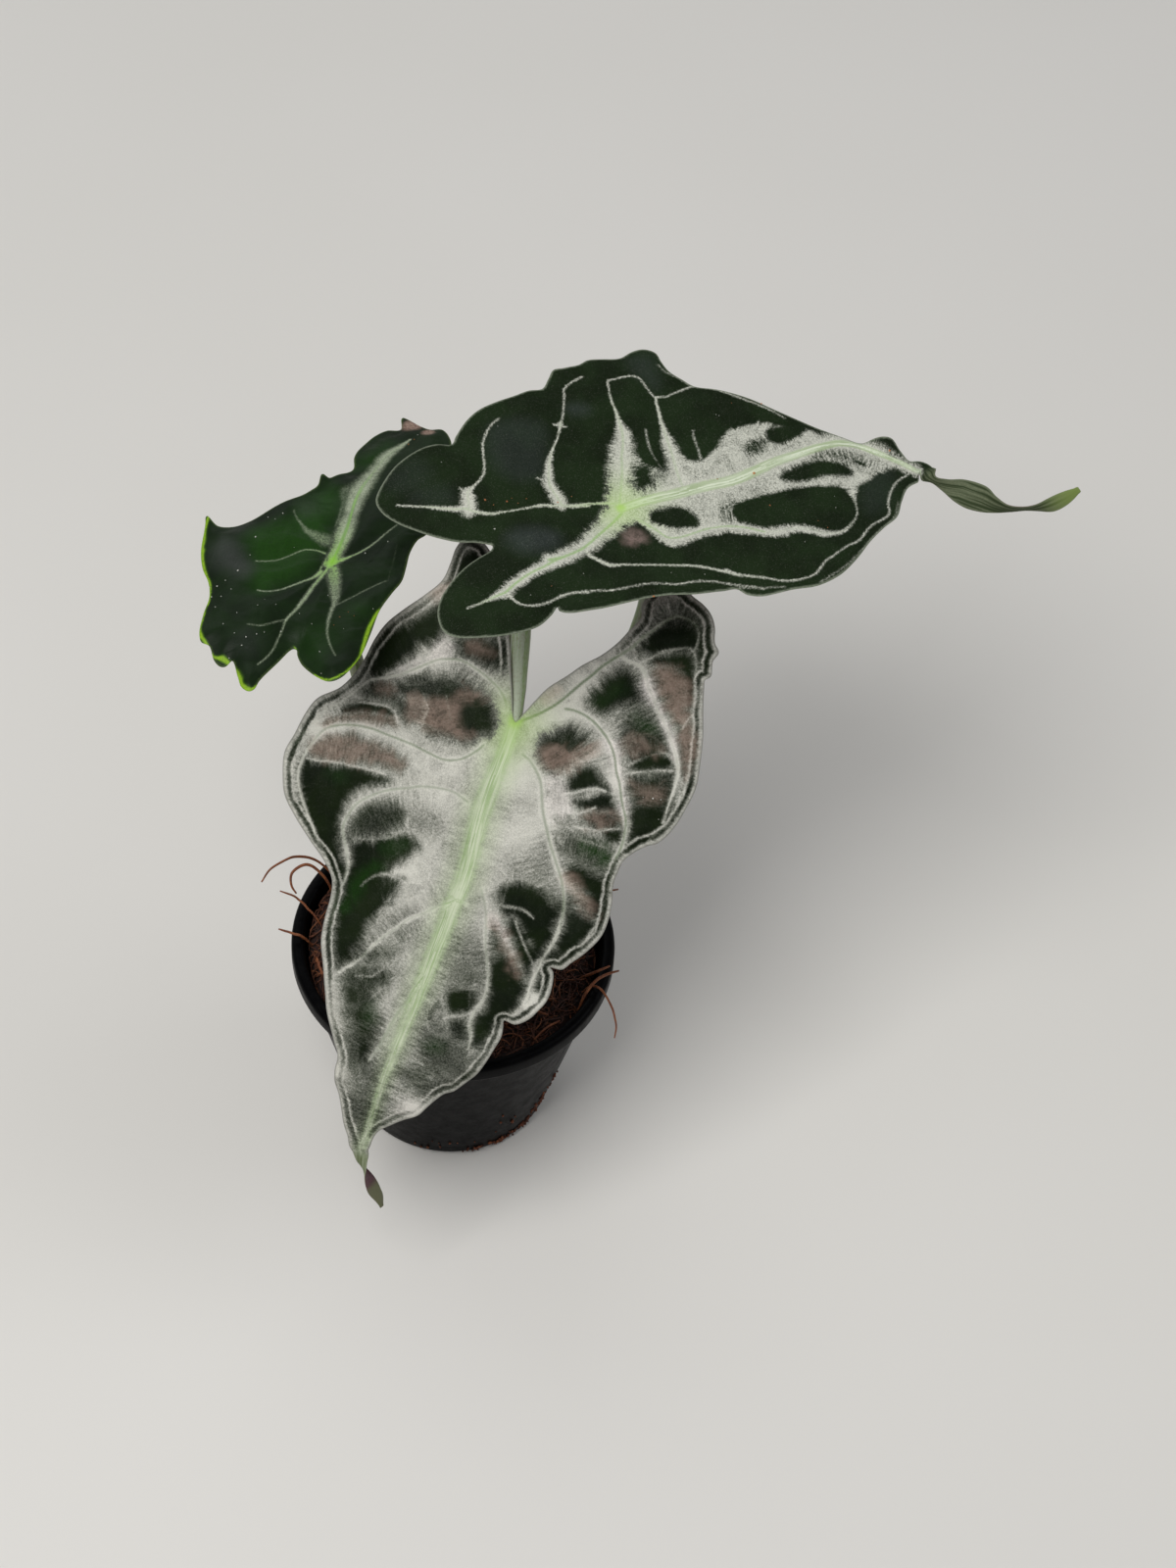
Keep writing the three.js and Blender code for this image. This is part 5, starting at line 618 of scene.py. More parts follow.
        "outline": [(6.85,29.71),(5.18,29.42),(-0.39,28.45),(-5.96,26.31),(-9.5,23.83),(-14.37,21.84),(-19.22,21.4),(-25.27,20.08),(-26.64,19.23),(-27.03,17.47),(-29.59,15.68),(-30.51,14.17),(-30.38,13.16),(-29.04,12.1),(-33.2,9.39),(-35.81,7.67),(-36.39,6.05),(-35.75,5.22),(-33.74,4.84),(-28.82,3.45),(-23.88,2.04),(-22.95,1.3),(-22.99,0.46),(-24.34,-0.17),(-27.53,-2.54),(-30.26,-6.19),(-31.23,-9.2),(-30.04,-11.32),(-25.93,-13.12),(-23.43,-13.56),(-17.91,-13.7),(-11.93,-13.73),(-7.31,-14.81),(-3.59,-15.73),(1.14,-15.27),(5.45,-14.78),(9.35,-15.26),(11.42,-16.53),(19.09,-16.72),(26.83,-15.41),(34.97,-13.76),(41.23,-12.68),(45.42,-9.41),(44.96,-6.93),(45.77,-4.7),(48.45,0.35),(44.38,-0.51),(43.74,2.37),(41.35,4.47),(36.25,5.57),(32.47,5.83),(29.38,5.11),(26.5,6.91),(23.79,8.52),(24.19,10.12),(21.65,10.24),(19.84,11.39),(16.29,13.35),(10.57,17.61),(7.24,20.63),(5.47,23.27),(5.19,26.85)],
        "veins": [
            ("mid", [(-0.7,0.2,1.1),(4.1,0,1.41),(9.4,0.1,1.62),(14.3,0.6,1.56),(19.5,1,1.87),(24.5,0.7,1.83),(29.7,-0,1.48),(34.2,-1,1.25),(37.9,-2.6,0.92),(40.7,-3.8,0.52)], 1, 0.64, 0.6, 0.8),
            ("L1", [(2,2.3,0.48),(2.4,3.8,0.39),(2,6.8,0.35),(0.4,8.6,0.3),(-1.4,10.3,0.32),(-2.7,12.2,0.27),(-3.6,15.4,0.17)], 0, 0, 0.5, 0.75),
            ("L2", [(5.4,3.2,1.49),(6.3,5.8,1.05),(7.3,8.1,0.74),(8.9,9.8,0.52),(10.5,11.5,0.35),(11.9,12.3,0.18)], 0, 0, 0.6, 0.55),
            ("L3", [(-3.3,1.5,0.67),(-5.2,2.4,0.57),(-7,4.2,0.44),(-8.9,6.3,0.39),(-10.5,8.5,0.35),(-11.3,10.9,0.3),(-11.3,12.5,0.17)], 0, 0, 0.5, 0.8),
            ("LL", [(-1.4,0.4,0.55),(-4.8,1,0.62),(-8.3,1.8,0.65),(-12.1,2.5,0.64),(-15.3,3.4,0.53),(-17.4,4.3,0.48),(-19.6,4.4,0.3),(-22.2,4.7,0.26),(-24.4,4.8,0.23),(-27.2,5.4,0.25),(-29.7,6.4,0.17)], 0.3, 0.18, 0.5, 0.75),
            ("LLb", [(-17.4,4.3,0.36),(-18.5,5.9,0.32),(-19.8,7.3,0.28),(-20.9,8.9,0.24),(-21.1,11.2,0.12)], 0, 0, 0.5, 0.6),
            ("LW", [(-2.3,-0.7,1.28),(-5.9,-2.3,1.22),(-9.5,-3.6,1.01),(-11.5,-4.1,0.74),(-14,-4.1,0.64),(-16.8,-4.4,0.55),(-19.5,-5.1,0.46),(-22.2,-6.5,0.3),(-25.1,-8.6,0.13)], 0, 0, 0.5, 0.65),
            ("LWb", [(-12.2,-4.5,0.39),(-10.4,-6.2,0.35),(-8.4,-8.3,0.31),(-6.1,-10.7,0.27),(-4.2,-12.8,0.18)], 0, 0, 0.5, 0.6),
            ("R1", [(0.9,-1.4,0.79),(2.3,-3.3,0.49),(4.3,-5.4,0.45),(7.2,-7.2,0.4),(10.4,-8.6,0.32),(12.6,-9.9,0.23)], 0, 0, 0.5, 0.8),
            ("cw", [(1.7,1.4,0.26),(-0.5,1.6,0.32),(-2.9,1.9,0.31)], 0, 0, 0.5, 0.8),
            ("r2", [(6.4,-11.8,0.18),(1.6,-12.5,0.18),(-4.2,-13.2,0.18)], 0, 0, 0.4, 0.3),
            ("ul", [(21.3,4,1.39),(18,3.4,0.77),(14.4,3,0.57),(9.9,2.7,0.45)], 0, 0, 0.6, 0.45),
        ],
        "patches": [
        ],
        "islands": [
        ],
        "pink_tint_and_sheen": [
        ],
        "vivid": [
            ([(3.53,19.02),(6.47,15.26),(11.37,12.13),(18.09,10.56),(21.04,6.74),(16.83,3.76),(7.41,3.82),(3.29,3.27),(-2.26,3.81),(-6.08,5.65),(-9.59,9.14),(-11.8,12.3),(-5.34,16.03)], 1),
            ([(9.68,10.81),(12.95,8.78),(13.79,6.71),(9.41,4.46),(7.63,7.02),(7.04,9.18)], 0.6),
            ([(-21.7,0.72),(-18.37,-1.39),(-17.3,-4.18),(-22.68,-7.44),(-27.56,-6.69),(-25.05,-1.89)], 0.45),
            ([(30.14,5.75),(34.16,3.02),(37.99,0.28),(30.88,0.35),(29.09,3.84)], 0.6),
            ([(-11.97,-7.91),(-11.66,-10.14),(-13.92,-11.23),(-14.27,-9.02)], 0.5),
        ],
        "painted_highlight": [
        ],
        "painted_sheen": [
            ([(-2.31,25.42),(0.8,24.07),(-1.52,19.66),(-5.27,15.66),(-8.82,15.65),(-7.69,20),(-5.87,23.84)], 1),
            ([(12.7,11.8),(17.51,9.61),(13.56,7.42),(10.16,9.4)], 0.4),
            ([(5.23,24.43),(7.86,20.52),(4.6,19.39),(1.92,22.45)], 0.4),
            ([(-24.18,13.63),(-21.28,10.72),(-23.09,7.07),(-28,7.77),(-27.61,10.99)], 0.35),
        ],
        "lime": [
            ([(6.6,29.3,0.24),(4.1,29.2,0.28),(-0.1,28.4,0.43),(-4.2,26.9,0.34),(-6.8,25.6,0.25),(-10.5,23.1,0.19),(-15.1,21.6,0.14),(-19.2,21.3,0.18),(-25.1,20.1,0.32),(-26.9,18.1,0.26),(-28.9,16.2,0.18),(-29.1,14,0.45),(-29.9,12.4,0.36),(-32.7,9.9,0.54),(-35.8,7.4,0.46),(-36.2,5.6,0.33),(-34.6,4.8,0.11)], 1),
            ([(-22.6,1.2,0.15),(-22.9,0.6,0.12)], 0.8),
            ([(-29.8,-5.1,0.08),(-30.9,-7.7,0.16),(-31,-9.3,0.15),(-29.6,-11.2,0.16),(-27.8,-12.5,0.2),(-24.4,-13.5,0.25),(-20.8,-13.3,0.29),(-17,-13.1,0.29),(-13.5,-13.4,0.25),(-11.8,-13.7,0.17)], 1),
        ],
        "tone": [],
        "dried": [(45.92, -2.67, 2.6), (43.45, -6.98, 1.6)],
        "dust": [(9.98, 14.02, 0.3, 1), (2.05, 17.13, 0.34, 1), (-7.52, 17.98, 0.38, 1), (-11.26, 20.99, 0.3, 1), (-14.23, 21.52, 0.34, 1), (-12.26, -12.44, 0.36, 1), (-9.9, -2.19, 0.26, 1), (6.82, -9.66, 0.3, 1), (3.16, -6.1, 0.3, 1), (-20.07, 4.61, 0.34, 1), (-10.22, 19.64, 0.22, 1), (-14.76, 19.12, 0.2, 1), (-12.64, 17.5, 0.22, 1), (-17.57, 19.43, 0.22, 1), (-11.25, 23.2, 0.24, 1), (-21.93, 16.03, 0.2, 1), (-18.61, 14.21, 0.22, 1), (-24.47, 10.41, 0.3, 1), (-22.87, 8.85, 0.22, 1), (-26.24, 10.87, 0.24, 1), (-21.99, 7.48, 0.2, 1), (8.47, 16.7, 0.18, 1), (7.71, 14.96, 0.16, 1), (-17.95, -1.19, 0.18, 1), (-15.65, 2.03, 0.16, 1), (-15.44, -6.49, 0.2, 0), (-14.17, -7.97, 0.18, 0), (-15.25, -9.56, 0.22, 0), (-17.58, -5.91, 0.18, 0), (-18.55, -8.52, 0.18, 1), (-24.57, -4.97, 0.2, 1), (-29.78, -7.3, 0.24, 1), (40.57, -4.83, 0.26, 0), (38.69, -4.34, 0.2, 0), (42.09, -5.22, 0.2, 1), (-2.53, 17.07, 0.18, 1), (2, 9.08, 0.14, 1), (-14.06, 9.84, 0.18, 1), (-16.14, 10.83, 0.16, 1), (-14.84, 7.28, 0.16, 1), (-28.66, 12.85, 0.2, 1), (-23.78, 13.13, 0.2, 1)],
    },
}


# ------------------------------------------------------------------ leaf frames
def unit(v):
    v = np.array(v, float)
    return v / np.linalg.norm(v)


class Blade:
    """A blade's middle surface: flat coordinates a (towards the tip) and b (across), in
    mm, laid on a frame and bent. Past tip_start it becomes a ribbon with its own path."""

    def __init__(self, key, origin, along, up, height, tip_start=1e9, tip_shift=0.0, tail=None):
        self.key = key
        self.o = np.array(origin, float)
        self.e = unit(along)
        n = np.array(up, float)
        self.n = unit(n - self.e * (n @ self.e))
        self.w = np.cross(self.n, self.e)
        self.base = height
        self.marks = LEAF_MARKS[key]
        self.tip_start = tip_start
        self.tip_shift = tip_shift
        self.tail = None
        if tail:
            keys = np.array(tail, float)
            path = catmull(keys[:, :6], 0.05)
            s = np.concatenate([[0], np.cumsum(np.linalg.norm(np.diff(path[:, :3], axis=0), axis=1))])
            self.tail = (s, path[:, :3], path[:, 3:6])
            self.tail_length = s[-1]
            self.tail_widths = keys[:, 6]
            self.tail_dir = unit(path[3, :3] - path[0, :3])

    def height(self, a, b):
        h = self.base(a, b)
        for ca, cb, amp, r in self.marks["hills"]:
            h = h + amp * np.exp(-((a - ca) ** 2 + (b - cb) ** 2) / (r * r))
        return h

    def points(self, ab, lift=0.0):
        a, b = ab[:, 0], ab[:, 1]
        flat = (
            self.o
            + np.outer(a, self.e)
            + np.outer(b, self.w)
            + np.outer(self.height(a, b) + lift, self.n)
        )
        if self.tail is None:
            return flat
        s_all, path, wide = self.tail
        s = np.clip(a - self.tip_start, 0, self.tail_length)
        centre = np.stack([np.interp(s, s_all, path[:, k]) for k in range(3)], 1)
        across = np.stack([np.interp(s, s_all, wide[:, k]) for k in range(3)], 1)
        across /= np.linalg.norm(across, axis=1)[:, None]
        shift = self.tip_shift * (1 - np.clip(4 * s / self.tail_length, 0, 1))
        ribbon = centre + across * (b - shift)[:, None]
        early = path[0] + np.outer(a - self.tip_start, self.tail_dir) + np.outer(
            b - self.tip_shift, unit(wide[0])
        )
        w = smooth(a, self.tip_start - 3, self.tip_start)[:, None]
        out = np.where((a < self.tip_start)[:, None], flat * (1 - w) + early * w, ribbon)
        return out

    def loop(self, step):
        """The margin, with the ribbon's two sides added at the tip."""
        pts = self.marks["outline"]
        if self.tail is None:
            return catmull(pts, step, closed=True)[:, :2]
        keep = [p for p in pts if p[0] < self.tip_start - 3.5]
        # the list runs from the join, down the -b side to the tip and back up the +b side
        cut = next(i for i, p in enumerate(pts) if p[0] >= self.tip_start - 3.5)
        first = [p for p in pts[:cut] if p in keep]
        last = [p for p in pts[cut:] if p in keep]
        if self.key == "leaf_top":
            first, last = last, first
        count = max(12, int(self.tail_length / 0.6))
        t = np.linspace(0, 1, count)
        widths = np.interp(t * (len(self.tail_widths) - 1), range(len(self.tail_widths)), self.tail_widths)
        kernel = np.array([1, 2, 3, 2, 1]) / 9
        widths = np.convolve(np.pad(widths, 2, mode="edge"), kernel, "valid")
        shift = self.tip_shift * (1 - np.clip(4 * t, 0, 1))
        a = self.tip_start + t * self.tail_length
        low = list(zip(a, shift - widths / 2))
        high = list(zip(a, shift + widths / 2))
        if self.key == "leaf_front":
            pts = first + low + high[::-1] + last
        else:
            # this margin is listed clockwise: +b side first
            pts = last + high + low[::-1] + first
        return catmull(pts, step, closed=True)[:, :2]


LEAF_FRONT = Blade(
    "leaf_front",
    (11.068, 7.729, 115.0),
    (-0.26753629, -0.61047152, -0.74548566),
    (-0.05090717, -0.76365243, 0.64361745),
    lambda a, b: 0.0020 * a * (99.4 - a) - 0.0022 * b * b,
    97.7,
    -0.37,
    [
        (-15.4, -51.6, 42.0, 0.98, -0.17, 0.10, 3.4), (-15.1, -52.2, 38.5, 0.75, -0.62, 0.21, 2.6),
        (-14.4, -52.4, 36.0, 0.07, -0.99, 0.14, 2.6), (-13.3, -52.8, 33.0, -0.53, -0.84, -0.09, 2.8),
        (-12.3, -53.1, 30.0, -0.76, -0.60, -0.23, 2.8), (-11.3, -53.3, 27.5, -0.75, -0.64, -0.15, 2.2),
        (-10.7, -53.9, 25.5, -0.54, -0.83, 0.11, 0.7),
    ],
)
LEAF_TOP = Blade(
    "leaf_top",
    (29.414, 34.040, 152.0),
    (0.94644496, 0.3102534, -0.08935754),
    (0.12258948, -0.08928257, 0.98843333),
    lambda a, b: 0.16 * (np.sqrt(b * b + 9) - 3)
    - 0.0026 * b * b
    + np.where(a > 0, 0.0010 * a * (66 - a), -0.0012 * a * a),
    66.7,
    1.9,
    [
        (91.9, 56.6, 146.2, 0.65, 0.73, -0.20, 4.2), (93.6, 54.9, 145.6, 0.13, -0.29, 0.95, 2.6),
        (95.7, 54.3, 145.0, 0.25, 0.07, 0.97, 3.0), (98.6, 53.6, 144.4, 0.28, 0.53, 0.80, 4.8),
        (101.3, 52.8, 144.0, 0.28, 0.67, 0.69, 5.6), (103.9, 52.0, 143.8, 0.25, 0.51, 0.82, 5.4),
        (106.6, 50.6, 143.8, 0.0, 0.08, 1.0, 4.2), (109.3, 49.7, 144.0, -0.20, -0.36, 0.91, 3.4),
        (112.5, 49.4, 144.6, -0.24, -0.52, 0.82, 3.2), (115.2, 49.2, 145.4, -0.33, -0.28, 0.90, 3.0),
        (117.5, 49.2, 146.4, -0.45, 0.33, 0.83, 3.0), (119.5, 49.6, 147.6, -0.54, 0.59, 0.61, 3.0),
        (121.4, 50.1, 149.0, -0.61, 0.56, 0.56, 2.4), (122.8, 50.3, 150.4, -0.62, 0.56, 0.55, 0.8),
    ],
)
LEAF_LEFT = Blade(
    "leaf_left",
    (-28.287, 29.508, 135.0),
    (0.21776224, 0.97234192, -0.084444),
    (-0.10138764, 0.10858867, 0.98890295),
    lambda a, b: 0.10 * (np.sqrt(b * b + 4) - 2)
    - 0.004 * b * b
    + np.where(a > 0, 0.0022 * a * (48 - a), -0.004 * a * a),
)

# veins that the blade is quilted between, and how far each stands up or sinks (mm)
MAJOR = {
    "leaf_front": ("mid", "V1", "V2", "V3", "V4", "V5", "R1", "R1d", "R2", "R3", "R4"),
    "leaf_top": ("mid", "mid2", "LLa", "LLa2", "B", "C", "D", "Lt", "Lt2", "Lo", "Lo2", "Lb1", "Lb1b", "A"),
    "leaf_left": ("mid", "L1", "L2", "L3", "LL", "LW", "LWb", "R1", "ul"),
}
QUILT = {"leaf_front": 0.95, "leaf_top": 0.6, "leaf_left": 0.95}
# how far a vein's pale band fades out: a fixed part and a part of its half width
FADE = {"leaf_front": (0.35, 1.25), "leaf_top": (0.10, 1.15), "leaf_left": (0.25, 1.2)}
# how far the edges of the dark and pale patches are dragged out along the streaks (mm)
DRAG = {"leaf_front": 0.75, "leaf_top": 0.55, "leaf_left": 0.3}


def leaf_fields(blade, ab, loop):
    """Everything that depends on where a point lies on a blade."""
    marks = blade.marks
    key = blade.key
    n = len(ab)
    coarse = resample(np.vstack([loop, loop[:1]]), max(80, len(loop) // 3))
    edge, edge_s, _, _ = to_segments(ab, coarse, 200.0)

    near_d = np.full(n, 1e3)
    near_s = np.zeros(n)
    near_id = np.zeros(n)
    core = np.zeros(n)
    mid = np.zeros(n)
    mid_d = np.full(n, 1e3)
    quilt_d = np.full(n, 1e3)
    rib = np.zeros(n)
    bands = np.full(n, -0.4)
    fade_a, fade_b = FADE[key]
    for i, (name, pts, core_amount, core_width, jag, amount) in enumerate(marks["veins"]):
        line = catmull(pts, 1.0)
        d, s, side, extra = to_segments(ab, line, 9.0)
        hw = extra[:, 0]
        rough = fractal(s * 0.9, side * 3.1 + i * 7.7, 0.5, seed=5, octaves=3)
        fine = noise3(s * 2.6, side * 5.3 + i * 3.3, 0.5, seed=8)
        stout = smooth(hw, 0.3, 1.1)
        own = (np.where(hw < 0.6, 0.75, 1.0) if key == "leaf_front" else 0.32 + 0.6 * stout) * hw * (1 + jag * (0.42 * rough + 0.20 * fine))
        fade = fade_a + fade_b * np.clip(hw, 0.0, 2.6) * (1.0 if key == "leaf_front" else 0.4 + 0.6 * stout)
        strength = 1.02 + 0.16 * noise3(s * 0.35, side + i * 5.1, 0.5, seed=15)
        if key != "leaf_front":
            fade = np.maximum(fade, 0.52 - own)
        if key == "leaf_front":
            # a bright crest along the vein on a wide halo that thins out
            halo = (0.90 + 0.20 * noise3(s * 0.30, side * 2 + i * 5.1, 0.5, seed=15)) * (1 - smooth(d, 0, own + fade)) ** 1.25
            crest = (0.26 + 0.24 * noise3(s * 0.8, side * 2 + i * 2.9, 0.5, seed=16)) * (1 - smooth(d, 0.1 * hw, 0.35 + 0.42 * hw))
            band = (halo + crest) * amount - 0.15
        else:
            inner = own * 0.45 - 0.12
            band = (strength - (strength + 0.15) * smooth(d, inner, own + fade)) * amount
        bands = np.where(d < 900, np.maximum(bands, band - (1 - amount) * 0.1), bands)
        closer = d < near_d
        near_d = np.where(closer, d, near_d)
        near_s = np.where(closer, s, near_s)
        near_id = np.where(closer, i * 2 + (side > 0), near_id)
        if core_amount:
            cw = max(core_width, 0.14)
            if name.startswith("mid"):
                edge_hw = np.clip(hw / np.max(line[:, 2]), 0.45 if key == "leaf_front" else 0.25, 1) * cw
                dim = {
                    "leaf_front": 1 - 0.5 * smooth(ab[:, 0], 48, 88), "leaf_top": 1.0,
                    "leaf_left": 1 - 0.75 * smooth(ab[:, 0], 8, 34),
                }[key]
                m_in, m_out = (0.7, 1.4) if key == "leaf_top" else (0.25, 1.45)
                mid = np.maximum(mid, (1 - smooth(d, edge_hw * m_in, edge_hw * m_out)) * dim)
                mid_d = np.minimum(mid_d, d / np.maximum(edge_hw, 0.1))
                rib = np.maximum(rib, np.sqrt(np.clip(1 - (d / (edge_hw * 1.25)) ** 2, 0, 1)) * edge_hw)
            else:
                taper = smooth(hw, 0.1, 1.2)
                line_in = (1 - smooth(d, cw * 0.4, cw * 1.7)) * core_amount * taper
                core = np.maximum(core, line_in)
        if name in MAJOR[key]:
            quilt_d = np.minimum(quilt_d, d + 0.4)
            if not name.startswith("mid"):
                r = np.clip(hw * 0.45, 0.15, 0.55)
                rib = np.maximum(rib, np.sqrt(np.clip(1 - (d / r) ** 2, 0, 1)) * r * 0.8)

    # streaks run square to the nearest vein and drag the edges of the patches with them
    ray = noise3(near_s * 0.55, near_d * 0.09, near_id, seed=61)
    ray2 = noise3(near_s * 1.7, near_d * 0.22, near_id, seed=62)
    drag = DRAG[key] * (ray + 0.55 * ray2)

    def zone(name, soft, moved=0.0):
        m = np.zeros(n)
        for item in marks[name]:
            poly, amount = item[0], item[1]
            m = np.maximum(m, smooth(signed(ab, poly) + drag * moved, -soft, soft) * amount)
        return m

    hole = np.zeros(n)
    for poly, depth, soft in marks["islands"]:
        wide = soft * {"leaf_front": 2.4, "leaf_top": 3.2, "leaf_left": 1.6}[key]
        m = smooth(signed(ab, poly) + drag * min(1.2, soft), -wide, wide * 0.7) * depth
        hole = np.maximum(hole, m)
    if key == "leaf_front":
        level = np.full(n, 0.83)
        for ca, cb, r, amount in marks["tone"]:
            blob = amount * np.exp(-((ab[:, 0] - ca) ** 2 + (ab[:, 1] - cb) ** 2) / (r * r))
            level = level + blob
            bands = bands + (0.7 if amount < 0 else 0.55) * blob
        level += 0.07 * fractal(ab[:, 0] * 0.22, ab[:, 1] * 0.22, 0.5, seed=71, octaves=3)
        level += 0.10 * ray + 0.06 * ray2
        level = level * (1 - hole) - 0.04 * hole
        # soft maximum, so that the bands melt into the silver between them
        level = 0.5 * (level + bands + np.sqrt((level - bands) ** 2 + 0.012))
    else:
        level = bands
        for poly, depth, soft in marks["patches"]:
            m = smooth(signed(ab, poly) + drag, -soft * 3.0, soft * 2.4) * depth
            level = np.maximum(level, -0.35 + (1.22 + 0.10 * ray + 0.06 * ray2) * m)
        level = np.maximum(level * (1 - hole) - 0.35 * hole, np.where(hole > 0.05, bands - 0.25, -9))

    if key != "leaf_front":
        level = np.maximum(level, 1.05 * np.exp(-((ab[:, 0] ** 2 + ab[:, 1] ** 2) / 1.5**2)))
    # the pink zones are a pink-brown tint with painted warm sheen in it
    pink_tint_and_sheen = zone("pink_tint_and_sheen", 1.5, 1.2)
    vivid = zone("vivid", 2.0 if key != "leaf_left" else 3.4, 1.0)
    # the bright zones are painted highlights: pale streaks where light catches the blade
    painted_highlight = zone("painted_highlight", 1.3, 1.0)
    # the grey zones are painted sheen: a grey gloss laid into the colour
    painted_sheen = zone("painted_sheen", 2.4)
    lime = np.zeros(n)
    for pts, amount in marks["lime"]:
        line = catmull(pts, 0.8)
        d, s, _, extra = to_segments(ab, line, 4.0)
        width = extra[:, 0] * (1.15 + 0.6 * noise3(s * 0.8, 1.5, 0.5, seed=3))
        lime = np.maximum(lime, (1 - smooth(d, width * 0.3, width * 1.9)) * amount * (d < 900))
    away = np.hypot(ab[:, 0], ab[:, 1])
    join = np.exp(-((away / (1.7 if key == "leaf_top" else 2.3)) ** 2)) * 0.9
    join = np.maximum(join, 0.45 * np.exp(-((away / 7.0) ** 2)))

    wob = fractal(edge_s * 0.14, 0.5, 0.5, seed=31, octaves=3)
    wob2 = fractal(edge_s * 0.9, 0.5, 0.5, seed=37, octaves=2)
    if key == "leaf_front":
        # pale rolled edge, a thin dark line, then a second pale line inside it
        outer = 0.62 + 0.34 * wob + 0.12 * wob2
        inner = 1.95 + 0.75 * wob + 0.22 * wob2
        band = (0.80 + 0.2 * wob2) * (1 - smooth(edge, outer - 0.15, outer + 0.35))
        thin = (0.84 + 0.2 * wob2) * (1 - smooth(abs(edge - inner), 0.08, 0.50))
        gap = smooth(np.hypot(ab[:, 0], ab[:, 1]), 18, 42) * smooth(edge, outer + 0.1, outer + 0.45) * (1 - smooth(edge, inner - 0.5, inner - 0.1))
        level = level * (1 - 0.8 * gap * (0.55 + 0.45 * smooth(wob, -0.5, 0.3)) * (1 - 0.55 * smooth(ab[:, 0], 55, 80)))
        level = np.maximum(level, np.maximum(band, thin))
        rim = 1 - smooth(edge, 0.02, 0.32)
    elif key == "leaf_top":
        rim = 1 - smooth(edge, 0.02 + 0.05 * wob, 0.34 + 0.06 * wob)
    else:
        rim = (1 - smooth(edge, 0.02, 0.3)) * 0.7

    tail = smooth(ab[:, 0], blade.tip_start - 1.0, blade.tip_start + 1.5) if blade.tail else np.zeros(n)
    # lines run lengthwise along the ribbon
    near_s = np.where(tail > 0.3, ab[:, 0], near_s)
    near_d = np.where(tail > 0.3, 3.0 + ab[:, 1], near_d)
    near_id = np.where(tail > 0.3, 90.0, near_id)
    end = smooth(ab[:, 0], blade.tip_start + blade.tail_length * (0.45 if key == "leaf_front" else 0.70), blade.tip_start + blade.tail_length * (0.75 if key == "leaf_front" else 1.0)) if blade.tail else np.zeros(n)
    dried = np.zeros(n)
    for ca, cb, r in marks["dried"]:
        dried = np.maximum(dried, 1 - smooth(np.hypot(ab[:, 0] - ca, ab[:, 1] - cb), r * 0.5, r * 1.15))

    relief = QUILT[key] * (1 - np.exp(-((quilt_d / 3.0) ** 2))) * smooth(edge, 0.0, 4.5)
    relief += 0.16 * fractal(ab[:, 0] * 0.28, ab[:, 1] * 0.28, 0.5, seed=11) * smooth(edge, 0, 2.0)
    # shallow creases running off the veins
    relief += 0.10 * noise3(near_s * 0.75, near_d * 0.18, near_id, seed=21) * smooth(near_d, 0.5, 2.5) * smooth(edge, 0, 2)
    relief *= 1 - tail
    ridge = 0.22 * mid * (1 - tail) + 0.10 * smooth(level, 0.4, 0.9) * (1 - tail)
    return {
        "edge": edge, "level": np.clip(level, -0.4, 1.2), "core": core, "mid": mid, "pink_tint_and_sheen": pink_tint_and_sheen, "vivid": vivid,
        "painted_highlight": painted_highlight, "painted_sheen": painted_sheen, "lime": lime, "rim": rim, "tail": tail, "end": end, "join": join,
        "dried": dried, "vein": np.stack([near_s, np.minimum(near_d, 20), near_id], 1),
        "relief": relief, "ridge": ridge, "rib": rib * (1 - tail), "mid_d": np.minimum(mid_d, 3),
    }


def fill(loop, step):
    """Triangulates the inside of a loop with a hexagonal grid of inner points."""
    lo, hi = loop.min(0), loop.max(0)
    rows = np.arange(lo[1], hi[1], step * math.sqrt(3) / 2)
    grid = []
    for i, y in enumerate(rows):
        xs = np.arange(lo[0] + (step / 2 if i % 2 else 0), hi[0], step)
        grid.append(np.stack([xs, np.full(len(xs), y)], 1))
    grid = np.vstack(grid)
    rng = np.random.default_rng(7)
    grid = grid + rng.uniform(-0.08, 0.08, grid.shape) * step
    grid = grid[inside(grid, loop)]
    d, _, _, _ = to_segments(grid, loop, 200.0, closed=True) if len(loop) < 1500 else nearest_edge(grid, loop)
    grid = grid[d > step * 0.55]
    pts = np.vstack([loop, grid])
    n = len(loop)
    out = delaunay_2d_cdt(
        [Vector(p) for p in pts], [(i, (i + 1) % n) for i in range(n)], [list(range(n))], 1, 1e-7, True
    )
    coords, _, faces, origin = out[0], out[1], out[2], out[3]
    index = np.array([o[0] if len(o) else -1 for o in origin])
    if (index < 0).any():
        raise RuntimeError("the margin crosses itself")
    tri = np.array([f for f in faces if len(f) == 3])
    tri = index[tri]
    p = pts
    area = np.cross(p[tri[:, 1]] - p[tri[:, 0]], p[tri[:, 2]] - p[tri[:, 0]])
    tri = np.where((area > 0)[:, None], tri, tri[:, ::-1])
    keep = (np.abs(area) > 1e-9) & inside(pts[tri].mean(1), loop)
    return pts, tri[keep]


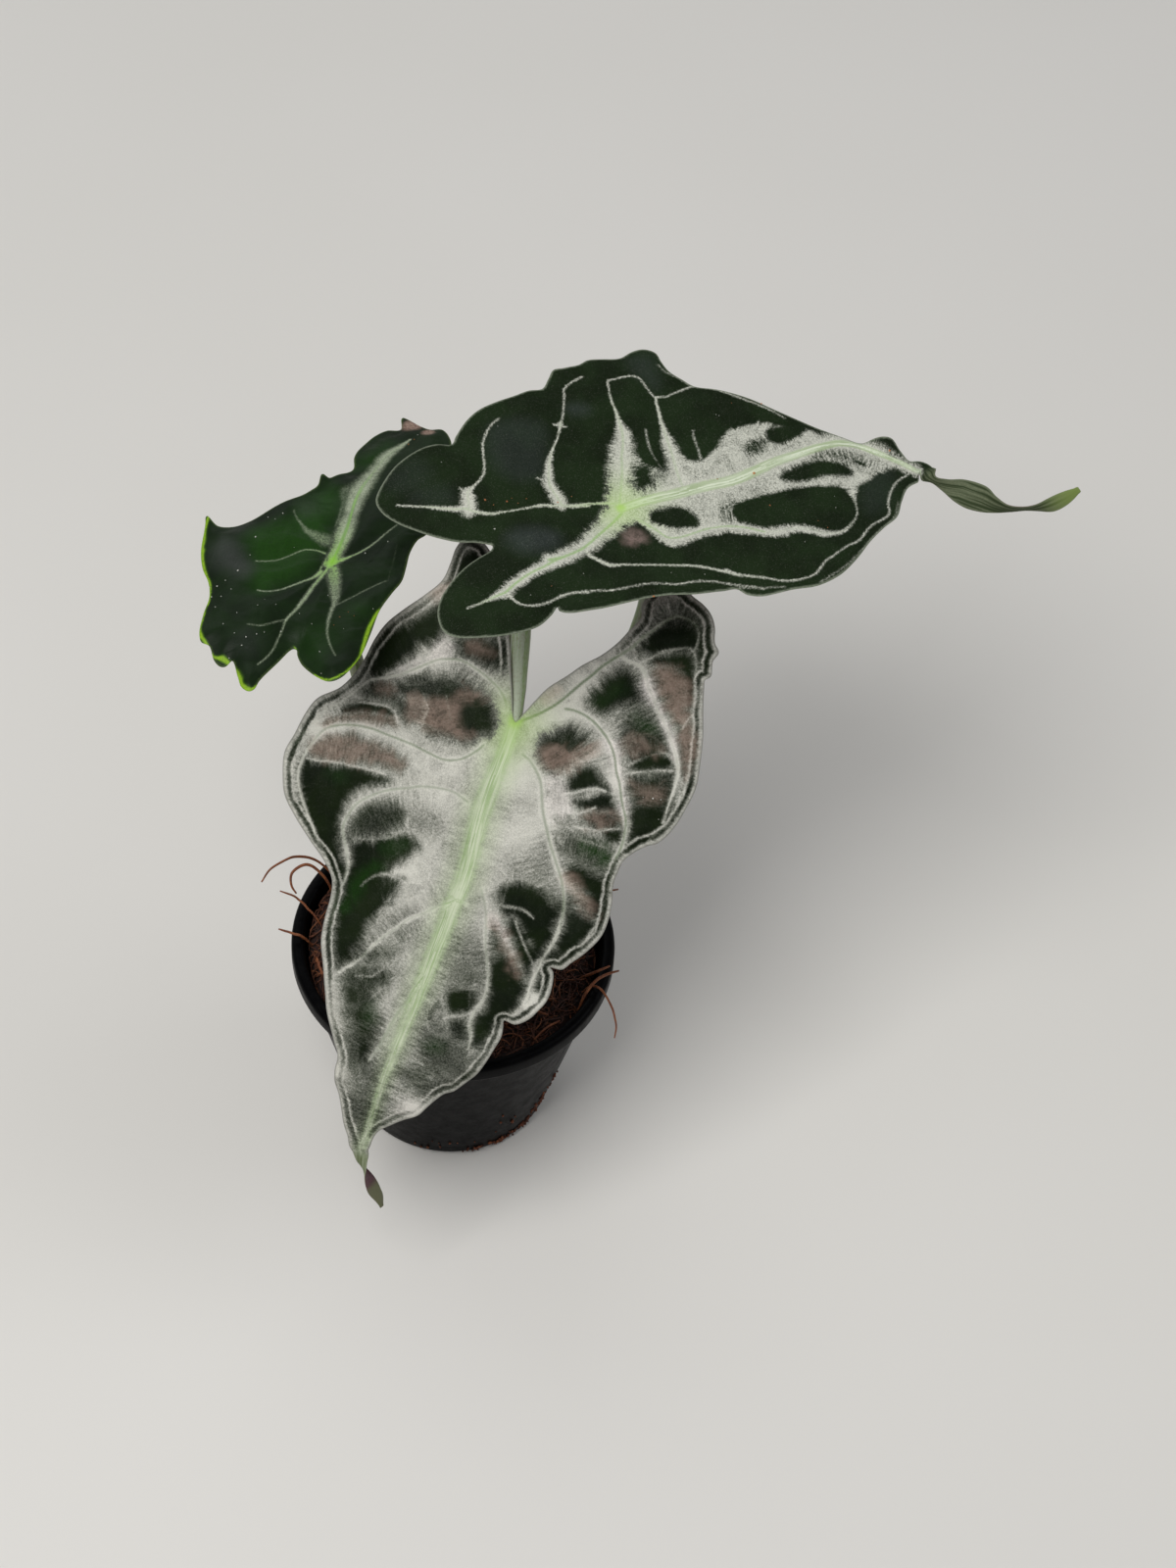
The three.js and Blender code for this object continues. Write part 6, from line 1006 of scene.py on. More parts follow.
def nearest_edge(grid, loop):
    """Distance to a long loop, found from the points near each grid point."""
    cell = 1.0
    lo = np.minimum(grid.min(0), loop.min(0)) - cell
    size = np.ceil((np.maximum(grid.max(0), loop.max(0)) - lo) / cell).astype(int) + 2
    mark = np.zeros(size, bool)
    li = ((loop - lo) / cell).astype(int)
    for dx in (-1, 0, 1):
        for dy in (-1, 0, 1):
            mark[np.clip(li[:, 0] + dx, 0, size[0] - 1), np.clip(li[:, 1] + dy, 0, size[1] - 1)] = True
    gi = ((grid - lo) / cell).astype(int)
    close = mark[gi[:, 0], gi[:, 1]]
    d = np.full(len(grid), 9.0)
    if close.any():
        d[close], _, _, _ = to_segments(grid[close], loop, 200.0, closed=True)
    return d, None, None, None


def face_normals_to_points(verts, tri):
    v = verts[tri]
    n = np.cross(v[:, 1] - v[:, 0], v[:, 2] - v[:, 0])
    out = np.zeros_like(verts)
    for k in range(3):
        np.add.at(out, tri[:, k], n)
    return out / np.maximum(np.linalg.norm(out, axis=1), 1e-12)[:, None]


def build_leaf(blade, step_top, step_bottom, materials, thickness=0.42):
    loop = blade.loop(step_top * 0.95)
    area = 0.5 * np.sum(loop[:, 0] * np.roll(loop[:, 1], -1) - np.roll(loop[:, 0], -1) * loop[:, 1])
    if area < 0:
        loop = loop[::-1]
    n = len(loop)
    top_ab, top_tri = fill(loop, step_top)
    low_ab, low_tri = fill(loop, step_bottom)
    top_f = leaf_fields(blade, top_ab, loop)
    low_f = leaf_fields(blade, low_ab, loop)
    top_mid = blade.points(top_ab, top_f["relief"] * (1 - top_f["tail"]))
    low_mid = blade.points(low_ab, low_f["relief"] * (1 - low_f["tail"]))
    top_n = face_normals_to_points(top_mid, top_tri)
    low_n = face_normals_to_points(low_mid, low_tri)
    half = lambda f: thickness * (0.30 + 0.20 * smooth(f["edge"], 0.0, 0.8))
    top = top_mid + top_n * (half(top_f) + top_f["ridge"] * smooth(top_f["edge"], 0, 0.8))[:, None]
    low = low_mid - low_n * (half(low_f) + low_f["rib"] * smooth(low_f["edge"], 0, 1.2))[:, None]
    blade.surface = (top_ab, top, top_n)
    # rounded rim: one ring pushed outwards in the plane of the blade
    tangent = top_mid[:n][np.r_[1:n, 0]] - top_mid[:n][np.r_[n - 1, 0 : n - 1]]
    tangent /= np.maximum(np.linalg.norm(tangent, axis=1), 1e-9)[:, None]
    rim = top_mid[:n] + np.cross(tangent, top_n[:n]) * (thickness * 0.28)
    verts = np.vstack([top, low, rim])
    l0, r0 = len(top), len(top) + len(low)
    faces = [tuple(t) for t in top_tri] + [(a + l0, c + l0, b + l0) for a, b, c in low_tri]
    fm = [0] * len(top_tri) + [1] * len(low_tri)
    for i in range(n):
        j = (i + 1) % n
        faces.append((i, r0 + i, r0 + j, j))
        faces.append((r0 + i, l0 + i, l0 + j, r0 + j))
        fm += [0, 1]

    def stack(k):
        return np.concatenate([top_f[k], low_f[k], top_f[k][:n]])

    attrs = {
        "marks": np.stack([stack("level"), stack("core"), stack("mid")], 1),
        # tints: pink tint with painted sheen, vivid green, painted highlights; zones: painted sheen, lime line, rim
        "tints_and_highlights": np.stack([stack("pink_tint_and_sheen"), stack("vivid"), stack("painted_highlight")], 1),
        "zones": np.stack([stack("painted_sheen"), stack("lime"), stack("rim")], 1),
        "ends": np.stack([stack("tail"), stack("end"), stack("dried")], 1),
        "vein": np.vstack([top_f["vein"], low_f["vein"], top_f["vein"][:n]]),
        "spine": np.stack([stack("mid_d"), stack("join"), stack("edge")], 1),
        "rib": np.concatenate([top_f["rib"], low_f["rib"], low_f["rib"][:n]]),
    }
    obj = make_mesh(blade.key + "_blade", verts, faces, materials, fm, attrs)
    # a map from the flat blade: upper side below, lower side above it
    lo, hi = loop.min(0), loop.max(0)
    size = hi - lo
    unit_len = max(size[0] * 1.04, size[1] * 2.1)
    mesh = obj.data
    layer = mesh.uv_layers.new(name="OFBake")
    loops = np.zeros(len(mesh.loops), np.int32)
    mesh.loops.foreach_get("vertex_index", loops)
    poly_of = np.repeat(np.arange(len(mesh.polygons)), [len(p.vertices) for p in mesh.polygons])
    mats = np.zeros(len(mesh.polygons), np.int32)
    mesh.polygons.foreach_get("material_index", mats)
    flat_ab = np.vstack([top_ab, low_ab, loop])[loops]
    out2 = np.roll(loop, -1, 0) - np.roll(loop, 1, 0)
    out2 = np.stack([out2[:, 1], -out2[:, 0]], 1)
    out2 /= np.maximum(np.linalg.norm(out2, axis=1), 1e-9)[:, None]
    is_rim = loops >= r0
    flat_ab[is_rim] += out2[loops[is_rim] - r0] * 0.15
    q = (flat_ab - lo) / unit_len
    per = np.c_[q[:, 0] + 0.01, q[:, 1] * 0.98 + 0.01 + np.where(mats[poly_of] == 1, 0.5, 0.0)]
    layer.data.foreach_set("uv", per.astype(np.float32).ravel())
    return obj


def surface_point(blade, a, b, lift=0.0):
    """A point on a built blade's upper side."""
    ab, points, normals = blade.surface
    k = int(((ab - [a, b]) ** 2).sum(1).argmin())
    return points[k] + normals[k] * lift


# ------------------------------------------------------------------ leaf materials
def leaf_upper(name, dark, dark_b, vivid_c, silver, silver_mid, core_c, mid_c, mid_edge, rim_c, pink_tint_and_sheen_c,
               painted_sheen_c, join_c="#a6cc66", painted_highlight_c="#ece6e0", pink_sheen_pale="#b9a79b", lime_c="#8fc41c", tail_c="#5c684a",
               tail_line_c="#8e977c", end_c="#7c9650", dried_c="#6b5248", rough_dark=0.5, rough_silver=0.62,
               coat=0.0, feather=1.0, grain_amount=1.0, spec=0.25, ramp=(0.05, 1.0), power=1.6, fineness=1.0, speck=0.22,
               mid_amount=0.88, glow_c="#b9c8a2", glow=0.0, still=1.0):
    m = Nodes(name)
    level, core, mid = m.split("marks")
    pink_tint_and_sheen, vivid, painted_highlight = m.split("tints_and_highlights")
    painted_sheen, lime, rim = m.split("zones")
    tail, end, dried = m.split("ends")
    mid_d, join, edge = m.split("spine")
    pos = m.coords()
    vs = m.split("vein")
    mul = lambda x, y: m.math("MULTIPLY", x, y)
    add = lambda x, y: m.math("ADD", x, y)
    lines = m.combine(mul(vs[0], 1.7 * fineness), mul(vs[1], 0.28), mul(vs[2], 3.7))
    streak = m.noise(lines, 1.0, 3.0, 0.6)
    hairs = m.noise(m.combine(mul(vs[0], 4.6 * fineness), mul(vs[1], 0.7), mul(vs[2], 5.1)), 1.0, 2.0, 0.6)
    grain = m.noise(pos, 2.6, 3.0, 0.7)
    fine = m.noise(pos, 6.0, 2.0, 0.6)
    broad = m.noise(pos, 0.11, 3.0, 0.55)
    # the streaks and the grain count most where the level is halfway
    half = m.math("MULTIPLY", m.math("MULTIPLY", level, m.math("SUBTRACT", 1.0, level)), 4.0)
    half = m.math("MINIMUM", m.math("MAXIMUM", half, 0.0), 1.0)
    weight = add(mul(half, 0.8), 0.2)
    drawn = m.math("POWER", weight, still)
    l = add(level, mul(mul(m.math("SUBTRACT", streak, 0.5), 1.5 * feather), drawn))
    l = add(l, mul(mul(m.math("SUBTRACT", hairs, 0.5), 1.0 * feather), drawn))
    l = add(l, mul(mul(m.math("SUBTRACT", grain, 0.5), 1.1 * grain_amount), weight))
    l = add(l, mul(m.math("SUBTRACT", fine, 0.5), 0.5 * grain_amount))
    s = m.math("POWER", m.ramp(l, ramp[0], ramp[1], kind="LINEAR"), power)
    base = m.mix(m.ramp(broad, 0.35, 0.65), dark, dark_b)
    base = m.mix(m.ramp(fine, 0.35, 0.7, 0.0, 0.35), base, dark)
    base = m.mix(mul(vivid, m.ramp(grain, 0.2, 0.7, 0.55, 1.0)), base, vivid_c)
    patchy = m.noise(pos, 0.42, 3.0, 0.6)
    mottle = add(add(mul(streak, 0.22), mul(patchy, 0.48)), mul(grain, 0.30))
    # pink-brown tint with painted warm sheen over the dark parts of the pink zones
    base = m.mix(mul(pink_tint_and_sheen, m.ramp(mottle, 0.34, 0.62, 0.30, 1.0)), base, pink_tint_and_sheen_c)
    # painted sheen: a grey gloss mixed into the dark colour over the grey zones
    base = m.mix(mul(painted_sheen, m.ramp(fine, 0.3, 0.7, 0.3, 0.7)), base, painted_sheen_c)
    # painted warm sheen: the silver turned pinkish white over the pink zones
    top = m.mix(mul(pink_tint_and_sheen, 0.65), silver, pink_sheen_pale)
    top = m.mix(m.ramp(s, 0.15, 0.75, 0.45, 0.0), top, silver_mid)
    top = m.mix(m.ramp(mid_d, 0.9, 2.9, glow, 0.0), top, glow_c)
    # painted highlight: near-white laid onto the silver over the bright zones
    top = m.mix(mul(painted_highlight, 0.85), top, painted_highlight_c)
    col = m.mix(s, base, top)
    col = m.mix(m.ramp(add(mul(grain, 0.5), mul(fine, 0.5)), 0.38, 0.60, speck, 0.0), col, base)
    col = m.mix(mul(core, m.ramp(fine, 0.25, 0.6, 0.6, 1.0)), col, core_c)
    along = m.noise(m.combine(mul(vs[0], 0.09), mul(vs[1], 2.6), vs[2]), 1.0, 3.0, 0.55)
    midcol = m.mix(m.ramp(along, 0.36, 0.60), mid_edge, mid_c)
    midcol = m.mix(m.ramp(mid_d, 0.35, 1.0, 0.0, 0.85), midcol, mid_edge)
    col = m.mix(mul(m.ramp(add(mid, mul(mul(m.math("SUBTRACT", add(streak, grain), 1.0), 0.6), m.ramp(mid, 0.0, 0.2))), 0.05, 1.0), mid_amount), col, midcol)
    col = m.mix(mul(join, m.ramp(s, 0.25, 0.7)), col, join_c)
    col = m.mix(mul(rim, m.ramp(grain, 0.3, 0.6, 0.5, 0.9)), col, rim_c)
    col = m.mix(mul(lime, m.ramp(grain, 0.25, 0.55, 0.55, 1.0)), col, m.mix(m.ramp(lime, 0.2, 0.9), "#4f7a16", lime_c))
    tail_lines = m.noise(m.combine(mul(vs[0], 0.05), mul(vs[1], 1.6), 0.0), 1.0, 3.0)
    ribbon = m.mix(m.ramp(tail_lines, 0.40, 0.62), tail_c, tail_line_c)
    ribbon = m.mix(m.ramp(edge, 0.05, 0.45, 0.75, 0.0), ribbon, tail_line_c)
    ribbon = m.mix(m.ramp(grain, 0.3, 0.7, 0.0, 0.35), ribbon, tail_c)
    ribbon = m.mix(end, ribbon, end_c)
    col = m.mix(mul(tail, 0.92), col, ribbon)
    col = m.mix(mul(dried, 0.9), col, m.mix(m.ramp(grain, 0.35, 0.65), dried_c, "#a08a7c"))
    m.set(Base_Color=col)
    m.put(m.bsdf.inputs["Roughness"], add(m.ramp(s, 0, 1, rough_dark, rough_silver), mul(fine, 0.08)))
    m.bsdf.inputs["Specular IOR Level"].default_value = spec
    m.bsdf.inputs["Coat Weight"].default_value = coat
    m.bsdf.inputs["Coat Roughness"].default_value = 0.28
    bump = add(mul(grain, 0.6), mul(streak, 0.7))
    m.put(m.bsdf.inputs["Normal"], m.bump(bump, 0.35, 0.00018))
    return m.mat


def leaf_lower(name, base_a, base_b, rib_c, end_c="#5c6040"):
    m = Nodes(name)
    pos = m.coords()
    broad = m.noise(pos, 0.15, 3.0, 0.55)
    fine = m.noise(pos, 2.4, 3.0, 0.6)
    rib = m.attr("rib").outputs["Fac"]
    col = m.mix(m.ramp(broad, 0.35, 0.65), base_a, base_b)
    col = m.mix(m.ramp(fine, 0.35, 0.7, 0.0, 0.3), col, base_a)
    col = m.mix(m.ramp(rib, 0.05, 0.5, 0.0, 0.85), col, rib_c)
    col = m.mix(m.ramp(m.split("ends")[1], 0.1, 0.8, 0.0, 0.9), col, end_c)
    m.set(Base_Color=col)
    m.put(m.bsdf.inputs["Roughness"], m.ramp(fine, 0.3, 0.7, 0.42, 0.6))
    m.put(m.bsdf.inputs["Normal"], m.bump(fine, 0.3, 0.00015))
    return m.mat


# ------------------------------------------------------------------ leaves
mat_front = leaf_upper(
    "leaf_front_upper", dark="#10170c", dark_b="#18220f", vivid_c="#18360e", silver="#d6d5cb", silver_mid="#98a08c",
    core_c="#566b48", mid_c="#cbd5b8", mid_edge="#94ae78", rim_c="#8d8d86", pink_tint_and_sheen_c="#7f6e63", pink_sheen_pale="#c0b2a6",
    painted_sheen_c="#5b5f58", tail_c="#5f6a47", rough_dark=0.5, rough_silver=0.68, spec=0.04, ramp=(0.0, 1.05),
    feather=0.5, grain_amount=0.8, power=1.5, speck=0.16, mid_amount=0.78, glow=0.5,
)
mat_top = leaf_upper(
    "leaf_top_upper", dark="#151e10", dark_b="#1c2916", vivid_c="#1f4a1c", silver="#cbccc0", silver_mid="#8f9684",
    core_c="#86ab64", mid_c="#d6dfc8", mid_edge="#9dae87", rim_c="#828a78", pink_tint_and_sheen_c="#7c6b65", painted_sheen_c="#3a3f40",
    tail_c="#38422c", tail_line_c="#6f765e", end_c="#76874a", rough_dark=0.55, rough_silver=0.66, feather=1.2, grain_amount=1.6, spec=0.03,
    ramp=(0.05, 1.0), power=1.25, fineness=1.5, speck=0.36, still=1.8,
)
mat_left = leaf_upper(
    "leaf_left_upper", dark="#0c1908", dark_b="#12240b", vivid_c="#1a3b0a", silver="#a9b39b", silver_mid="#6d7d62",
    core_c="#7da457", mid_c="#7fae55", mid_edge="#72905c", rim_c="#55683a", pink_tint_and_sheen_c="#5b4a42", painted_sheen_c="#3f4240",
    join_c="#86c03c", lime_c="#84ab28", rough_dark=0.40, rough_silver=0.5, coat=0.0, feather=0.28, grain_amount=0.7,
    spec=0.11, ramp=(0.06, 0.95), power=1.5,
)
mat_under = leaf_lower("leaf_under_maroon", "#43202b", "#562b33", "#8c8f74")
mat_under_green = leaf_lower("leaf_under_green", "#4a3a34", "#3c4a30", "#93a57c")

leaf_front = build_leaf(LEAF_FRONT, 0.37, 0.8, [mat_front, mat_under])
leaf_top = build_leaf(LEAF_TOP, 0.37, 0.8, [mat_top, mat_under])
leaf_left = build_leaf(LEAF_LEFT, 0.34, 0.8, [mat_left, mat_under_green])
for piece, node, slot in (
    (leaf_front, "leaf_front", "leaf_silver"),
    (leaf_top, "leaf_top", "leaf_dark"),
    (leaf_left, "leaf_left", "leaf_glossy"),
):
    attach(piece, "root")
    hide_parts(node)

# ------------------------------------------------------------------ stalks
def stalk_material(name, pale, stripe, low, blush, fuzz="#b4b9aa"):
    m = Nodes(name)
    pos = m.coords()
    a, b, c = m.split("stem")
    stripes = m.noise(m.combine(m.math("MULTIPLY", a, 0.05), m.math("MULTIPLY", b, 9.0), 0.3), 1.0, 2.0, 0.5)
    fine = m.noise(m.combine(m.math("MULTIPLY", a, 1.2), m.math("MULTIPLY", b, 30.0), 0.3), 1.0, 2.0, 0.6)
    spots = m.noise(pos, 2.2, 3.0, 0.6)
    col = m.mix(m.ramp(stripes, 0.38, 0.58), stripe, pale)
    col = m.mix(m.ramp(fine, 0.4, 0.65, 0.0, 0.45), col, fuzz)
    col = m.mix(m.ramp(c, 0.0, 0.45, 0.85, 0.0), col, low)
    col = m.mix(m.math("MULTIPLY", m.ramp(spots, 0.5, 0.68), 0.35), col, blush)
    m.set(Base_Color=col)
    m.put(m.bsdf.inputs["Roughness"], m.ramp(fine, 0.3, 0.7, 0.4, 0.6))
    m.put(m.bsdf.inputs["Normal"], m.bump(m.math("ADD", fine, m.math("MULTIPLY", stripes, 2.0)), 0.3, 0.0002))
    return m.mat


def build_stalk(name, points, radii, material, node):
    path = resample(catmull(points, 0.8), 150)
    r = np.interp(np.linspace(0, 1, len(path)), np.linspace(0, 1, len(radii)), radii)
    sides = 30

    def ripple(ang, i):
        k = i / (len(path) - 1)
        groove = 0.10 * (1 - k) * np.exp(-(((ang - 1.4 + math.pi) % (2 * math.pi) - math.pi) / 0.5) ** 2)
        return 1 + 0.018 * np.cos(9 * ang) + 0.02 * noise3(np.cos(ang) * 2, np.sin(ang) * 2, i * 0.06, 4) - groove

    verts, faces = tube(path, r, sides, ripple)
    n = len(path)
    length = np.linalg.norm(np.diff(path, axis=0), axis=1).sum()
    idx = np.arange(n * sides)
    along = np.concatenate([(idx // sides) / (n - 1), [0, 1]])
    turn = np.concatenate([(idx % sides) / sides, [0, 0]])
    stem = np.stack([along * length, np.abs(turn * 2 - 1), along], 1)
    obj = make_mesh(name, verts, faces, [material], attributes={"stem": stem})
    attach(obj, "root")
    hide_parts(node)
    return obj


mat_stalk = stalk_material("stalk_green", "#a2af94", "#86a068", "#8e9a6e", "#7d6a5a")
mat_stalk_left = stalk_material("stalk_left", "#8f9a76", "#6f8a4e", "#84805a", "#7a5a4c")
build_stalk(
    "stalk_front",
    [(0.7, 3.1, 44.0), (0.8, 3.4, 48.5), (1.2, 5.4, 56), (3.0, 14, 75), (6.2, 27.5, 100), (8.6, 33.2, 115),
     (9.9, 32.4, 123.8), (10.5, 28.6, 126.6), (10.9, 23.6, 124.6), (10.9, 17.0, 119.4), (11.0, 11.8, 115.9),
     (11.0, 8.9, 114.4), (10.6, 6.6, 112.6)],
    [3.9, 3.6, 3.1, 2.75, 2.6, 2.4, 2.3, 2.2, 2.15, 2.1, 2.0, 1.85, 1.1], mat_stalk, "petiole_front",
)
build_stalk(
    "stalk_top",
    [(3.0, -2.0, 44.0), (3.4, -1.5, 53), (10.4, 5.6, 67), (24, 19.5, 90), (33.5, 31.5, 111), (36.8, 37.5, 124),
     (35.6, 39.5, 137), (31.6, 36.6, 146.4), (29.7, 34.4, 151.0)],
    [3.7, 3.2, 2.7, 2.5, 2.3, 2.1, 2.0, 1.9, 1.9], mat_stalk, "petiole_top",
)
build_stalk(
    "stalk_left",
    [(-2.8, -1.6, 44.0), (-3.2, -1.0, 51), (-9, 9, 67), (-17.5, 20.5, 88), (-24.2, 29, 108), (-27.6, 30.4, 123),
     (-28.2, 29.5, 134.4)],
    [3.3, 2.8, 2.3, 2.0, 1.8, 1.6, 1.4], mat_stalk_left, "petiole_left",
)


# ------------------------------------------------------------------ crown and sheaths
def lathe(profile, segments, wobble=None):
    prof = np.array(profile, float)
    ang = 2 * np.pi * np.arange(segments) / segments
    verts, faces = [], []
    ring_of = []
    for r, z in prof:
        if r < 1e-6:
            ring_of.append(len(verts))
            verts.append((0.0, 0.0, z))
        else:
            ring_of.append(len(verts))
            for t in ang:
                verts.append((r * math.cos(t), r * math.sin(t), z))
    verts = np.array(verts)
    for i in range(len(prof) - 1):
        a, b = ring_of[i], ring_of[i + 1]
        ca, cb = prof[i][0] < 1e-6, prof[i + 1][0] < 1e-6
        for j in range(segments):
            k = (j + 1) % segments
            if ca and not cb:
                faces.append((a, b + k, b + j))
            elif cb and not ca:
                faces.append((a + j, a + k, b))
            else:
                faces.append((a + j, a + k, b + k, b + j))
    return (wobble(verts) if wobble else verts), faces


m = Nodes("crown_tissue")
pos = m.coords((1000, 1000, 260))
n1 = m.noise(pos, 0.9, 3.0, 0.6)
n2 = m.noise(m.coords(), 0.5, 3.0, 0.6)
col = m.mix(m.ramp(n1, 0.35, 0.65), "#5a6b3e", "#7f8f58")
col = m.mix(m.ramp(n2, 0.5, 0.7, 0, 0.8), col, "#6b4630")
m.set(Base_Color=col, Roughness=0.6)
m.put(m.bsdf.inputs["Normal"], m.bump(n1, 0.4, 0.0003))
mat_crown = m.mat


def crown_wobble(v):
    ang = np.arctan2(v[:, 1], v[:, 0])
    r = np.hypot(v[:, 0], v[:, 1])
    k = 1 + 0.06 * np.cos(3 * ang + 0.4) + 0.05 * noise3(np.cos(ang) * 2.2, np.sin(ang) * 2.2, v[:, 2] * 0.35, 9)
    out = v.copy()
    out[:, 0] *= k
    out[:, 1] *= k
    out[:, 2] += 0.5 * noise3(v[:, 0] * 0.5, v[:, 1] * 0.5, 0.5, 5) * (r > 0.1) * smooth(v[:, 2], 44, 47)
    return out


prof = catmull([(0.001, 33.0), (3.6, 33.6), (5.4, 35.6), (6.1, 39), (6.2, 43), (5.9, 45.8), (5.2, 48.2), (4.0, 49.6), (2.0, 50.2)], 0.5)
prof = np.vstack([[0, 33.0], prof[1:], [0, 50.3]])
verts, faces = lathe(prof, 64, crown_wobble)
crown = make_mesh("crown_stem", verts, faces, [mat_crown])
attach(crown, "root")
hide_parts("crown")

m = Nodes("sheath_paper")
pos = m.coords((1000, 1000, 120))
fib = m.noise(pos, 3.0, 3.0, 0.6)
blot = m.noise(m.coords(), 0.35, 3.0, 0.6)
col = m.mix(m.ramp(fib, 0.35, 0.65), "#8d6e4a", "#b89a6e")
col = m.mix(m.ramp(blot, 0.48, 0.68, 0, 0.8), col, "#5b3c26")
m.set(Base_Color=col, Roughness=0.75)
m.put(m.bsdf.inputs["Normal"], m.bump(fib, 0.5, 0.0003))
mat_sheath = m.mat


def build_sheath(name, node, azimuth, spread, height, lean):
    nu, nv = 26, 34
    rows = []
    for j in range(nv):
        v = j / (nv - 1)
        width = spread * (1 - v**2.2) * 0.5 + 0.02
        for i in range(nu):
            u = i / (nu - 1) * 2 - 1
            ang = azimuth + u * width
            r = 6.55 + lean * v**1.6 + 0.25 * math.sin(7 * u + 3 * v) * v + 0.5 * u * u * v
            rows.append((r * math.cos(ang), r * math.sin(ang), 44.6 + (height + 1.5) * v - 0.7 * u * u * v))
    mid = np.array(rows)
    mid += 0.12 * np.stack([noise3(mid[:, 0], mid[:, 1], mid[:, 2] * 0.4, s) for s in (1, 2, 3)], 1)
    radial = mid * [1, 1, 0]
    radial /= np.linalg.norm(radial, axis=1)[:, None]
    thick = 0.13
    out_v = mid + radial * thick
    in_v = mid - radial * thick
    verts = np.vstack([out_v, in_v])
    off = nu * nv
    faces = []
    for j in range(nv - 1):
        for i in range(nu - 1):
            a = j * nu + i
            faces.append((a, a + 1, a + nu + 1, a + nu))
            faces.append((off + a, off + a + nu, off + a + nu + 1, off + a + 1))
    ringed = [i for i in range(nu)] + [j * nu + nu - 1 for j in range(1, nv)]
    ringed += [(nv - 1) * nu + i for i in range(nu - 2, -1, -1)] + [j * nu for j in range(nv - 2, 0, -1)]
    for k in range(len(ringed)):
        a, b = ringed[k], ringed[(k + 1) % len(ringed)]
        faces.append((b, a, off + a, off + b))
    obj = make_mesh(name, verts, faces, [mat_sheath])
    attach(obj, "root")
    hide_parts(node)


build_sheath("sheath_papery_right", "sheath_right", -1.0, 1.7, 14, 2.6)
build_sheath("sheath_papery_left", "sheath_left", -2.75, 1.7, 10, 2.2)

# ------------------------------------------------------------------ pot
WALL_TOP = RIM_R - 2.1


def outer_r(z):
    return BASE_R + (WALL_TOP - BASE_R) * (z - 1) / (POT_HEIGHT - 5)


def arc(cx, cz, r, a0, a1, n):
    return [(cx + r * math.cos(a), cz + r * math.sin(a)) for a in np.linspace(a0, a1, n)]


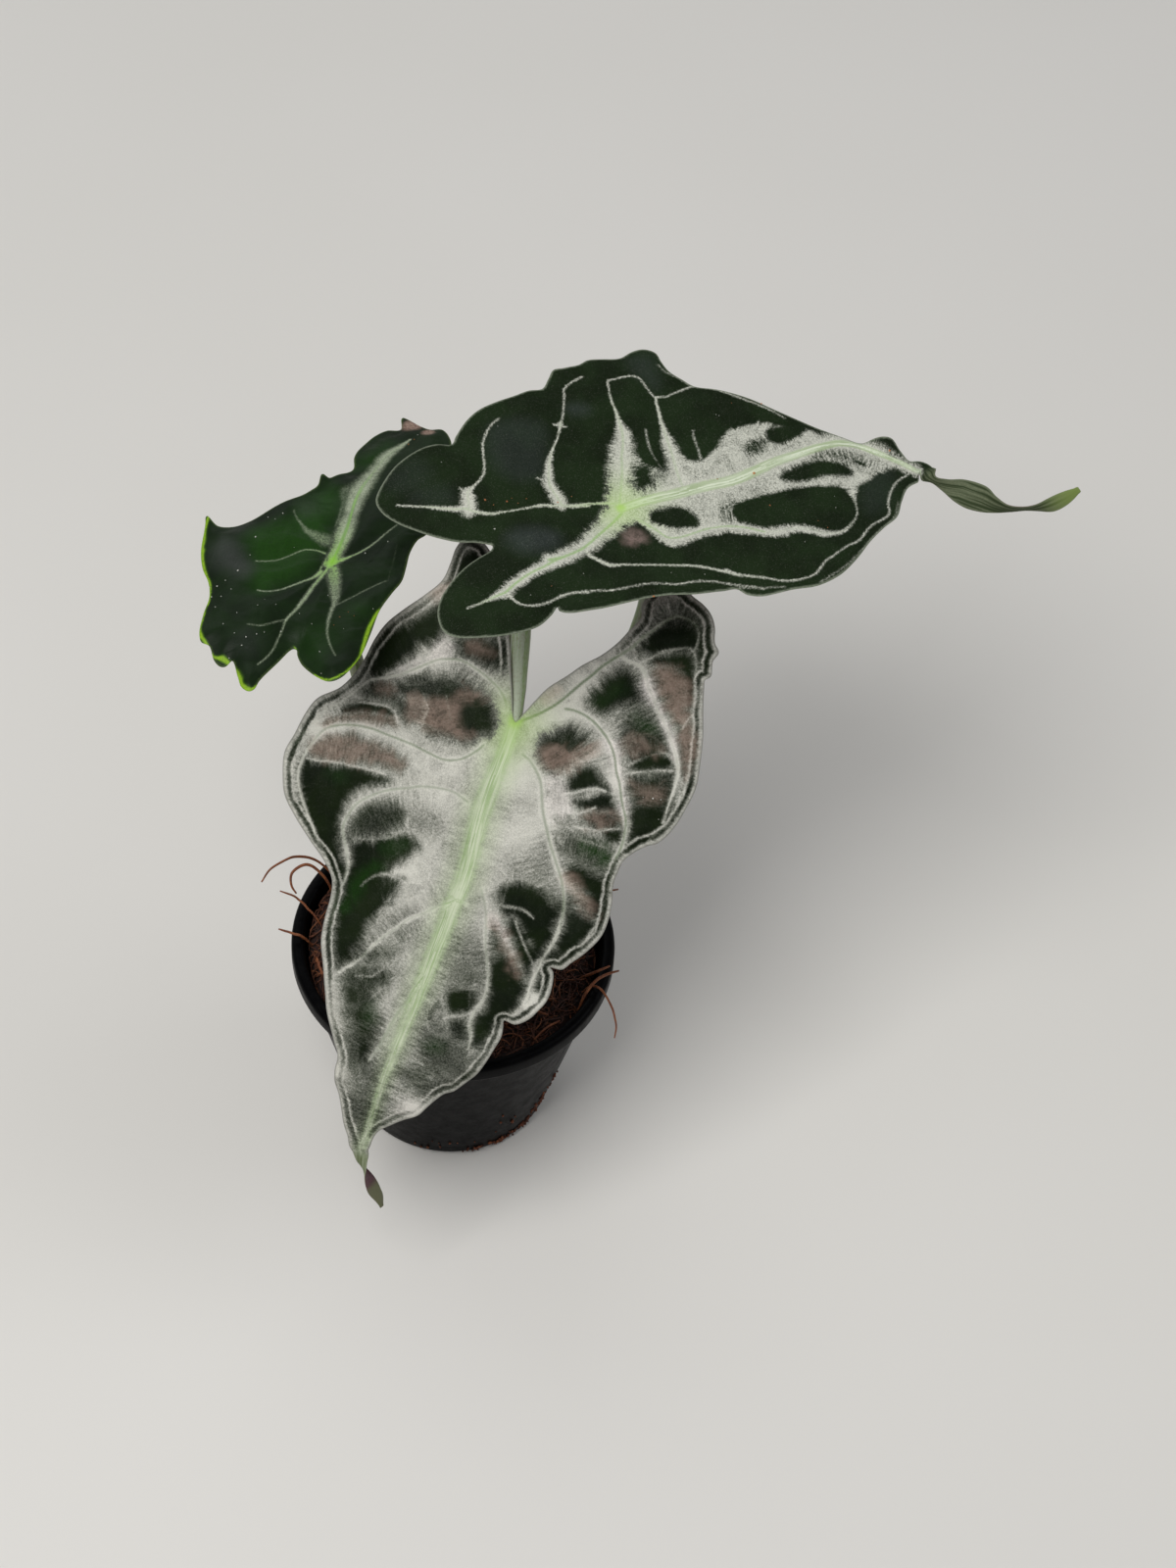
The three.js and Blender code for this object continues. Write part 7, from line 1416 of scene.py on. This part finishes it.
def build_pot():
    seg = 160
    # profile from the edge of the floor's underside, up the outside, over the rim and down
    outer = [(BASE_R - 2.4, 0.9), (BASE_R - 2.1, 0.25)] + arc(BASE_R - 1.2, 0.9, 0.9, -math.pi / 2, 0, 6)
    outer += [(outer_r(z) - 0.15 * math.exp(-((z - 3.4) / 1.0) ** 2), z) for z in np.linspace(1.6, POT_HEIGHT - 5.0, 34)]
    rim = [(outer_r(POT_HEIGHT - 4.6) + 0.1, POT_HEIGHT - 4.45)]
    rim += arc(RIM_R - 0.75, POT_HEIGHT - 3.6, 0.75, -math.pi / 2, 0, 6)
    rim += arc(RIM_R - 1.25, POT_HEIGHT - 1.25, 1.25, 0, math.pi / 2, 9)
    rim += arc(RIM_R - 1.75, POT_HEIGHT - 1.0, 1.0, math.pi / 2, math.pi * 0.98, 8)
    rim += [(RIM_R - 2.9, POT_HEIGHT - 2.4)]
    inner = [(outer_r(z) - WALL, z) for z in np.linspace(POT_HEIGHT - 4.6, FLOOR + 1.4, 26)]
    inner += [(outer_r(FLOOR) - WALL - 0.5, FLOOR + 0.35)]
    edge_out = BASE_R - 2.4
    edge_in = outer_r(FLOOR) - WALL - 1.2
    inner += [(edge_in, FLOOR)]
    prof = np.array(outer + rim + inner)
    ang = 2 * np.pi * np.arange(seg) / seg
    verts = [np.stack([r * np.cos(ang), r * np.sin(ang), np.full(seg, z)], 1) for r, z in prof]
    faces = []
    for i in range(len(prof) - 1):
        for j in range(seg):
            k = (j + 1) % seg
            faces.append((i * seg + j, i * seg + k, (i + 1) * seg + k, (i + 1) * seg + j))
    verts = np.vstack(verts)
    last = (len(prof) - 1) * seg
    # floor plates with drain holes
    hole_seg = 40
    hole_ang = 2 * np.pi * np.arange(hole_seg) / hole_seg

    def plate(ring_r, z):
        pts = [np.stack([ring_r * np.cos(ang), ring_r * np.sin(ang)], 1)]
        edges = [(j, (j + 1) % seg) for j in range(seg)]
        base = seg
        for i in range(DRAIN_HOLES):
            a = 2 * math.pi * i / DRAIN_HOLES + math.pi / 6
            c = np.array([DRAIN_CIRCLE * math.cos(a), DRAIN_CIRCLE * math.sin(a)])
            pts.append(c + DRAIN_R * np.stack([np.cos(hole_ang), np.sin(hole_ang)], 1))
            edges += [(base + j, base + (j + 1) % hole_seg) for j in range(hole_seg)]
            base += hole_seg
        grid = np.array([(x, y) for x in np.arange(-24, 24, 2.0) for y in np.arange(-24, 24, 2.0)])
        ok = np.hypot(grid[:, 0], grid[:, 1]) < ring_r - 1.2
        for i in range(DRAIN_HOLES):
            a = 2 * math.pi * i / DRAIN_HOLES + math.pi / 6
            ok &= np.hypot(grid[:, 0] - DRAIN_CIRCLE * math.cos(a), grid[:, 1] - DRAIN_CIRCLE * math.sin(a)) > DRAIN_R + 0.7
        pts.append(grid[ok])
        p = np.vstack(pts)
        out = delaunay_2d_cdt([Vector(q) for q in p], edges, [], 0, 1e-6, True)
        origin = [o[0] for o in out[3]]
        tri = []
        for f in out[2]:
            f = [origin[i] for i in f]
            c = p[f].mean(0)
            if np.hypot(*c) > ring_r:
                continue
            hit = False
            for i in range(DRAIN_HOLES):
                a = 2 * math.pi * i / DRAIN_HOLES + math.pi / 6
                if np.hypot(c[0] - DRAIN_CIRCLE * math.cos(a), c[1] - DRAIN_CIRCLE * math.sin(a)) < DRAIN_R * 0.995:
                    hit = True
            if not hit:
                area = (p[f[1]][0] - p[f[0]][0]) * (p[f[2]][1] - p[f[0]][1]) - (p[f[1]][1] - p[f[0]][1]) * (p[f[2]][0] - p[f[0]][0])
                tri.append(tuple(f) if area > 0 else (f[0], f[2], f[1]))
        return p, tri

    low_p, low_t = plate(edge_out, 0.9)
    up_p, up_t = plate(edge_in, FLOOR)
    base_low = len(verts)
    low_map = np.concatenate([np.arange(seg), base_low + np.arange(len(low_p) - seg)])
    verts = np.vstack([verts, np.c_[low_p[seg:], np.full(len(low_p) - seg, 0.9)]])
    base_up = len(verts)
    up_map = np.concatenate([last + np.arange(seg), base_up + np.arange(len(up_p) - seg)])
    verts = np.vstack([verts, np.c_[up_p[seg:], np.full(len(up_p) - seg, FLOOR)]])
    faces += [(low_map[a], low_map[c], low_map[b]) for a, b, c in low_t]
    faces += [(up_map[a], up_map[b], up_map[c]) for a, b, c in up_t]
    for i in range(DRAIN_HOLES):
        s0 = seg + i * hole_seg
        for j in range(hole_seg):
            k = (j + 1) % hole_seg
            faces.append((low_map[s0 + j], low_map[s0 + k], up_map[s0 + k], up_map[s0 + j]))
    # slight out-of-round, as thin moulded pots are
    a = np.arctan2(verts[:, 1], verts[:, 0])
    lift = smooth(verts[:, 2], 2, POT_HEIGHT)
    verts[:, :2] *= (1 + 0.0035 * np.cos(2 * a + 0.6) * lift)[:, None]
    return verts, faces


m = Nodes("pot_black")
pos = m.coords()
dust = m.noise(pos, 0.35, 4.0, 0.6)
fine = m.noise(pos, 3.0, 3.0, 0.6)
scratch = m.noise(m.coords((1000, 1000, 90)), 1.6, 2.0, 0.5)
col = m.mix(m.ramp(dust, 0.45, 0.75), "#030304", "#070708")
col = m.mix(m.ramp(scratch, 0.62, 0.75, 0.0, 0.3), col, "#141417")
m.set(Base_Color=col)
m.bsdf.inputs["Specular IOR Level"].default_value = 0.4
m.bsdf.inputs["IOR"].default_value = 1.14
m.put(m.bsdf.inputs["Roughness"], m.ramp(m.math("ADD", m.math("MULTIPLY", dust, 0.6), m.math("MULTIPLY", fine, 0.4)), 0.35, 0.65, 0.30, 0.46))
m.put(m.bsdf.inputs["Normal"], m.bump(m.math("ADD", fine, m.math("MULTIPLY", dust, 2.0)), 0.12, 0.0002))
verts, faces = build_pot()
pot = make_mesh("nursery_pot", verts, faces, [m.mat])
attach(pot, "root")
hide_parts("pot")


# ------------------------------------------------------------------ coir
def coir_height(x, y):
    """Height of the coir surface: lumpy, heaped against the wall on the left."""
    r = np.hypot(x, y)
    h = COIR_LEVEL + 0.2 + 1.1 * fractal(x * 0.20, y * 0.20, 0.5, seed=41, octaves=3)
    h = h + 0.8 * fractal(x * 0.75, y * 0.75, 0.5, seed=43, octaves=3)
    heap = np.exp(-(((x + 29) / 8.0) ** 2 + ((y - 6) / 13.0) ** 2))
    h = h + 3.4 * heap
    h = h - 1.4 * smooth(r, 29.4, 31.3)
    h = h + 0.9 * np.exp(-(((r - 8.5) / 3.0) ** 2))
    return h


_step = 0.25
_axis = np.arange(-34.0, 34.0 + _step, _step)
_grid = coir_height(*np.meshgrid(_axis, _axis, indexing="ij"))


def height_at(x, y):
    """The same height, read from a fine grid of it."""
    fx = min(max((x + 34.0) / _step, 0.0), len(_axis) - 1.001)
    fy = min(max((y + 34.0) / _step, 0.0), len(_axis) - 1.001)
    i, j = int(fx), int(fy)
    u, v = fx - i, fy - j
    low = _grid[i, j] * (1 - u) + _grid[i + 1, j] * u
    high = _grid[i, j + 1] * (1 - u) + _grid[i + 1, j + 1] * u
    return float(low * (1 - v) + high * v)


def build_coir_body():
    seg, rings = 220, 92
    r_top = outer_r(COIR_LEVEL) - WALL - 0.25
    ang = 2 * np.pi * np.arange(seg) / seg
    verts = [np.array([[0.0, 0.0, 0.0]])]
    rad = r_top * (np.arange(1, rings + 1) / rings) ** 0.85
    for r in rad:
        verts.append(np.stack([r * np.cos(ang), r * np.sin(ang), np.zeros(seg)], 1))
    top = np.vstack(verts)
    top[:, 2] = coir_height(top[:, 0], top[:, 1])
    rr = np.hypot(top[:, 0], top[:, 1])
    jit = 0.28 * (rr < r_top - 0.6) * (rr > 1)
    top[:, 0] += jit * noise3(top[:, 0] * 1.7, top[:, 1] * 1.7, 0.5, 51)
    top[:, 1] += jit * noise3(top[:, 0] * 1.7, top[:, 1] * 1.7, 0.5, 52)
    side_z = [COIR_LEVEL - 6, COIR_LEVEL - 14, 20, 10, FLOOR + 0.5]
    low = []
    for z in side_z:
        r = outer_r(z) - WALL - 0.25 - (1.6 if z < 3 else 0)
        low.append(np.stack([r * np.cos(ang), r * np.sin(ang), np.full(seg, z)], 1))
    low = np.vstack(low + [np.array([[0.0, 0.0, FLOOR + 0.5]])])
    all_v = np.vstack([top, low])
    faces = []
    for j in range(seg):
        k = (j + 1) % seg
        faces.append((0, 1 + j, 1 + k))
        for i in range(rings - 1):
            a = 1 + i * seg
            faces.append((a + j, a + seg + j, a + seg + k, a + k))
        a = 1 + (rings - 1) * seg
        b = len(top)
        faces.append((a + j, b + j, b + k, a + k))
        for i in range(len(side_z) - 1):
            c = b + i * seg
            faces.append((c + j, c + seg + j, c + seg + k, c + k))
        c = b + (len(side_z) - 1) * seg
        faces.append((c + j, len(all_v) - 1, c + k))
    return all_v, faces


def coir_material(name, dark, mid, warm, rough=0.9):
    m = Nodes(name)
    pos = m.coords()
    big = m.noise(pos, 0.45, 3.0, 0.6)
    fine = m.noise(pos, 2.2, 4.0, 0.65)
    per = m.attr("tone").outputs["Fac"]
    col = m.mix(m.ramp(m.math("ADD", m.math("MULTIPLY", big, 0.5), m.math("MULTIPLY", fine, 0.5)), 0.38, 0.62), dark, mid)
    col = m.mix(m.ramp(per, 0.35, 1.0), col, warm)
    m.set(Base_Color=col, Roughness=rough)
    m.put(m.bsdf.inputs["Normal"], m.bump(fine, 0.8, 0.0004))
    return m.mat


# coir body and crumbs: the coir's own dark brown, deepened with painted shade
mat_coir_shaded = coir_material("coir_dark_and_shade", "#110704", "#2a130a", "#452213")
mat_strand = coir_material("coir_strand", "#30160a", "#552b16", "#86502c", 0.7)
mat_loose = coir_material("coir_loose", "#6b3a20", "#8f5430", "#b9784a", 0.6)

verts, faces = build_coir_body()
coir = make_mesh("coir_plug_body", verts, faces, [mat_coir_shaded], attributes={"tone": np.clip(0.35 + 0.5 * fractal(verts[:, 0], verts[:, 1], 0.5, 3), 0, 1)})
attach(coir, "root")
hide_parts("coir_plug")

rng = np.random.default_rng(2024)


def strand(points, radius, sides=4, twist=0.0):
    """A fine closed strand whose radius tapers to its ends."""
    path = np.asarray(points, float)
    n = len(path)
    k = np.linspace(0, 1, n)
    r = radius * (0.45 + 0.55 * np.sin(np.pi * np.clip(k, 0.02, 0.98)) ** 0.5)
    return tube(path, r, sides)


def clear_of_pot(p):
    """Keeps points inside the pot wall unless they are above the rim."""
    r = np.hypot(p[:, 0], p[:, 1])
    limit = np.where(p[:, 2] > POT_HEIGHT + 0.4, 60.0, outer_r(np.clip(p[:, 2], 0, POT_HEIGHT - 4)) - WALL - 0.5)
    k = np.minimum(1.0, limit / np.maximum(r, 1e-6))
    out = p.copy()
    out[:, 0] *= k
    out[:, 1] *= k
    return out


def mat_of_strands(name, count, length, radius, lift, seed, where=None, sides=4, steps=8, curl=0.9, material=None, slope=0.35):
    g = np.random.default_rng(seed)
    parts, tone = [], []
    made = 0
    while made < count:
        r = 31.0 * math.sqrt(g.uniform(0.04, 1.0))
        a = g.uniform(0, 2 * math.pi)
        x, y = r * math.cos(a), r * math.sin(a)
        if where is not None and not where(x, y, g):
            continue
        heading = g.uniform(0, 2 * math.pi)
        ln = length * g.uniform(0.45, 1.5)
        step = ln / steps
        z = height_at(x, y) + g.uniform(-0.3, 0.25)
        climb = g.normal(0, slope)
        turn = g.normal(0, curl)
        p = [(x, y, z)]
        for _ in range(steps):
            heading += turn * step / 3.0 + g.normal(0, 0.16)
            climb += g.normal(0, 0.12)
            x += step * math.cos(heading)
            y += step * math.sin(heading)
            base = height_at(x, y)
            z = z + step * climb
            top = base + lift
            if z > top:
                z, climb = top - (z - top) * 0.4, -abs(climb) * 0.5
            if z < base - 0.35:
                z, climb = base - 0.2, abs(climb) * 0.6
            p.append((x, y, z))
        p = clear_of_pot(np.array(p))
        v, f = strand(p, radius * g.uniform(0.6, 1.35), sides)
        parts.append((v, f))
        tone.append(np.full(len(v), g.beta(1.6, 2.4)))
        made += 1
    v, f = joined(parts)
    obj = make_mesh(name, v, f, [material], attributes={"tone": np.concatenate(tone)})
    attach(obj, "root")
    return obj


few = 1.0
mat_of_strands("coir_fibre_mat", int(1500 * few), 7.0, 0.17, 1.3, 61, material=mat_strand)
mat_of_strands("coir_fibre_mat_fine", int(1300 * few), 5.0, 0.10, 1.0, 62, sides=3, material=mat_strand, curl=1.3)


def crumbs(name, spots, material, seed):
    """Rough grains: squashed, dented little balls. spots: (x, y, z, size)."""
    g = np.random.default_rng(seed)
    base, tri = ico()
    parts, tone = [], []
    for x, y, z, s in spots:
        squash = g.uniform(0.55, 1.3, 3)
        ang = g.uniform(0, 6.28, 3)
        rot = np.array(Matrix.Rotation(ang[0], 3, "X") @ Matrix.Rotation(ang[1], 3, "Y") @ Matrix.Rotation(ang[2], 3, "Z"))
        o = g.uniform(0, 50)
        v = base * (1 + 0.35 * noise3(base[:, 0] * 1.4 + o, base[:, 1] * 1.4, base[:, 2] * 1.4, 71))[:, None]
        v = (v * squash) @ rot.T * s + [x, y, z]
        parts.append((v, tri))
        tone.append(np.full(len(v), g.beta(1.5, 3.0)))
    v, f = joined(parts)
    obj = make_mesh(name, v, f, [material], attributes={"tone": np.concatenate(tone)})
    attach(obj, "root")
    return obj


def ico():
    """A ball of 80 triangles."""
    p = (1 + 5**0.5) / 2
    v = [(-1, p, 0), (1, p, 0), (-1, -p, 0), (1, -p, 0), (0, -1, p), (0, 1, p), (0, -1, -p), (0, 1, -p), (p, 0, -1), (p, 0, 1), (-p, 0, -1), (-p, 0, 1)]
    f = [(0, 11, 5), (0, 5, 1), (0, 1, 7), (0, 7, 10), (0, 10, 11), (1, 5, 9), (5, 11, 4), (11, 10, 2), (10, 7, 6), (7, 1, 8), (3, 9, 4), (3, 4, 2), (3, 2, 6), (3, 6, 8), (3, 8, 9), (4, 9, 5), (2, 4, 11), (6, 2, 10), (8, 6, 7), (9, 8, 1)]
    v = [np.array(q, float) / np.linalg.norm(q) for q in v]
    cache, out = {}, []

    def middle(a, b):
        key = (min(a, b), max(a, b))
        if key not in cache:
            q = v[a] + v[b]
            v.append(q / np.linalg.norm(q))
            cache[key] = len(v) - 1
        return cache[key]

    for a, b, c in f:
        ab, bc, ca = middle(a, b), middle(b, c), middle(c, a)
        out += [(a, ab, ca), (b, bc, ab), (c, ca, bc), (ab, bc, ca)]
    return np.array(v), out


g = np.random.default_rng(77)
spots = []
for _ in range(int(900 * few)):
    r = 30.6 * math.sqrt(g.uniform(0.03, 1.0))
    a = g.uniform(0, 2 * math.pi)
    x, y = r * math.cos(a), r * math.sin(a)
    s = 0.25 + 0.75 * g.beta(1.2, 4.0)
    spots.append((x, y, height_at(x, y) + 0.25 * s, s))
crumbs("coir_crumbs", spots, mat_coir_shaded, 78)

# one short fibre stuck to the pot's left wall
wall_line = np.array([(-27.9, -15.2, 38.9), (-27.45, -16.5, 40.2), (-26.75, -18.6, 42.6), (-26.3, -20.0, 44.3), (-26.1, -20.9, 45.4)])
wall_line[:, :2] *= 1.008
v, f = strand(catmull(wall_line, 0.5), 0.13, 5)
wall_fibre = make_mesh("pot_clinging_fibre", v, f, [mat_loose], attributes={"tone": np.full(len(v), 0.6)})
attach(wall_fibre, "root")

# grains clinging to the outside of the pot low on its front right
g = np.random.default_rng(90)
cling = []
for ang, z, count, wide, tall in (
    (-28, 12.5, 16, 5, 3.5), (-33, 7.5, 26, 6, 3.5), (-42, 3.2, 40, 9, 2.2), (-56, 1.9, 34, 9, 1.2), (-70, 1.6, 14, 8, 0.9),
    (-25, 20, 5, 8, 6), (-88, 5, 5, 14, 4), (-100, 2.5, 4, 12, 2), (-60, 14, 5, 22, 8),
):
    for _ in range(count):
        a = math.radians(ang + g.normal(0, wide * 0.5))
        zz = max(0.9, z + g.normal(0, tall * 0.5))
        size = 0.16 + 0.36 * g.beta(1.3, 3.2)
        r = outer_r(max(zz, 1.2)) + size * 0.35
        cling.append((r * math.cos(a), r * math.sin(a), zz, size))
mat_cling = coir_material("coir_cling", "#3a1a0d", "#6e3a20", "#8c5232", 0.85)
crumbs("pot_clinging_grains", cling, mat_cling, 91)

# specks lying on the leaves: brown coir dust (kind 0), pale mineral grains (1), dark dots (2)
DUST_LOOK = {0: ("#8a4a26", "#c07a48", "#d99a66"), 1: ("#b9bab0", "#dcdcd4", "#efefea"), 2: ("#1a1410", "#241a14", "#3a2a20")}
for kind, look in DUST_LOOK.items():
    mat_dust = coir_material("leaf_dust_%d" % kind, *look, 0.7)
    rows = []
    for blade in (LEAF_FRONT, LEAF_TOP, LEAF_LEFT):
        rows += [(blade, d) for d in blade.marks["dust"] if d[3] == kind]
    spots = []
    for blade, (da, db, size, _) in rows:
        p = surface_point(blade, da, db)
        spots.append((*p, size * 0.5))
    crumbs("leaf_specks_%d" % kind, spots, mat_dust, 95 + kind)

# loose fibres, one for each of the CAD part's
LOOSE = {
    "coir_fibre_01": ((-26.6, 15.3, 47.0), (-29.1, 15.4, 52.0), (-32.3, 15.0, 55.6), (-36.1, 13.0, 58.2), (-38.6, 10.3, 59.2), (-40.7, 8.3, 59.0), (-42.2, 6.0, 57.6)),
    "coir_fibre_02": ((-27.4, 12.2, 46.8), (-29.2, 12.6, 52.2), (-33.2, 12.8, 56.2), (-36.1, 10.4, 55.8), (-36.0, 8.2, 54.2), (-34.9, 7.4, 52.6)),
    "coir_fibre_03": ((-38.2, 5.6, 55.4), (-34.8, 5.6, 53.6), (-32.4, 4.6, 51.8), (-30.2, 3.6, 49.4), (-28.6, 2.8, 46.4)),
    "coir_fibre_04": ((-37.7, -2.6, 52.6), (-35.2, -2.9, 52.0), (-32.8, -3.0, 51.2), (-30.4, -1.8, 46.4)),
    "coir_fibre_05": ((-29.4, -4.6, 46.2), (-28.6, -7.2, 47.2), (-27.3, -9.8, 46.0)),
    "coir_fibre_06": ((28.6, -9.0, 46.0), (30.6, -10.2, 50.2), (32.6, -12.2, 52.0), (34.6, -15.2, 51.7), (35.8, -17.4, 50.6), (36.4, -19.6, 48.8), (36.2, -21.2, 47.0)),
    "coir_fibre_07": ((27.8, -5.4, 46.0), (29.8, -6.6, 49.4), (31.9, -7.0, 51.6), (34.2, -6.3, 52.6)),
    "coir_fibre_08": ((36.2, -8.2, 53.7), (34.0, -9.0, 53.4), (31.3, -10.4, 52.2), (29.2, -12.4, 49.6), (28.0, -14.0, 46.2)),
    "coir_fibre_09": ((19.0, -22.3, 45.8), (21.6, -19.9, 47.2), (24.3, -16.8, 45.8)),
    "coir_fibre_10": ((18.6, -14.5, 45.8), (20.4, -17.0, 48.4), (21.6, -17.8, 49.0)),
    "coir_fibre_11": ((-8.0, 22.6, 45.6), (-12.4, 24.6, 48.2), (-17.6, 24.0, 45.8)),
    "coir_fibre_12": ((12.0, 20.4, 45.8), (17.4, 22.2, 48.6), (23.0, 20.2, 45.8)),
    "coir_fibre_13": ((22.4, 9.6, 45.8), (26.4, 12.8, 48.6), (30.6, 14.2, 51.4), (35.0, 15.0, 52.2)),
    "coir_fibre_14": ((-12.4, -18.4, 45.8), (-16.6, -20.4, 47.9), (-20.4, -18.2, 45.8)),
}
for i, (node, pts) in enumerate(LOOSE.items()):
    path = resample(catmull(pts, 0.3), 44)
    g = np.random.default_rng(300 + i)
    k = np.linspace(0, 1, len(path))
    for ax in range(3):
        path[:, ax] += 0.16 * noise3(k * 9, ax * 3.3 + i, 0.5, 81) * np.sin(np.pi * k)
    v, f = strand(path, 0.30 + 0.05 * math.sin(i * 2.1), 8)
    obj = make_mesh("loose_" + node, v, f, [mat_loose], attributes={"tone": 0.35 + 0.3 * noise3(v[:, 0], v[:, 1], v[:, 2], 5)})
    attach(obj, "root")
    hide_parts(node)

# ------------------------------------------------------------------ floor, light, camera
bpy.context.view_layer.update()

m = Nodes("floor_pale")
pos = m.coords((1, 1, 1))
soft = m.noise(pos, 3.0, 3.0, 0.5)
m.set(Base_Color=m.mix(m.ramp(soft, 0.3, 0.7), "#d8d6d1", "#dcdad6"), Roughness=0.75)
m.bsdf.inputs["Specular IOR Level"].default_value = 0.2
plane = bpy.data.meshes.new("floor")
S = 3.0
plane.from_pydata([(-S, -S, 0), (S, -S, 0), (S, S, 0), (-S, S, 0)], [], [(0, 1, 2, 3)])
plane.materials.append(m.mat)
floor = bpy.data.objects.new("floor", plane)
bpy.context.scene.collection.objects.link(floor)

scene = bpy.context.scene
world = bpy.data.worlds.new("studio")
scene.world = world
world.use_nodes = True
bg = world.node_tree.nodes["Background"]
bg.inputs[0].default_value = (0.97, 0.98, 1.0, 1)
bg.inputs[1].default_value = 0.26


def area_light(name, position, target, size, power, colour=(1, 1, 1)):
    light = bpy.data.lights.new(name, "AREA")
    light.shape = "RECTANGLE"
    light.size, light.size_y = size
    light.energy = power
    light.color = colour
    o = bpy.data.objects.new(name, light)
    scene.collection.objects.link(o)
    o.location = position
    o.rotation_euler = (Vector(target) - Vector(position)).to_track_quat("-Z", "Y").to_euler()
    return o


area_light("key", (-0.32, -0.42, 1.05), (0, 0, 0.09), (0.6, 0.5), 9.0, (1.0, 0.99, 0.97))
area_light("fill", (0.75, 0.15, 0.75), (0, 0, 0.08), (0.6, 0.6), 1.6, (0.97, 0.98, 1.0))
area_light("back", (-0.3, 0.75, 0.65), (0, 0, 0.1), (0.8, 0.4), 1.4, (0.98, 0.99, 1.0))

right = Vector((0.99756405, 0.05382581, 0.04437057))
up = Vector((-0.06975647, 0.76974494, 0.63452877))
forward = Vector((0.0, 0.63607822, -0.77162458))
cam_data = bpy.data.cameras.new("camera")
cam_data.lens = 85.0
cam_data.sensor_width = 36.0
cam_data.sensor_fit = "AUTO"
cam_data.clip_start = 0.01
cam_data.clip_end = 20
cam = bpy.data.objects.new("camera", cam_data)
scene.collection.objects.link(cam)
cam.matrix_world = Matrix((
    (right.x, up.x, -forward.x, 0.0267705),
    (right.y, up.y, -forward.y, -0.4833486),
    (right.z, up.z, -forward.z, 0.6922197),
    (0, 0, 0, 1),
))
scene.camera = cam
scene.view_settings.view_transform = "Standard"
